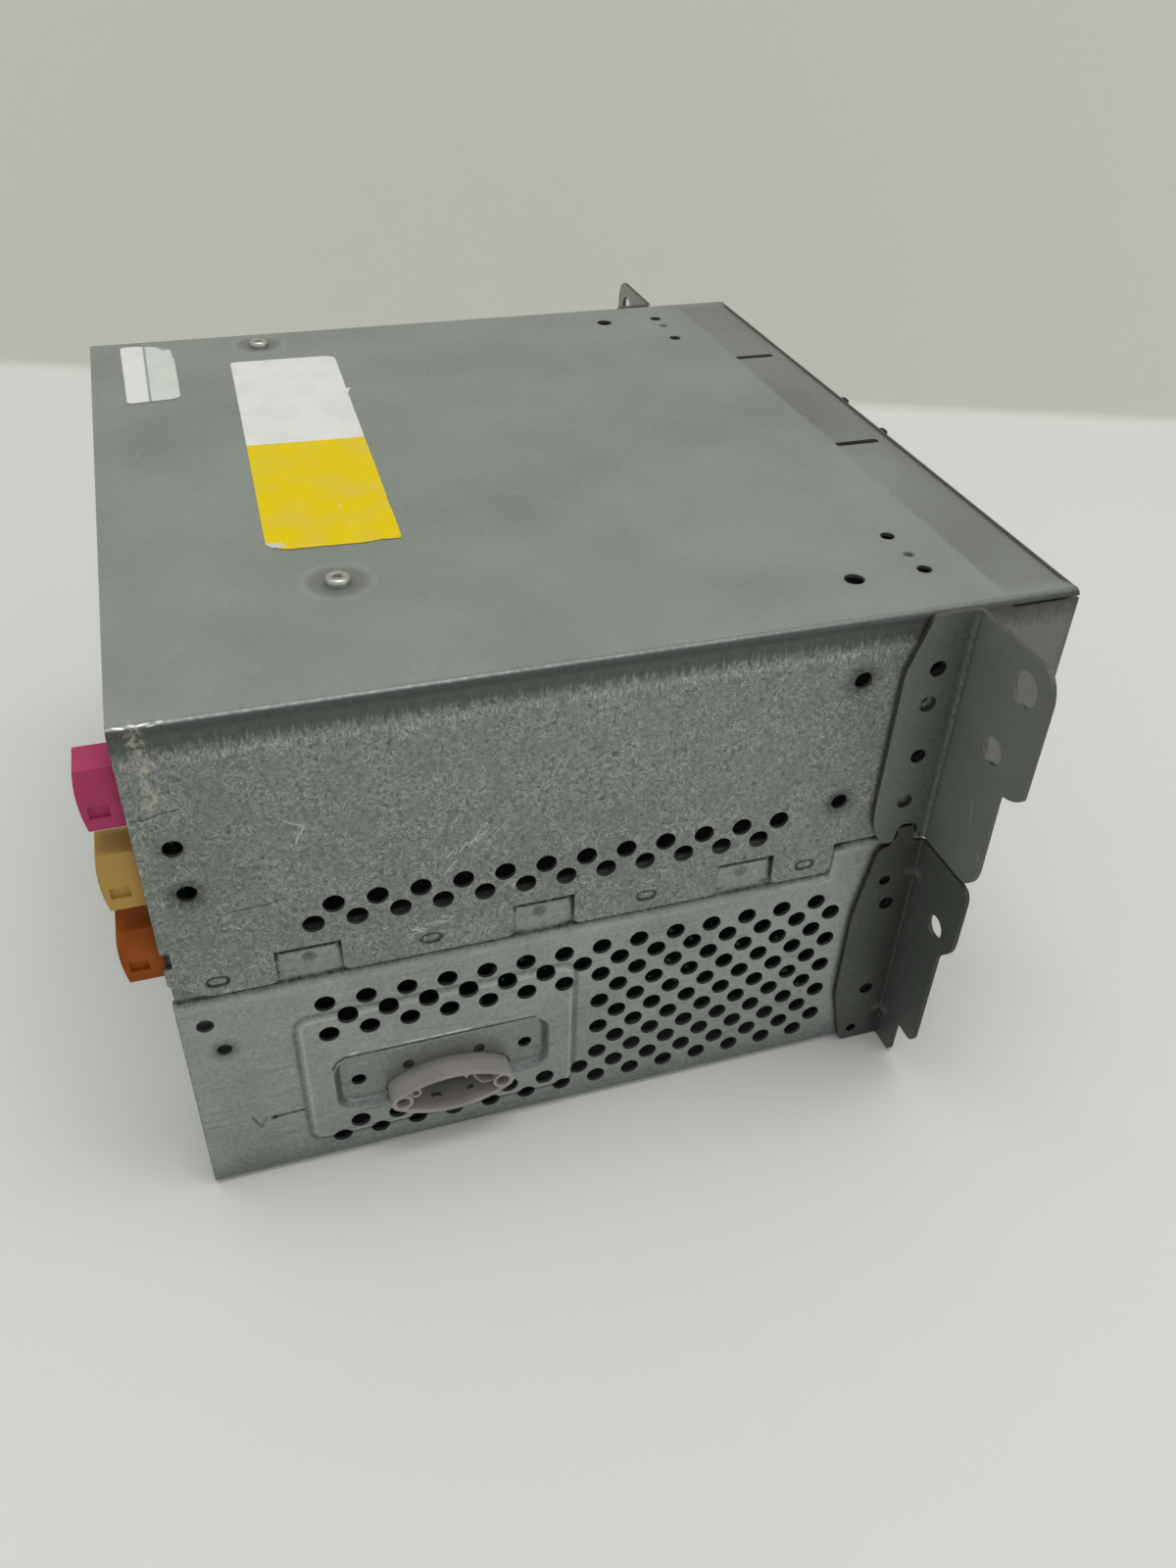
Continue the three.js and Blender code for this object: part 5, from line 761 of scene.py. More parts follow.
class CoverOperator(bpy.types.Operator):
    """Upper cover, folded from one sheet, with its notches, holes, screw dimples and pressed marks"""
    bl_idname = "computer.upper_cover"
    bl_label = "Upper cover"

    def execute(self, context):
        sizes = context.scene.computer_sizes
        bend, thick = sizes.cover_bend / MM, sizes.sheet / MM
        flat = SIDE - bend
        vent = sizes.vent_radius / MM

        def side(points, which):
            """Points (y, z) of the left (-1) or right (1) side on the flat sheet."""
            return on_side(points, which, flat, bend, 1)

        notches = [(y + w * NOTCH_HALF, z) for y in NOTCHES
                   for w, z in ((1, SEAM), (1, SEAM + NOTCH_HEIGHT), (-1, SEAM + NOTCH_HEIGHT), (-1, SEAM))]
        edge = [(END, 67.4), (END - 1.6, 67.4), (END - 1.6, 63.6), (END, 63.6), *REAR_CUT, *notches,
                (STEP_END, SEAM), (STEP_END, SEAM + SEAM_STEP), (LOW_FRONT, SEAM + SEAM_STEP),
                (LOW_FRONT, OVERHANG), (-END, OVERHANG)]
        slit = [(-END, TOP - 1.6), (-73.3, TOP - 1.6), (-73.3, TOP - 1.1), (-END, TOP - 1.1)]
        bows = [0.3, 0.3, 0.3, 0.3, 0.6, 1.0, *[1.4, 0.15, 0.15, 1.4] * len(NOTCHES), 1.2, 0.5, 0.4, 0.4,
                0.8, 0.1, 0.15, 0.15, 0.1]
        left, right = side([*edge, *slit], -1), side([*edge, *slit], 1)[::-1]
        outline = rounded(np.vstack([left, right]), np.array([*bows, *bows[::-1]]), 4)
        # pressed ovals, holes with soft or plain rims, holes behind the brackets
        ovals, oval_half = [(79.1, 58.2), (39.5, 58.6), (-4.0, 58.6), (-38.7, 58.4)], 0.9
        marks = [(81.8, 90.8, 0), (81.1, 80.2, 1), (-44.5, 102.5, 1), (-44.3, 73.6, 1)]
        behind = [((-59.1, 103.6), 1.9), ((-58.0, 96.4), 1.2), ((-59.2, 83.2), 1.9)]
        top_holes = [(-59.5, -62.6, 1.5), (-73.8, -62.9, 1.5), (77.5, -63.2, 1.5), (61.2, -62.9, 1.5),
                     (-74.0, -47.8, 2.0), (77.3, -48.0, 2.0)]
        filled = [(-67.6, -62.9), (71.5, -63.3)]
        # scratches: bright and dark ones on the side, hairlines on the top
        bright = [[(63.4, 93.0), (62.1, 91.9), (60.1, 91.0), (60.9, 89.4)], [(61.2, 89.6), (61.9, 87.2)]]
        for path, way, count in (([(29.2, 82.1), (34.1, 79.2), (36.2, 77.6), (35.4, 74.8)], (1.3, -1.5), 11),
                                 ([(43.5, 60.6), (39.3, 62.6), (36.0, 62.9)], (1.6, 0.4), 12)):
            bright += feathered(path, way, count)
        dark = [[(87.4, 97.9), (85.4, 97.8), (82.2, 98.6), (79.5, 98.8)],
                [(77.0, 73.0), (75.5, 74.4), (72.1, 74.7), (68.7, 74.7), (65.2, 75.6)]]
        hairs = [[(-17.3, 9.5), (-33.6, -7.0)], [(-59.8, 31.0), (-60.4, 22.0)], [(18.0, 79.0), (9.0, 77.5)],
                 [(-71.0, 78.5), (-66.5, 74.0)], [(34.0, -21.0), (27.0, -24.5)]]
        holes = [side(circle(c, vent), -1) for c in vent_rows()[0]]
        holes += [side(circle((y, z), 1.8), which) for y, z, _ in marks for which in (-1, 1)]
        holes += [side(circle(c, r), which) for c, r in behind for which in (-1, 1)]
        holes += [circle((x, y), r, 26) for x, y, r in top_holes]
        holes += [circle(c, 1.75, 26) for c in SCREWS]
        holes += [rounded_box((x - 1.0, x + 1.0), (low, -73.2), 0.7, 4)
                  for x, low in ((42.9, -83.6), (-15.2, -84.0))]
        creases = [loop for c in SCREWS
                   for loop in ring_marks(c, (2.7, 3.3, 3.8, 4.3, 4.8, 5.4, 6.1, 6.8, 7.6))]
        creases += [loop for c in filled for loop in ring_marks(c, (0.6, 0.9, 1.2, 1.6))]
        creases += [loop for x, y, r in top_holes for loop in ring_marks((x, y), (r + 0.3, r + 0.8))]
        for which in (-1, 1):
            creases += [side(circle((y, z), r, 26), which) for y, z, soft in marks if soft
                        for r in (1.9, 2.5, 3.1, 3.8, 4.7)]
            creases += [side(obround((y - oval_half, z), (y + oval_half, z), r), which) for y, z in ovals
                        for r in (0.5, 0.75, 1.0, 1.25, 1.6)]
        quarter = bend * np.pi / 2
        lines = [[(w * (flat + d), -END), (w * (flat + d), END)] for w in (-1, 1)
                 for d in (-0.8, -0.3, *np.linspace(0, quarter, 9), quarter + 0.5)]
        lines += [[(-flat, y), (flat, y)] for y in (-87.5, -87.0, -86.4, -85.6, -74.2, -73.8, -73.4, -73.1,
                                                    -72.9, -72.7, -72.3)]
        loops, strokes = scratches([*bright, *dark])
        creases += [side(loop, -1) for loop in loops]
        lines += [side(line, -1) for line in strokes]
        loops, strokes = scratches(hairs, 0.16)
        creases, lines = [*creases, *loops], [*lines, *strokes]
        chips = [[(-flat - a, y), (-flat - b, y - d)] for a, b, y, d in
                 ((0.5, 0.9, 86.6, 1.5), (0.3, 0.6, 84.4, 0.9), (0.7, 0.4, 82.9, 1.6), (1.0, 0.9, 81.4, 0.8),
                  (0.4, 0.5, 79.9, 0.6))]
        loops, strokes = scratches(chips, 0.35)
        creases, lines = [*creases, *loops], [*lines, *strokes]

        def to_oval(y, z, centre):
            """Distance to the line that an oval is drawn round."""
            return np.hypot(np.maximum(np.abs(y - centre[0]) - oval_half, 0), z - centre[1])

        def depth(x, y, z, on_wall):
            """The top ripples, drops by 0.16 mm along the front and rounds down to the front edge; every
            screw, weld, hole and oval has its dimple."""
            away, across = ease((END - np.abs(y)) / 12), ease((flat - np.abs(x)) / 3)
            push = np.where(on_wall, 0, ripple(x, y) * away * ease((flat - np.abs(x)) / 14))
            push = push - np.where(on_wall, 0, 0.16 * ease((-72.7 - y) / 1.2) * across)
            push = push - np.where(on_wall, 0, 0.6 * np.clip((-END + 2.2 - y) / 2.2, 0, 1) ** 2 * across)
            for c in SCREWS:
                push = push - np.where(on_wall, 0, 0.36 * spot(x, y, c, 2.8, 4.6))
            for c in filled:
                push = push - np.where(on_wall, 0, 0.16 * spot(x, y, c, 0.8, 0.7))
            for *c, r in top_holes:
                push = push - np.where(on_wall, 0, 0.10 * spot(x, y, c, r, 0.9))
            for *c, soft in marks:
                push = push - np.where(on_wall, soft * 0.34 * spot(y, z, c, 1.5, 2.9), 0)
            for c in ovals:
                push = push - np.where(on_wall, 0.24 * (1 - ease((to_oval(y, z, c) - 0.8) / 0.5)), 0)
            return push

        def soil(x, y, z, on_wall):
            """Darker round the holes, most round the soft ones, and at the spot welds; painted shade on each
            oval's wall and a painted highlight on its floor; painted shade along the step, towards the front
            edge of the top and over the fold; painted highlights in rings on the screws' dimples; darker
            ahead of the brackets, in a patch by the left rear of the top and towards the rear; bright and
            dark scratches and hairlines."""
            left, top = on_wall & (x < 0), ~on_wall
            # painted shade along the step and towards the front edge of the top
            value = top * (0.05 * ease((-73.0 - y) / 0.4) + 0.15 * ease((-83.5 - y) / 4.3)
                           + 0.16 * bump(y, -73.0, 0.4))
            value = value + left * (0.22 * ease((-66.0 - y) / 3.0)
                                    + 0.6 * bump(np.hypot(y + 58.2, z - 72.2), 0.0, 1.7))
            value = value + top * 0.10 * bump(x, -66.0, 14.0) * bump(y, 64.0, 20.0)
            for *c, soft in marks:
                value = value + on_wall * (0.1 + soft * 0.45) * spot(y, z, c, 1.7, 3.0)
            # painted shade on the wall of each oval, with a painted highlight on its floor
            for c in ovals:
                far = to_oval(y, z, c)
                value = value + on_wall * (bump(far, 1.0, 0.6) - 0.2 * bump(far, 0.0, 0.6))
            for c in filled:
                value = value + top * 0.75 * spot(x, y, c, 0.8, 0.5)
            # painted highlights: light rings on the walls of each screw's dimple
            for cx, cy in SCREWS:
                far = np.hypot(x - cx, y - cy)
                value = value + top * (-0.1 * bump(far, 3.6, 1.6) - 0.14 * bump(far, 6.6, 1.1))
            value = value + on_wall * 0.07 * ease((y - 20.0) / 60.0)
            # painted shade over the fold, dimming its highlight
            value = value + np.where(on_wall, 0.42 * (1 - ease((TOP - bend - z) / 0.9)),
                                     0.42 * ease((np.abs(x) - flat + 0.3) / 0.8))
            value = value - left * 0.75 * stroke(y, z, bright) + left * 0.8 * stroke(y, z, dark)
            return value - top * 0.3 * stroke(x, y, hairs, 0.16)

        shape = flat_mesh(outline, holes, creases, lines, 4.0)
        # the worn dashes along the fold are bright, so they come off the dirt and painted shade
        toning = dirt_wear_and_painted_light_at(shape[0], flat, bend, 1, soil) - 1.4 * stroke(*shape[0].T, chips, 0.35)
        points, faces, rim = sheet(*shape, fold_over(flat, bend, depth, 1), thick)
        put("cover_sheet", points, faces, [material("cover"), material("edge")], "case",
            "upper_cover", rim, soil=toning)
        return {"FINISHED"}


class HousingOperator(bpy.types.Operator):
    """Lower housing, folded from one sheet, joggled behind the cover, with its vents, pad and recess"""
    bl_idname = "computer.lower_housing"
    bl_label = "Lower housing"

    def execute(self, context):
        sizes = context.scene.computer_sizes
        bend, thick = sizes.housing_bend / MM, sizes.sheet / MM
        flat = SIDE - bend
        vent = sizes.vent_radius / MM

        def side(points, which):
            """Points (y, z) of the left (-1) or right (1) side on the flat sheet."""
            return on_side(points, which, flat, bend, -1)

        start, rim_z = SEAM - SEAM_GAP, SEAM - 0.8
        edge = [(END, rim_z), (TONGUE_END, rim_z), (TONGUE_END, TONGUE_TOP), (LOW_FRONT + 2.2, TONGUE_TOP),
                (LOW_FRONT + 2.2, rim_z + SEAM_STEP), (LOW_FRONT, rim_z + SEAM_STEP)]
        outline = rounded(np.vstack([side(edge, -1), side(edge, 1)[::-1]]), 0.5, 3)
        # pad round the collar, recess in it, and welds on the tabs seen through the cover's notches
        pad, pad_z = (10.2, 67.2), (7.0, 44.0)
        recess, recess_z = (15.8, 61.1), (14.0, 30.5)
        tabs = [(62.4, 59.0), (17.8, 59.0), (-24.8, 59.0)]
        # edge of the cover that lies over the side, its notches with rounded feet
        foot, notch_foot, notch_top = 7.0, SEAM + 1.2, SEAM + NOTCH_HEIGHT
        cover_edge = [*REAR_CUT]
        for y in NOTCHES:
            cover_edge += [(y + foot, SEAM), (y + NOTCH_HALF, notch_foot), (y + NOTCH_HALF, notch_top),
                           (y - NOTCH_HALF, notch_top), (y - NOTCH_HALF, notch_foot), (y - foot, SEAM)]
        cover_edge += [(STEP_END, SEAM), (STEP_END, SEAM + SEAM_STEP), (LOW_FRONT + 0.4, SEAM + SEAM_STEP)]
        # groove and blot by the pad, dark upper rim of the recess with its worn dashes, check mark
        groove = [[(73.9, 17.1), (67.9, 17.3)], [(58.5, 30.8), (19.0, 30.8)],
                  [(61.0, 28.0), (60.2, 29.8), (58.5, 30.8)]]
        worn_rim = [[(57.4, 31.6), (55.9, 31.7)], [(46.3, 31.6), (42.4, 31.7)], [(40.6, 31.6), (38.9, 31.6)],
                    [(37.6, 31.6), (32.9, 31.7)]]
        check = [[(78.1, 18.6), (76.6, 14.9), (75.3, 17.6)]]
        blot, soft_hole = (73.9, 17.1), (80.5, 40.0)
        holes = [side(circle(c, vent), -1) for c in vent_rows()[1]]
        holes += [side(circle((y, z), r, 20), which) for y, z, r in
                  ((83.0, 47.4, 1.65), (*soft_hole, 1.45), (-58.1, 50.4, 1.5), (-59.8, 43.4, 1.8),
                   (-59.9, 16.6, 1.7), (-58.2, 3.8, 1.5)) for which in (-1, 1)]
        holes += [side(circle((y, z), r, 18), -1) for y, z, r in
                  ((20.8, 21.6, 1.5), (56.1, 21.4, 1.55), (30.7, 22.7, 1.3), (45.7, 22.7, 1.3))]
        holes += [side(lens(GAP), -1)]
        creases = [side(loop, -1) for loop in contours(pad, pad_z, 3.0, 1.1)]
        creases += [side(loop, -1) for loop in contours(recess, recess_z, 4.5, 1.5)]
        creases += [side(circle(blot, r, 16), -1) for r in (0.5, 0.9)]
        creases += [side(circle(soft_hole, r, 22), -1) for r in (1.8, 2.6, 3.6)]
        for which in (-1, 1):
            creases += [side(circle(c, r, 20), which) for c in tabs for r in (0.7, 1.2, 1.6, 2.0)]
        loops, strokes = scratches([*groove, *check, *worn_rim], 0.5)
        creases += [side(loop, -1) for loop in loops]
        quarter = bend * np.pi / 2
        lines = [[(w * (flat + d), LOW_FRONT), (w * (flat + d), END)] for w in (-1, 1)
                 for d in (-0.5, *np.linspace(0, quarter, 9), quarter + 0.5, quarter + 2.5)]
        lines += [side(line, -1) for line in strokes]
        for which in (-1, 1):
            lines.append(side([(END - 0.5, 3.0), (END - 0.5, start - 0.5)], which))
            lines.append(side(cover_edge[1:-1], which))
            for y in NOTCHES:
                lines += [side([(y - NOTCH_HALF + d, notch_foot), (y - NOTCH_HALF + d, notch_top - d),
                                (y + NOTCH_HALF - d, notch_top - d), (y + NOTCH_HALF - d, notch_foot)], which)
                          for d in (0.4, 0.8)]
                lines += [side([(y - 5.1, notch_top - d), (y + 5.1, notch_top - d)], which)
                          for d in (1.2, 1.6, 2.0, 2.4)]
            for d in (-2.0, -0.5, 0.0, 0.4, 0.8, 1.2, 1.6, 2.0, 2.6):
                path = [(TONGUE_END - 0.3, start + d), (STEP_END - GAP + d, start + d),
                        (STEP_END - GAP + d, start + SEAM_STEP + d), (LOW_FRONT + 2.5, start + SEAM_STEP + d)]
                lines.append(side(path, which))

        def seam_share(y, z):
            """How far a point of the side has gone through the joggle, 0 below it and 1 behind the cover,
            and how many millimetres it lies beyond the joggle's start."""
            behind = np.maximum(np.minimum(z - start, y - STEP_END + GAP), z - start - SEAM_STEP)
            return ease(behind / 2.0), behind

        def depth(x, y, z, on_wall):
            """The left side's pad stands out by 0.6 mm and its recess lies 1.2 mm in; behind the cover
            both sides lie 1.1 mm in; grooves and welds are pressed in."""
            left = on_wall & (x < 0)
            push = 0.6 * ease(-to_box(y, z, pad, pad_z, 3.0) / 1.1)
            share = ease(-to_box(y, z, recess, recess_z, 4.5) / 1.5)
            push = push * (1 - share) - 1.2 * share
            push = push - 0.2 * stroke(y, z, groove, 0.5)
            push = np.where(left, push, 0)
            share = np.where(on_wall, seam_share(y, z)[0], 0)
            push = push * (1 - share) - 1.1 * share
            for c in tabs:
                push = push - np.where(on_wall, 0.16 * spot(y, z, c, 1.1, 0.8), 0)
            return push

        def soil(x, y, z, on_wall):
            """Dirt and painted shade in the joggle, a painted highlight just below it and slight painted
            shade behind the cover; painted shadow in a dark line under the cover's edge, under the top of
            each notch and in the rear corner's notch; dark press marks on the tabs; painted shade outside the
            pad's pressed wall and a painted highlight inside it; painted shade in the recess, darker than the
            pad, and along its upper wall, with worn bright dashes on its rim; a groove, a check mark and a
            blot by the pad, and darker round a soft hole; painted shade over the lowest 10 mm towards the
            floor; darker towards the rear; a worn rear edge."""
            left = on_wall & (x < 0)
            behind = seam_share(y, z)[1]
            # painted shade with some dirt in the joggle, a painted highlight just below it, and slight
            # painted shade on the sheet behind the cover
            value = on_wall * (0.25 * bump(behind, 1.4, 2.0) + 0.7 * bump(behind, 1.3, 0.8)
                               - 0.15 * bump(behind, -0.5, 0.6) + 0.05 * ease(behind - 1.5))
            # painted shadow: a dark line under the cover's edge
            value = value + on_wall * 0.75 * (1 - ease(to_path(y, z, cover_edge) / 0.9))
            # painted shade in the notch at the rear corner
            value = value + on_wall * 0.9 * ease((y - 85.6) / 0.8) * ease(z - 61.5)
            # painted shadow under the top edge of each notch
            for cy in NOTCHES:
                within = 1 - ease((np.abs(y - cy) - 5.8) / 0.6)
                value = value + on_wall * 0.95 * within * ease((z - SEAM - 5.7) / 0.5)
            for cy, cz in tabs:
                far = np.hypot(y - cy, z - cz)
                value = value + on_wall * (0.5 * (1 - ease((far - 0.9) / 0.9)) - 0.12 * bump(far, 0.0, 0.8))
            # painted shade outside the pad's pressed wall, a painted highlight just inside it
            gap = -to_box(y, z, pad, pad_z, 3.0)
            value = value + left * (0.5 * bump(gap, -0.1, 0.9) - 0.35 * bump(gap, 1.15, 0.5))
            # painted shade over the recess and along its upper wall, more round the collar; the bright dashes
            # on its rim are wear
            gap = -to_box(y, z, recess, recess_z, 4.5)
            value = value + left * (0.14 * ease(gap / 1.5) + 0.5 * bump(gap, 0.7, 0.9)
                                    - 1.3 * stroke(y, z, worn_rim, 0.5)
                                    + 0.1 * bump(y, COLLAR["y"], 18.0) * ease(gap / 2.0))
            value = value + left * (0.95 * stroke(y, z, groove, 0.5) + 0.55 * stroke(y, z, check, 0.5)
                                    + 0.8 * spot(y, z, blot, 0.3, 0.7)
                                    + 0.5 * spot(y, z, soft_hole, 1.3, 2.4))
            # painted shade darkening the lowest 10 mm towards the floor, and darker towards the rear
            value = value + 0.45 * (1 - ease(z / 10.0)) + on_wall * 0.06 * ease((y - 45.0) / 30.0)
            # stretches of the rear edge worn bright, where two waves of 3.3 mm and 7.6 mm add up
            worn = np.sin(z * 1.9) + np.sin(z * 0.83 + 1.0) > -0.2
            return value - on_wall * 0.6 * worn * ease((y - END + 0.6) / 0.5)

        shape = flat_mesh(outline, holes, creases, lines, 5.0)
        case = sheet(*shape, fold_over(flat, bend, depth, -1), thick)
        # solid feet in the floor
        boss = [(0.0, 0.45), (4.4, 0.45), (3.6, 1.4), (3.2, 2.4), (3.2, 9.3), (2.9, 9.7), (0.0, 9.7)]
        feet = [turned("z", (x, y, 0), boss, 24) for x, y in
                ((-70.0, -44.5), (0.0, -44.5), (70.0, -44.5), (-70.0, 66.0), (70.0, 66.0))]
        points, faces, rim = joined(case, self.front_wall(thick), *feet)
        put("housing_sheet", points, faces, [material("housing"), material("edge")], "case",
            "lower_housing", rim, soil=dirt_wear_and_painted_light_at(shape[0], flat, bend, -1, soil))
        return {"FINISHED"}

    def front_wall(self, thick):
        """The wall across the lower front, set back under the upper half: the fascia socket's opening,
        three screw holes in shallow dimples and a pressed field that stiffens it."""
        spots = [(-75.65, 23.1), (75.65, 23.1), (-26.7, 42.9)]
        holes = [rounded_box((29.7, 56.3), (11.6, 23.7), 0.5, 3), *[circle(c, 2.0, 28) for c in spots]]
        field, field_z = (-62.0, 64.0), (29.5, 58.0)
        creases = contours(field, field_z, 6.0, 1.2)
        creases += [loop for c in spots for loop in ring_marks(c, (2.4, 3.2, 4.0, 4.6))]

        def place(x, z):
            """The field lies 0.35 mm in, and each screw hole in a dimple 0.25 mm deep."""
            points, normal = facing(LOW_FRONT, -1)(x, z)
            points[:, 1] += 0.35 * ease(-to_box(x, z, field, field_z, 6.0) / 1.2)
            for c in spots:
                points[:, 1] += 0.25 * spot(x, z, c, 2.2, 1.9)
            return points, normal
        return slab(rounded_box((-88.15, 88.15), (0.9, 61.5), 0.8), holes, place, thick, 7.0, creases)


# Outlines of the brackets, as shares of the depth or width and of the height, from the foot up
UPPER_PLATE = [(0.105, 0.004), (0.158, 0.029), (0.188, 0.082), (0.429, 0.088), (0.496, 0.079), (0.511, 0.02),
               (0.617, 0.005), (0.767, 0.009), (0.872, 0.051), (0.962, 0.099), (1, 0.161), (0.985, 0.779),
               (0.692, 1)]
UPPER_FLANGE = [(0.65, 0.007), (0.74, 0.05), (0.767, 0.102), (0.755, 0.444), (0.771, 0.464), (0.878, 0.477),
                (0.943, 0.494), (1, 0.514), (1, 0.908), (0.967, 0.955), (0.918, 0.985), (0.857, 1)]
LOWER_FLANGE = [(0.395, 0), (0.407, 0.174), (0.678, 0.174), (0.746, 0.184), (0.78, 0.21), (0.791, 0.646),
                (0.921, 0.687), (0.983, 0.719), (1, 0.757), (1, 0.959), (0.96, 0.988), (0.847, 1)]
LOWER_PLATE = [(0.73, 0.0), (1, 0.249), (1, 0.637), (0.79, 0.90), (0.70, 0.925), (0.60, 0.925), (0.55, 0.955),
               (0.53, 0.99), (0.46, 1.0), (0.22, 1.0), (0.20, 0.955), (0.16, 0.93), (0.105, 0.925)]


class BracketsOperator(bpy.types.Operator):
    """Four side brackets, each a plate and a flange folded from one sheet, with holes and fold darts"""
    bl_idname = "computer.brackets"
    bl_label = "Side brackets"

    def execute(self, context):
        thick, depth, fold, upper_bend, lower_bend = 1.0, 13.3, -65.3, 0.8, 0.6
        plate = SIDE + GAP + thick

        def place(side, bend, darts):
            """s < 0 is the plate, y = fold + bend - s; then a quarter circle inside the fold; then the
            flange, x growing with s. The skin is the hollow side of the fold. A dart pushes the fold out
            by a bump that falls off as exp(-d^2)."""
            quarter = bend * np.pi / 2

            def bent(s, z):
                """The bent place and the normal of each flat point."""
                turn = np.clip(s, 0, quarter) / bend
                x = plate + bend * (1 - np.cos(turn)) + np.maximum(s - quarter, 0)
                y = fold + bend - bend * np.sin(turn) + np.maximum(-s, 0)
                normal = np.column_stack([side * np.cos(turn), np.sin(turn), np.zeros(len(s))])
                push = sum(1.1 * np.exp(-((z - dart) / 1.1) ** 2 - ((s - quarter / 2) / 1.9) ** 2)
                           for dart in darts) + np.zeros(len(s))
                return np.column_stack([side * x, y, z]) + normal * push[:, None], normal
            return bent

        def form(bend, base, rise, points, flange, width, flange_rise, plate_holes, flange_holes):
            """Outline and holes of one bracket on its flat sheet, from shares of its depth, width and
            height."""
            over = plate + bend - bend * np.pi / 2
            on_plate = [(bend - a * depth, base + u * rise) for a, u in points]
            on_flange = [(plate - thick + a * width - over, base + u * flange_rise) for a, u in flange]
            holes = [circle((bend - a * depth, base + u * rise), r, 26) for a, u, r in plate_holes]
            holes += [circle((plate + a * (width - thick) - over, base + u * flange_rise), r, 40)
                      for a, u, r in flange_holes]
            return rounded(np.array(on_flange + on_plate[::-1]), 1.6, 5), holes

        upper = form(upper_bend, 60.9, 54.7, UPPER_PLATE, UPPER_FLANGE, 25.5, 54.7,
                     ((0.466, 0.781, 1.75), (0.504, 0.636, 1.75), (0.459, 0.408, 1.65), (0.511, 0.201, 1.65)),
                     ((0.7, 0.879, 3.5), (0.54, 0.581, 2.8)))
        lower = form(lower_bend, 0.3, 64.6, LOWER_PLATE, LOWER_FLANGE, 18.7, 60.3,
                     ((0.54, 0.776, 1.3), (0.414, 0.667, 1.65), (0.407, 0.253, 1.6), (0.533, 0.054, 1.2)),
                     ((0.6, 0.737, 2.6),))
        worn = [[(20.1, 75.0), (21.3, 67.6)], [(19.0, 66.8), (21.6, 66.0)], [(12.0, 80.0), (13.2, 74.5)],
                [(17.5, 71.0), (18.2, 69.0)]]
        for label, bend, (loop, holes), darts, marks, finish, edge in (
                ("upper", upper_bend, upper, (), worn, "bracket", "worn edge"),
                ("lower", lower_bend, lower, (51.8, 9.2), [], "low bracket", "low edge")):
            quarter = bend * np.pi / 2
            low, high = loop[:, 1].min(), loop[:, 1].max()
            steps = [-7.0, -4.0, -2.4, -1.2, -0.5, *np.linspace(0, quarter, 9),
                     *[quarter + d for d in (0.5, 1.2, 2.4, 4.5)]]
            lines = [[(s, low - 1), (s, high + 1)] for s in steps]
            creases = [rounded_box((-3.4, quarter + 3.4), (z - 2.6, z + 2.6), 1.0, 4) for z in darts]
            creases += [rounded_box((-1.9, quarter + 1.9), (z - 1.4, z + 1.4), 0.8, 4) for z in darts]
            loops, strokes = scratches(marks, 0.3)
            shape = flat_mesh(loop, holes, [*creases, *loops], [*lines, *strokes], 1.3 if darts else 3.0)
            s, z = shape[0].T
            # painted shade: the plate darker than the flange and most near the fold, the flange a little
            # darker near the fold, and a dark stripe over the fold that dims its highlight; the worn marks
            # are rubbed bright
            soil = np.where(s < 0, 0.36 + 0.2 * ease((s + 9.0) / 9.0), 0.06 * (1 - ease((s - quarter) / 6.0)))
            soil = soil + 0.7 * bump(s, quarter / 2, quarter / 2 + 0.6) - 0.8 * stroke(s, z, marks, 0.3)
            for word, side in (("right", 1), ("left", -1)):
                points, faces, rim = sheet(*shape, place(side, bend, darts), thick)
                piece = put(f"{label}_bracket_sheet_{word}", points, faces,
                            [material(finish), material(edge)], "case",
                            f"{label}_bracket_{word}", rim, soil=soil)
                round_off(piece, 0.12, 1, 60)
        return {"FINISHED"}


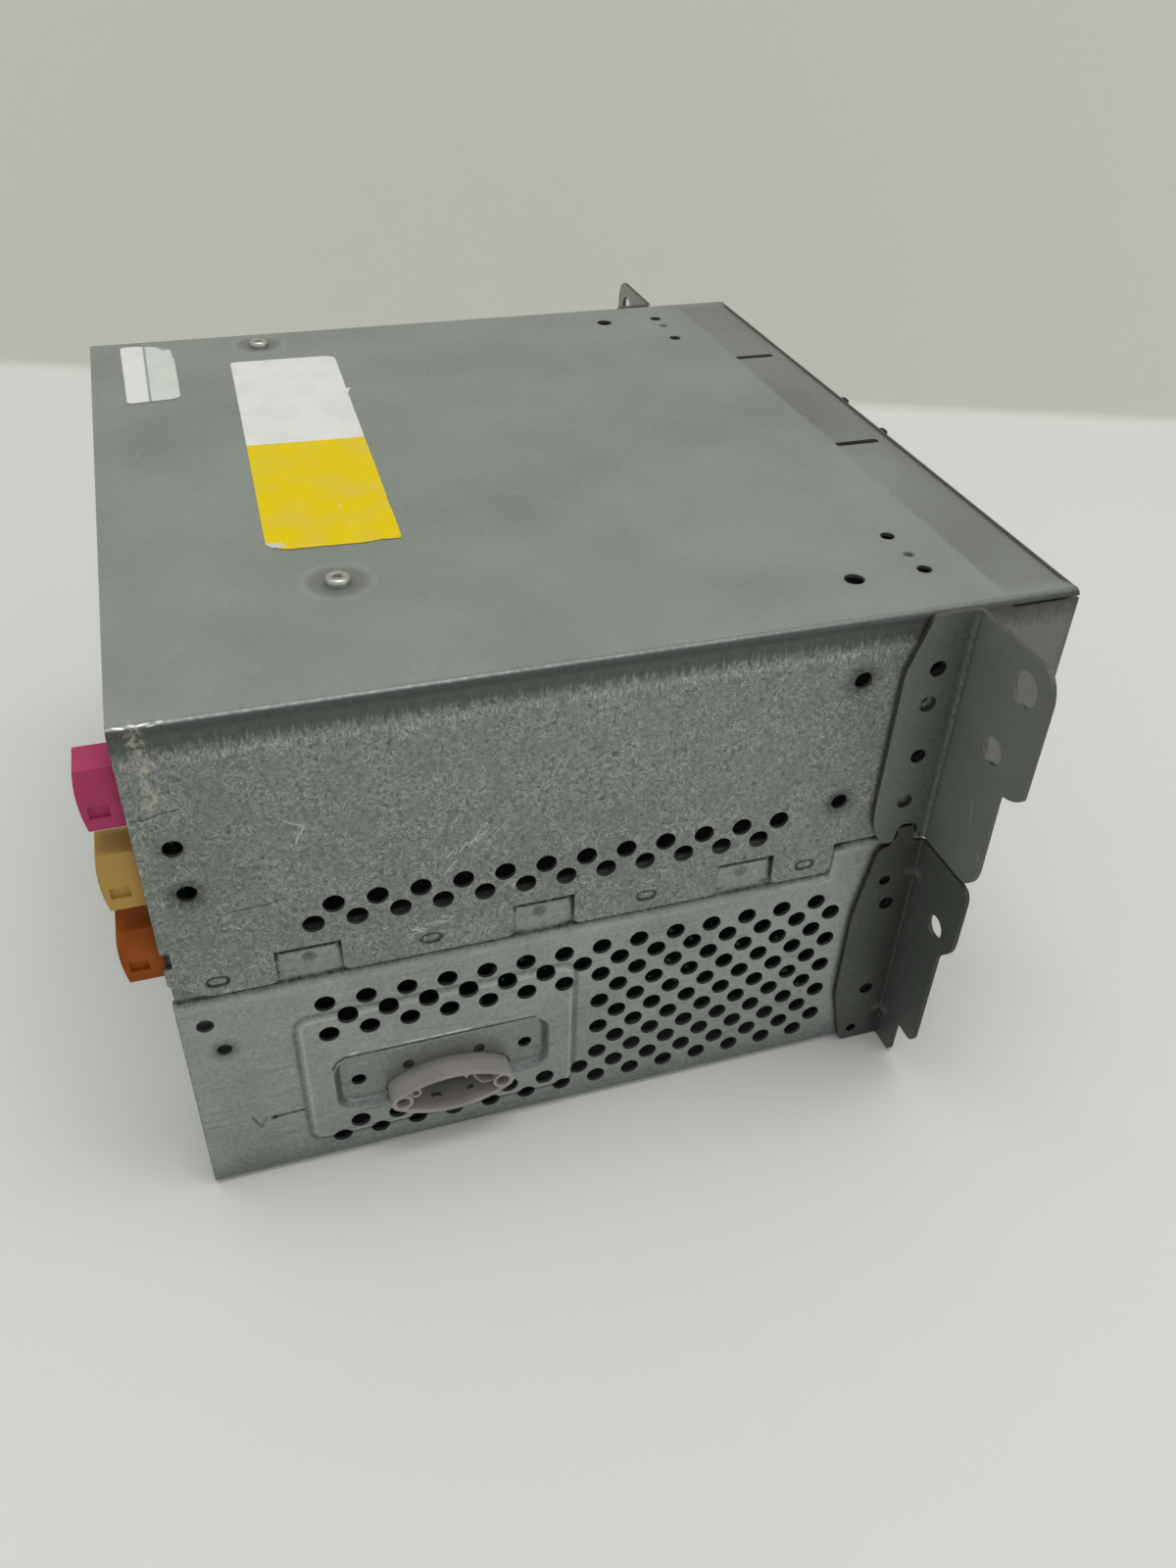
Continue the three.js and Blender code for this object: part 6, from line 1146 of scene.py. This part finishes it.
class CollarOperator(bpy.types.Operator):
    """Grey plastic collar in the left side: a lens-shaped wall with two eyes, a clip and a tooth"""
    bl_idname = "computer.side_collar"
    bl_label = "Side collar"

    def execute(self, context):
        eye = COLLAR["half"] - COLLAR["end"]
        centre = np.array([COLLAR["y"], COLLAR["z"]])

        def at(x):
            """Places flat (y, z) points on a plane across X that faces left."""
            def place(y, z):
                return np.column_stack([np.full(len(y), x), y, z]), np.tile((-1.0, 0.0, 0.0), (len(y), 1))
            return place

        # hollow: the inner outline less a round of 2.1 mm about each eye
        eyes = [centre + (side * eye, 0) for side in (-1, 1)]
        loop = lens(-1.0)
        gap = np.min([np.hypot(*(loop - c).T) for c in eyes], axis=0)
        hollow = [loop[(gap > 2.2) & (np.abs(loop[:, 0] - centre[0]) < eye)]]
        for c in eyes:
            disc = circle(c, 2.1, 60)
            within = inside(disc, [loop]) & (np.abs(disc[:, 0] - centre[0]) < eye)
            hollow.append(disc[within])
        hollow = np.vstack(hollow)
        hollow = hollow[np.argsort(np.arctan2(*(hollow - centre).T[::-1]))]
        tooth = np.array([(35.4, 21.7), (35.2, 21.0), (34.6, 19.9), (34.0, 21.0), (33.8, 21.7)])
        pocket = np.array([(32.4, 18.9), (31.1, 17.1), (28.8, 17.2), (28.2, 19.4), (32.8, 20.4)])
        web = pocket + (pocket - pocket.mean(0)) * 0.22
        curl = (45.3, 18.3)
        rounds = [circle(c, 1.45, 22) for c in eyes]
        # each part by its outline, holes, outer face and depth inwards from there
        wall = slab(lens(0.0), [hollow, *rounds], at(-92.8), 12.0)
        flange = slab(lens(2.4), [hollow, *rounds], at(-84.9), 1.2)
        clip = slab(rounded(web, 0.5, 3), [rounded(pocket, 0.5, 3)], at(-92.2), 5.0)
        hook = slab(rounded(tooth, 0.2, 3), [], at(-92.6), 5.0)
        roll = slab(circle(curl, 1.25, 22), [circle(curl, 0.75, 18)], at(-92.2), 5.0)
        points, faces, _ = joined(wall, flange, clip, hook, roll)
        piece = put("collar_ring", points, faces, [material("collar")], "case",
                    "side_collar")
        round_off(piece, 0.2)
        return {"FINISHED"}


class ConnectorsOperator(bpy.types.Operator):
    """Three coloured double aerial sockets at the left rear edge"""
    bl_idname = "computer.aerial_sockets"
    bl_label = "Aerial sockets"

    def execute(self, context):
        for colour in ("pink", "beige", "orange"):
            softened(f"aerial_socket_{colour}", f"coax_connector_{colour}", 0.3, material(colour), "case")
        return {"FINISHED"}


class ScrewsOperator(bpy.types.Operator):
    """Two pan-head screws with six-lobed sockets, in the dimples of the top"""
    bl_idname = "computer.top_screws"
    bl_label = "Top screws"

    def execute(self, context):
        profile = [(0.0, 116.0), (0.98, 116.0), (1.05, 116.72), (1.15, 116.82), (1.8, 116.84), (2.1, 116.74),
                   (2.3, 116.5), (2.4, 116.0), (2.4, 115.2), (2.3, 115.0), (1.3, 115.0), (1.25, 114.7),
                   (1.25, 108.6), (0.8, 108.0), (0.0, 108.0)]
        lobes = [0.0, 0.14, 0.14, 0.10] + [0.0] * 11
        for (x, y), word in zip(SCREWS, ("right", "left")):
            points, faces, _ = turned("z", (x, y, 0), profile, 72, lobes)
            put(f"pan_screw_{word}", points, faces, [material("screw")], "case",
                f"top_screw_{word}", sharp=35)
        return {"FINISHED"}


class LabelsOperator(bpy.types.Operator):
    """Two worn paper labels on the top, without any print"""
    bl_idname = "computer.labels"
    bl_label = "Labels"

    def execute(self, context):
        chance = np.random.default_rng(5)

        def worn(corners, tears):
            """A four-sided sheet of paper whose edge wanders by a tenth of a millimetre, with torn bites; a
            bite below 0 is a flap that stands out."""
            loop = rounded(corners, 1.4, 6)
            nxt = np.roll(loop, -1, 0)
            long = np.linalg.norm(nxt - loop, axis=1) > 4
            parts = [a + (b - a) * np.linspace(0, 1, 60, endpoint=False)[:, None] if far else a[None]
                     for a, b, far in zip(loop, nxt, long)]
            loop = np.vstack(parts)
            inward = loop.mean(0) - loop
            inward = inward / np.linalg.norm(inward, axis=1)[:, None]
            loop = loop + inward * chance.uniform(0, 0.14, (len(loop), 1))
            for *c, radius, bite in tears:
                ragged = bite * spot(*loop.T, c, 0.0, radius) * chance.uniform(0.6, 1.0, len(loop))
                loop = loop + inward * ragged[:, None]
            return loop

        def flat_on(x, y):
            """Points just above the rippled top."""
            height = TOP + 0.16 + ripple(x, y)
            return np.column_stack([x, y, height]), np.tile((0.0, 0.0, 1.0), (len(x), 1))

        large = worn([(67.5, 54.5), (-35.9, 57.3), (-37.1, 31.3), (67.4, 28.5)],
                     [(-36, 57, 4, 1.6), (-37, 34, 5, 0.9), (-20, 30.9, 3, 0.6), (40, 29.2, 1.6, 0.6),
                      (41.8, 29.2, 1.7, -3.2), (67, 29, 3, 0.8)])
        small = worn([(85.1, 80.6), (45.4, 80.0), (46.3, 67.8), (82.9, 67.6)],
                     [(83, 67.6, 7, 2.6), (76, 67.6, 4, 1.1), (46, 68, 3, 0.6), (85, 80, 3, 0.6)])
        for name, loop, look, node in (("large_label", large, "label", "label_large"),
                                       ("small_label", small, "small label", "label_small")):
            points, faces, _ = slab(loop, [], flat_on, 0.1, 2.5)
            put(name, points, faces, [material(look)], "case", node)
        return {"FINISHED"}


def facing(y, out):
    """Places flat (x, z) points on a plane across Y, facing the rear (out=1) or the front (out=-1)."""
    def place(x, z):
        return np.column_stack([x, np.full(len(x), y), z]), np.tile((0.0, float(out), 0.0), (len(x), 1))
    return place


def pan(outer, out, holes, depth, side, floor, creases, push, notch=None, shelf=0.0):
    """A shallow pan: a holed face with a rounded edge, and four flanges that run into the case. A notch
    (x, low, high) takes a piece out of its left edge, and a shelf makes the lower flange deeper."""
    top, thick, curve, inset = 114.6, 0.8, 0.9, 1.2
    outline = rounded_box((-side, side), (floor, top), 1.0)
    wall_top = top - inset
    if notch is not None:
        x, low, high = notch
        outline = rounded([(side, floor), (side, top), (-side, top), (-side, high), (x, high), (x, low),
                           (-side, low), (-side, floor)], curve, 5)
        wall_top = low - 0.2
    edges = [rounded_box((-side + d, side - d), (floor + d, top - d), curve) for d in (0.25, 0.6, 1.0, 1.6)]

    def place(x, z):
        """The face drops to its edge by a quarter circle over the last millimetre, and is pushed out by
        push(x, z)."""
        points, normal = facing(outer, out)(x, z)
        gap = -to_box(x, z, (-side, side), (floor, top), 1.0)
        drop = curve * (1 - np.sqrt(np.clip(1 - (1 - np.clip(gap, 0, 1)) ** 2, 0, 1)))
        points[:, 1] -= out * drop
        points[:, 1] += out * push(x, z)
        return points, normal

    flat, tris = flat_mesh(outline, holes, [*edges, *creases], (), 7.0)
    parts = [sheet(flat, tris, place, thick)]
    span = sorted((outer - out * curve, outer - out * depth))
    for z, up, more in ((floor, -1.0, shelf), (top, 1.0, 0.0)):
        def lid(x, y, z=z, up=up):
            """The lower or the upper flange, level at z."""
            return np.column_stack([x, y, np.full(len(x), z)]), np.tile((0.0, 0.0, up), (len(x), 1))
        reach = sorted((outer - out * curve, outer - out * (depth + more)))
        parts.append(slab(rounded_box((-side + inset, side - inset), reach, 0.4), [], lid, thick, 12.0))
    for x, way in ((-side, -1.0), (side, 1.0)):
        def wall(y, z, x=x, way=way):
            """The left or the right flange, upright at x."""
            return np.column_stack([np.full(len(y), x), y, z]), np.tile((way, 0.0, 0.0), (len(y), 1))
        high = wall_top if way < 0 else top - inset
        parts.append(slab(rounded_box(span, (floor + inset, high), 0.4), [], wall, thick, 12.0))
    return joined(*parts)


class FrontOperator(bpy.types.Operator):
    """Front plate with its holes, the disc slot's bezel with its two hooks, and the fascia connector"""
    bl_idname = "computer.front"
    bl_label = "Front plate and bezel"

    def execute(self, context):
        slot = rounded_box((DRIVE_X - 63.3, DRIVE_X + 63.3), (89.0, 97.0), 0.6, 3)
        spots = [(-75.65, 76.36), (84.55, 76.36), (82.77, 104.13), (-53.4, 104.13)]
        holes = [slot, *[circle(c, 2.0, 28) for c in spots]]
        rib, rib_z = (-62.0, 66.0), (71.5, 82.5)
        creases = contours(rib, rib_z, 3.0, 1.4)
        creases += [loop for c in spots for loop in ring_marks(c, (2.4, 3.2, 4.0, 4.6))]

        def push(x, z):
            """The rib lies 0.5 mm in, and each screw hole in a dimple 0.3 mm deep."""
            out = -0.5 * ease(-to_box(x, z, rib, rib_z, 3.0) / 1.4)
            for c in spots:
                out = out - 0.3 * spot(x, z, c, 2.2, 1.9)
            return out
        points, faces, rim = pan(-END, -1, holes, 10.5, SIDE - 1.1, OVERHANG, creases, push, shelf=11.7)
        # painted shade where the cover laps over the plate's edge
        hidden = (points[:, 2] > 112.5) | (np.abs(points[:, 0]) > SIDE - 2.0)
        put("front_sheet", points, faces, [material("housing"), material("edge")], "case",
            "front_plate", rim, soil=0.95 * hidden)
        softened("disc_slot_bezel", "slot_bezel", 0.3, material("black"), "case")
        softened("fascia_socket", "fascia_connector", 0.2, material("black"), "case")
        return {"FINISHED"}


class RearOperator(bpy.types.Operator):
    """Rear panel with its grille and vents, the main header, and the fan's frame and rotor"""
    bl_idname = "computer.rear"
    bl_label = "Rear panel and fan"

    def execute(self, context):
        outer = END - GAP
        holes = self.panel_holes()
        creases = [circle(FAN, r, 48) for r in (18.6, 19.2, 19.8, 20.4, 21.2)]

        def push(x, z):
            """The fan's grille stands 0.4 mm proud."""
            return 0.4 * spot(x, z, FAN, 18.9, 1.6)
        # notch for the aerial sockets: how far in, from and up to which height
        notch = (-79.9, 60.1, 108.8)
        points, faces, rim = pan(outer, 1, holes, 10.5, SIDE - 2.1, 1.1, creases, push, notch)
        put("rear_sheet", points, faces, [material("housing"), material("edge")], "case",
            "rear_panel", rim)
        softened("main_header_shroud", "main_header", 0.3, material("black"), "case")
        self.fan()
        return {"FINISHED"}

    def panel_holes(self):
        """Grille slots over the fan, five vent slots, and the opening for the main header."""
        radius, count, (x, z) = 17.1, 7, FAN
        pitch = 2 * radius / count
        levels = (np.arange(count) - (count - 1) / 2) * pitch
        halves = np.sqrt(radius ** 2 - (np.abs(levels) + pitch / 4) ** 2)
        slots = [rounded_box((x - half, x + half), (z + level - 1.34, z + level + 1.34), 1.2)
                 for level, half in zip(levels, halves)]
        vents = [rounded_box((-42.0, -18.0), (middle - 1.5, middle + 1.5), 1.4)
                 for middle in (65.0, 73.0, 81.0, 89.0, 97.0)]
        return [*slots, *vents, rounded_box((-23.1, 31.1), (11.6, 40.2), 0.6)]

    def fan(self):
        """Frame: a square plate with a round bore, four spokes and a hub. Rotor: a hub and seven blades,
        each a grid over the radius and the way along it from -0.5 to 0.5; the blade leans by 38 to 26
        degrees, is cambered by a parabola 0.9 mm high and wrapped about the axis."""
        front, rear, blade_count = 76.2, 86.4, 7
        axle, centre = (FAN[0], 0, FAN[1]), np.array(FAN)
        square = rounded_box((46.0, 86.0), (14.0, 54.0), 2.6)
        corners = [circle(centre + (a * 16, b * 16), 1.7, 20) for a in (-1, 1) for b in (-1, 1)]
        ring = slab(square, [circle(centre, 18.6, 72), *corners], facing(rear, 1), rear - front, 8.0)
        plate = 1.6
        hub = turned("y", axle, [(0, front), (8.6, front), (9.0, front + 0.3), (9.0, front + plate),
                                 (0, front + plate)], 48)
        spokes = [slab(rotated_bar(centre, turn, 8.0, 19.2, 2.4), [], facing(front + plate, 1), plate, 8.0)
                  for turn in (0, 90, 180, 270)]
        points, faces, _ = joined(ring, hub, *spokes)
        piece = put("fan_housing", points, faces, [material("black")], "case", "fan_frame")
        round_off(piece, 0.25)
        low, high = front + 1.9, rear - 1.0
        hub = turned("y", axle, [(0, low), (8.4, low), (9.0, low + 0.5), (9.0, high - 0.6), (8.4, high),
                                 (5.0, high), (4.6, high - 0.25), (0, high - 0.25)], 48)
        root, tip, rows = 8.2, 17.5, 9
        radius, along = np.meshgrid(np.linspace(root, tip, rows), np.linspace(-0.5, 0.5, rows), indexing="ij")
        chord = (high - low) * 0.92
        lean = np.radians(38 - 12 * (radius - root) / 9.3)
        camber = 0.9 * (1 - (2 * along) ** 2)
        y = (low + high) / 2 + along * chord * np.cos(lean) * 0.98 - camber * np.sin(lean) * 0.3
        sweep = along * chord * np.sin(lean) + camber
        blades = []
        for k in range(blade_count):
            turn = 2 * np.pi * k / blade_count + sweep / radius
            skin = np.stack([FAN[0] + radius * np.cos(turn), y, FAN[1] + radius * np.sin(turn)], -1)
            blades.append(thick_patch(skin.reshape(-1, 3), rows, rows, 0.9))
        points, faces, _ = joined(hub, *blades)
        put("fan_wheel", points, faces, [material("black")], "fan_rotor", "fan_rotor")


def rotated_bar(centre, degrees, start, stop, width):
    """A rectangle from one radius to another, turned about the centre."""
    turn = math.radians(degrees)
    box = np.array([(start, -width / 2), (stop, -width / 2), (stop, width / 2), (start, width / 2)])
    spin = np.array([[math.cos(turn), math.sin(turn)], [-math.sin(turn), math.cos(turn)]])
    return box @ spin + centre


def thick_patch(skin, rows, columns, thickness):
    """A rows by columns patch of points made a closed sheet: half the thickness each way along the cross
    product of its two directions."""
    grid = skin.reshape(rows, columns, 3)
    normal = np.cross(np.gradient(grid, axis=0), np.gradient(grid, axis=1)).reshape(-1, 3)
    normal /= np.linalg.norm(normal, axis=1)[:, None]
    i, j = np.meshgrid(np.arange(rows - 1), np.arange(columns - 1), indexing="ij")
    a = (i * columns + j).ravel()
    b, c, d = a + columns, a + columns + 1, a + 1
    tris = np.vstack([np.column_stack([a, b, c]), np.column_stack([a, c, d])])
    faces, back, quads = walled(tris, len(skin))
    points = np.vstack([skin + normal * thickness / 2, skin - normal * thickness / 2])
    return points, [*faces.tolist(), *back.tolist(), *quads.tolist()], np.zeros(len(faces) * 2 + len(quads))


# Finish of the inner pieces by the record's material slot
INSIDE = {
    "zinc_sheet": "inner", "bracket_sheet": "bracket", "bright_steel": "bright",
    "machined_aluminium": "aluminium", "grey_plastic": "collar", "black_plastic": "black",
    "white_plastic": "white", "pink_plastic": "pink", "beige_plastic": "beige", "orange_plastic": "orange",
    "circuit_board": "board", "black_rubber": "rubber", "copper_winding": "copper", "brass": "brass",
    "label_stock": "small label", "flex_film": "film",
}


class InsidesOperator(bpy.types.Operator):
    """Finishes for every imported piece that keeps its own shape: drive, boards, disk and fittings"""
    bl_idname = "computer.insides"
    bl_label = "Inner parts"

    def execute(self, context):
        for row in frame["record"]["subparts"]:
            node = NODES[row["node"]]
            made = material(INSIDE[row["material_slot"]])
            node.data.materials.clear()
            node.data.materials.append(made)
        return {"FINISHED"}


# Stage

class StageOperator(bpy.types.Operator):
    """Pale table and wall, soft light and the camera"""
    bl_idname = "computer.stage"
    bl_label = "Stage"

    def execute(self, context):
        look = context.scene.computer_stage
        self.floor(look)
        self.lights(context.scene, look)
        self.camera(context.scene)
        context.scene.view_settings.view_transform = "Standard"
        return {"FINISHED"}

    def floor(self, look):
        """A table whose far edge runs along a line behind the object, and a wall beyond it: along the line
        the profile is flat, then a short round cove, then upright."""
        a, b = np.array([408.7, 144.4]), np.array([210.0, -380.8])
        along = (b - a) / np.linalg.norm(b - a)
        out = np.array([-along[1], along[0]])
        turn = np.linspace(0, np.pi / 2, 13)
        radius, back = 6.0, 3.0
        profile = np.array([(-2400.0, 0.0), (-600.0, 0.0),
                            *zip(radius * np.sin(turn) - back, radius * (1 - np.cos(turn))),
                            (radius - back, 400.0), (radius - back, 2200.0)])
        ends = np.linspace(-2600, 3200, 9)
        p, e = np.meshgrid(np.arange(len(profile)), ends, indexing="ij")
        flat = a[None, None] + along * e[..., None] + out * profile[p][..., :1]
        points = np.concatenate([flat, profile[p][..., 1:]], -1).reshape(-1, 3)
        n = len(ends)
        i, j = np.meshgrid(np.arange(len(profile) - 1), np.arange(n - 1), indexing="ij")
        k = (i * n + j).ravel()
        quads = np.column_stack([k, k + 1, k + n + 1, k + n])
        mesh = bpy.data.meshes.new("table and wall")
        mesh.from_pydata((points * MM).tolist(), [], quads.tolist())
        mesh.update()
        if mesh.polygons[0].normal.z < 0:
            mesh.flip_normals()
        mesh.shade_smooth()
        mesh.materials.append(self.board(look))
        floor = bpy.data.objects.new("table_and_wall", mesh)
        bpy.context.scene.collection.objects.link(floor)

    def board(self, look):
        """Matt painted board: one even tone on the table and one on the wall, which meet in the cove."""
        made, tree, shader, place = new_material("matt painted board", Roughness=0.75)
        axes = add(tree, "ShaderNodeSeparateXYZ", {0: place})
        up = add(tree, "ShaderNodeMapRange", {"Value": axes.outputs[2], 1: 0.0, 2: 3.0, 3: 0.0, 4: 1.0},
                 interpolation_type="SMOOTHSTEP")
        mixed = add(tree, "ShaderNodeMix", {0: up, 6: (*look.floor, 1.0), 7: (*look.wall, 1.0)},
                    data_type="RGBA")
        fill(tree, shader, {"Base Color": mixed})
        return made

    def lights(self, scene, look):
        """A wide ceiling panel, a weak panel from the left front, and the even light of the room."""
        def lamp(name, place, target, size, power):
            """A round panel of light at a place, aimed at a target."""
            data = bpy.data.lights.new(name, "AREA")
            data.shape, data.size, data.energy = "DISK", size, power
            panel = bpy.data.objects.new(name, data)
            scene.collection.objects.link(panel)
            panel.location = place
            panel.rotation_euler = (Vector(target) - Vector(place)).to_track_quat("-Z", "Y").to_euler()
        lamp("ceiling panel", (0.35, -0.25, 2.2), (0, 0, 0.05), 2.0, look.lamp)
        lamp("side panel", (-1.2, -1.3, 1.1), (0, 0, 0.05), 1.2, look.lamp * 0.06)
        world = bpy.data.worlds.new("soft room")
        world.use_nodes = True
        world.node_tree.nodes["Background"].inputs[0].default_value = (1.0, 1.0, 0.99, 1.0)
        world.node_tree.nodes["Background"].inputs[1].default_value = look.room
        scene.world = world

    def camera(self, scene):
        """The camera of the photograph, solved from the case's corners: columns are right, up and back."""
        right = Vector((-0.30477426, -0.95193717, 0.03046753))
        ahead = Vector((0.74653069, -0.2586313, -0.61302674))
        up = right.cross(ahead)
        turn = Matrix((right, up, -ahead)).transposed()
        data = bpy.data.cameras.new("camera")
        data.lens, data.sensor_width, data.sensor_fit = 29.18, 36.0, "AUTO"
        data.clip_start, data.clip_end = 0.01, 20.0
        camera = bpy.data.objects.new("camera", data)
        scene.collection.objects.link(camera)
        camera.matrix_world = Matrix.Translation((-0.261305, 0.068883, 0.230976)) @ turn.to_4x4()
        scene.camera = camera


# Sizes, colours, panel

def colour_setting(name, text, code):
    """A colour that a user may change; its default is an sRGB hex code turned linear."""
    return bpy.props.FloatVectorProperty(name=name, description=text, default=linear(code)[:3], size=3,
                                         min=0.0, max=1.0, subtype="COLOR")


def size_setting(name, text, millimetres):
    """A length that a user may change, in metres."""
    return bpy.props.FloatProperty(name=name, description=text, default=millimetres * MM, min=0.0,
                                   precision=5, subtype="DISTANCE", unit="LENGTH")


class ComputerSizes(bpy.types.PropertyGroup):
    """Sizes of the sheet metal"""
    sheet: size_setting("Sheet", "Thickness of the case's sheet", 0.8)
    cover_bend: size_setting("Cover bend", "Outer radius of the cover's folds", 1.5)
    housing_bend: size_setting("Housing bend", "Outer radius of the housing's folds", 2.2)
    vent_radius: size_setting("Vent radius", "Radius of the cooling holes", 2.05)


class ComputerFinishes(bpy.types.PropertyGroup):
    """Colours of the finishes"""
    cover: colour_setting("Cover", "Galvanised sheet of the cover", "#a1a7a4")
    # painted shade: the grey that the cover's sides are multiplied by, darker than the top as they get less
    # light
    cover_side: colour_setting("Cover side", "How much duller its sides are", "#dfdfdf")
    zinc: colour_setting("Zinc", "Galvanised sheet of the housing", "#a2a8a4")
    zinc_shade: colour_setting("Zinc shade", "Darker clouds and specks of the sheet", "#626762")
    zinc_light: colour_setting("Zinc light", "Bright crystal edges and rubbed metal", "#ced2cb")
    zinc_band: colour_setting("Zinc band", "Dark band under the cover's fold", "#545854")
    bracket: colour_setting("Bracket", "Sheet of the upper brackets", "#959b95")
    bracket_shade: colour_setting("Bracket shade", "Darker clouds of the upper brackets", "#838883")
    low_bracket: colour_setting("Lower bracket", "Sheet of the lower brackets", "#696e68")
    low_bracket_shade: colour_setting("Lower bracket shade", "Darker clouds of the lower brackets", "#5c615b")
    collar: colour_setting("Collar", "Plastic of the side collar", "#928e88")
    pink: colour_setting("Pink socket", "First aerial socket", "#aa3a60")
    beige: colour_setting("Beige socket", "Second aerial socket", "#b08c48")
    orange: colour_setting("Orange socket", "Third aerial socket", "#864002")
    label_white: colour_setting("Label white", "White label stock", "#dbdcd9")
    label_yellow: colour_setting("Label yellow", "Yellow label stock", "#e0c400")


class ComputerStage(bpy.types.PropertyGroup):
    """Floor, wall and light"""
    floor: colour_setting("Floor", "Painted table", "#d8dad6")
    wall: colour_setting("Wall", "Painted wall behind", "#dbdbd1")
    lamp: bpy.props.FloatProperty(name="Ceiling lamp", description="Power of the ceiling panel", default=44.0,
                                  min=0.0, subtype="POWER", unit="POWER")
    room: bpy.props.FloatProperty(name="Room light", description="Strength of the even light of the room",
                                  default=0.62, min=0.0)


class ComputerPanel(bpy.types.Panel):
    """Lists the settings and the pieces"""
    bl_idname = "VIEW3D_PT_computer"
    bl_label = "Navigation computer"
    bl_space_type = "VIEW_3D"
    bl_region_type = "UI"
    bl_category = "Navigation computer"

    def draw(self, context):
        for name in ("computer_sizes", "computer_finishes", "computer_stage"):
            group = getattr(context.scene, name)
            box = self.layout.box()
            box.label(text=group.bl_rna.description)
            for key in group.__annotations__:
                box.prop(group, key)
        for operator in PIECES:
            self.layout.operator(operator.bl_idname)


PIECES = (CoverOperator, HousingOperator, BracketsOperator, CollarOperator, ConnectorsOperator,
          ScrewsOperator, LabelsOperator, FrontOperator, RearOperator, InsidesOperator, StageOperator)
GROUPS = {"computer_sizes": ComputerSizes, "computer_finishes": ComputerFinishes,
          "computer_stage": ComputerStage}


def register():
    for group in (*GROUPS.values(), *PIECES, ComputerPanel):
        bpy.utils.register_class(group)
    for name, group in GROUPS.items():
        setattr(bpy.types.Scene, name, bpy.props.PointerProperty(type=group))


def unregister():
    for name in GROUPS:
        delattr(bpy.types.Scene, name)
    for group in reversed((*GROUPS.values(), *PIECES, ComputerPanel)):
        bpy.utils.unregister_class(group)


def main():
    register()
    for piece in PIECES:
        group, name = piece.bl_idname.split(".")
        getattr(getattr(bpy.ops, group), name)()


if __name__ == "__main__":
    main()
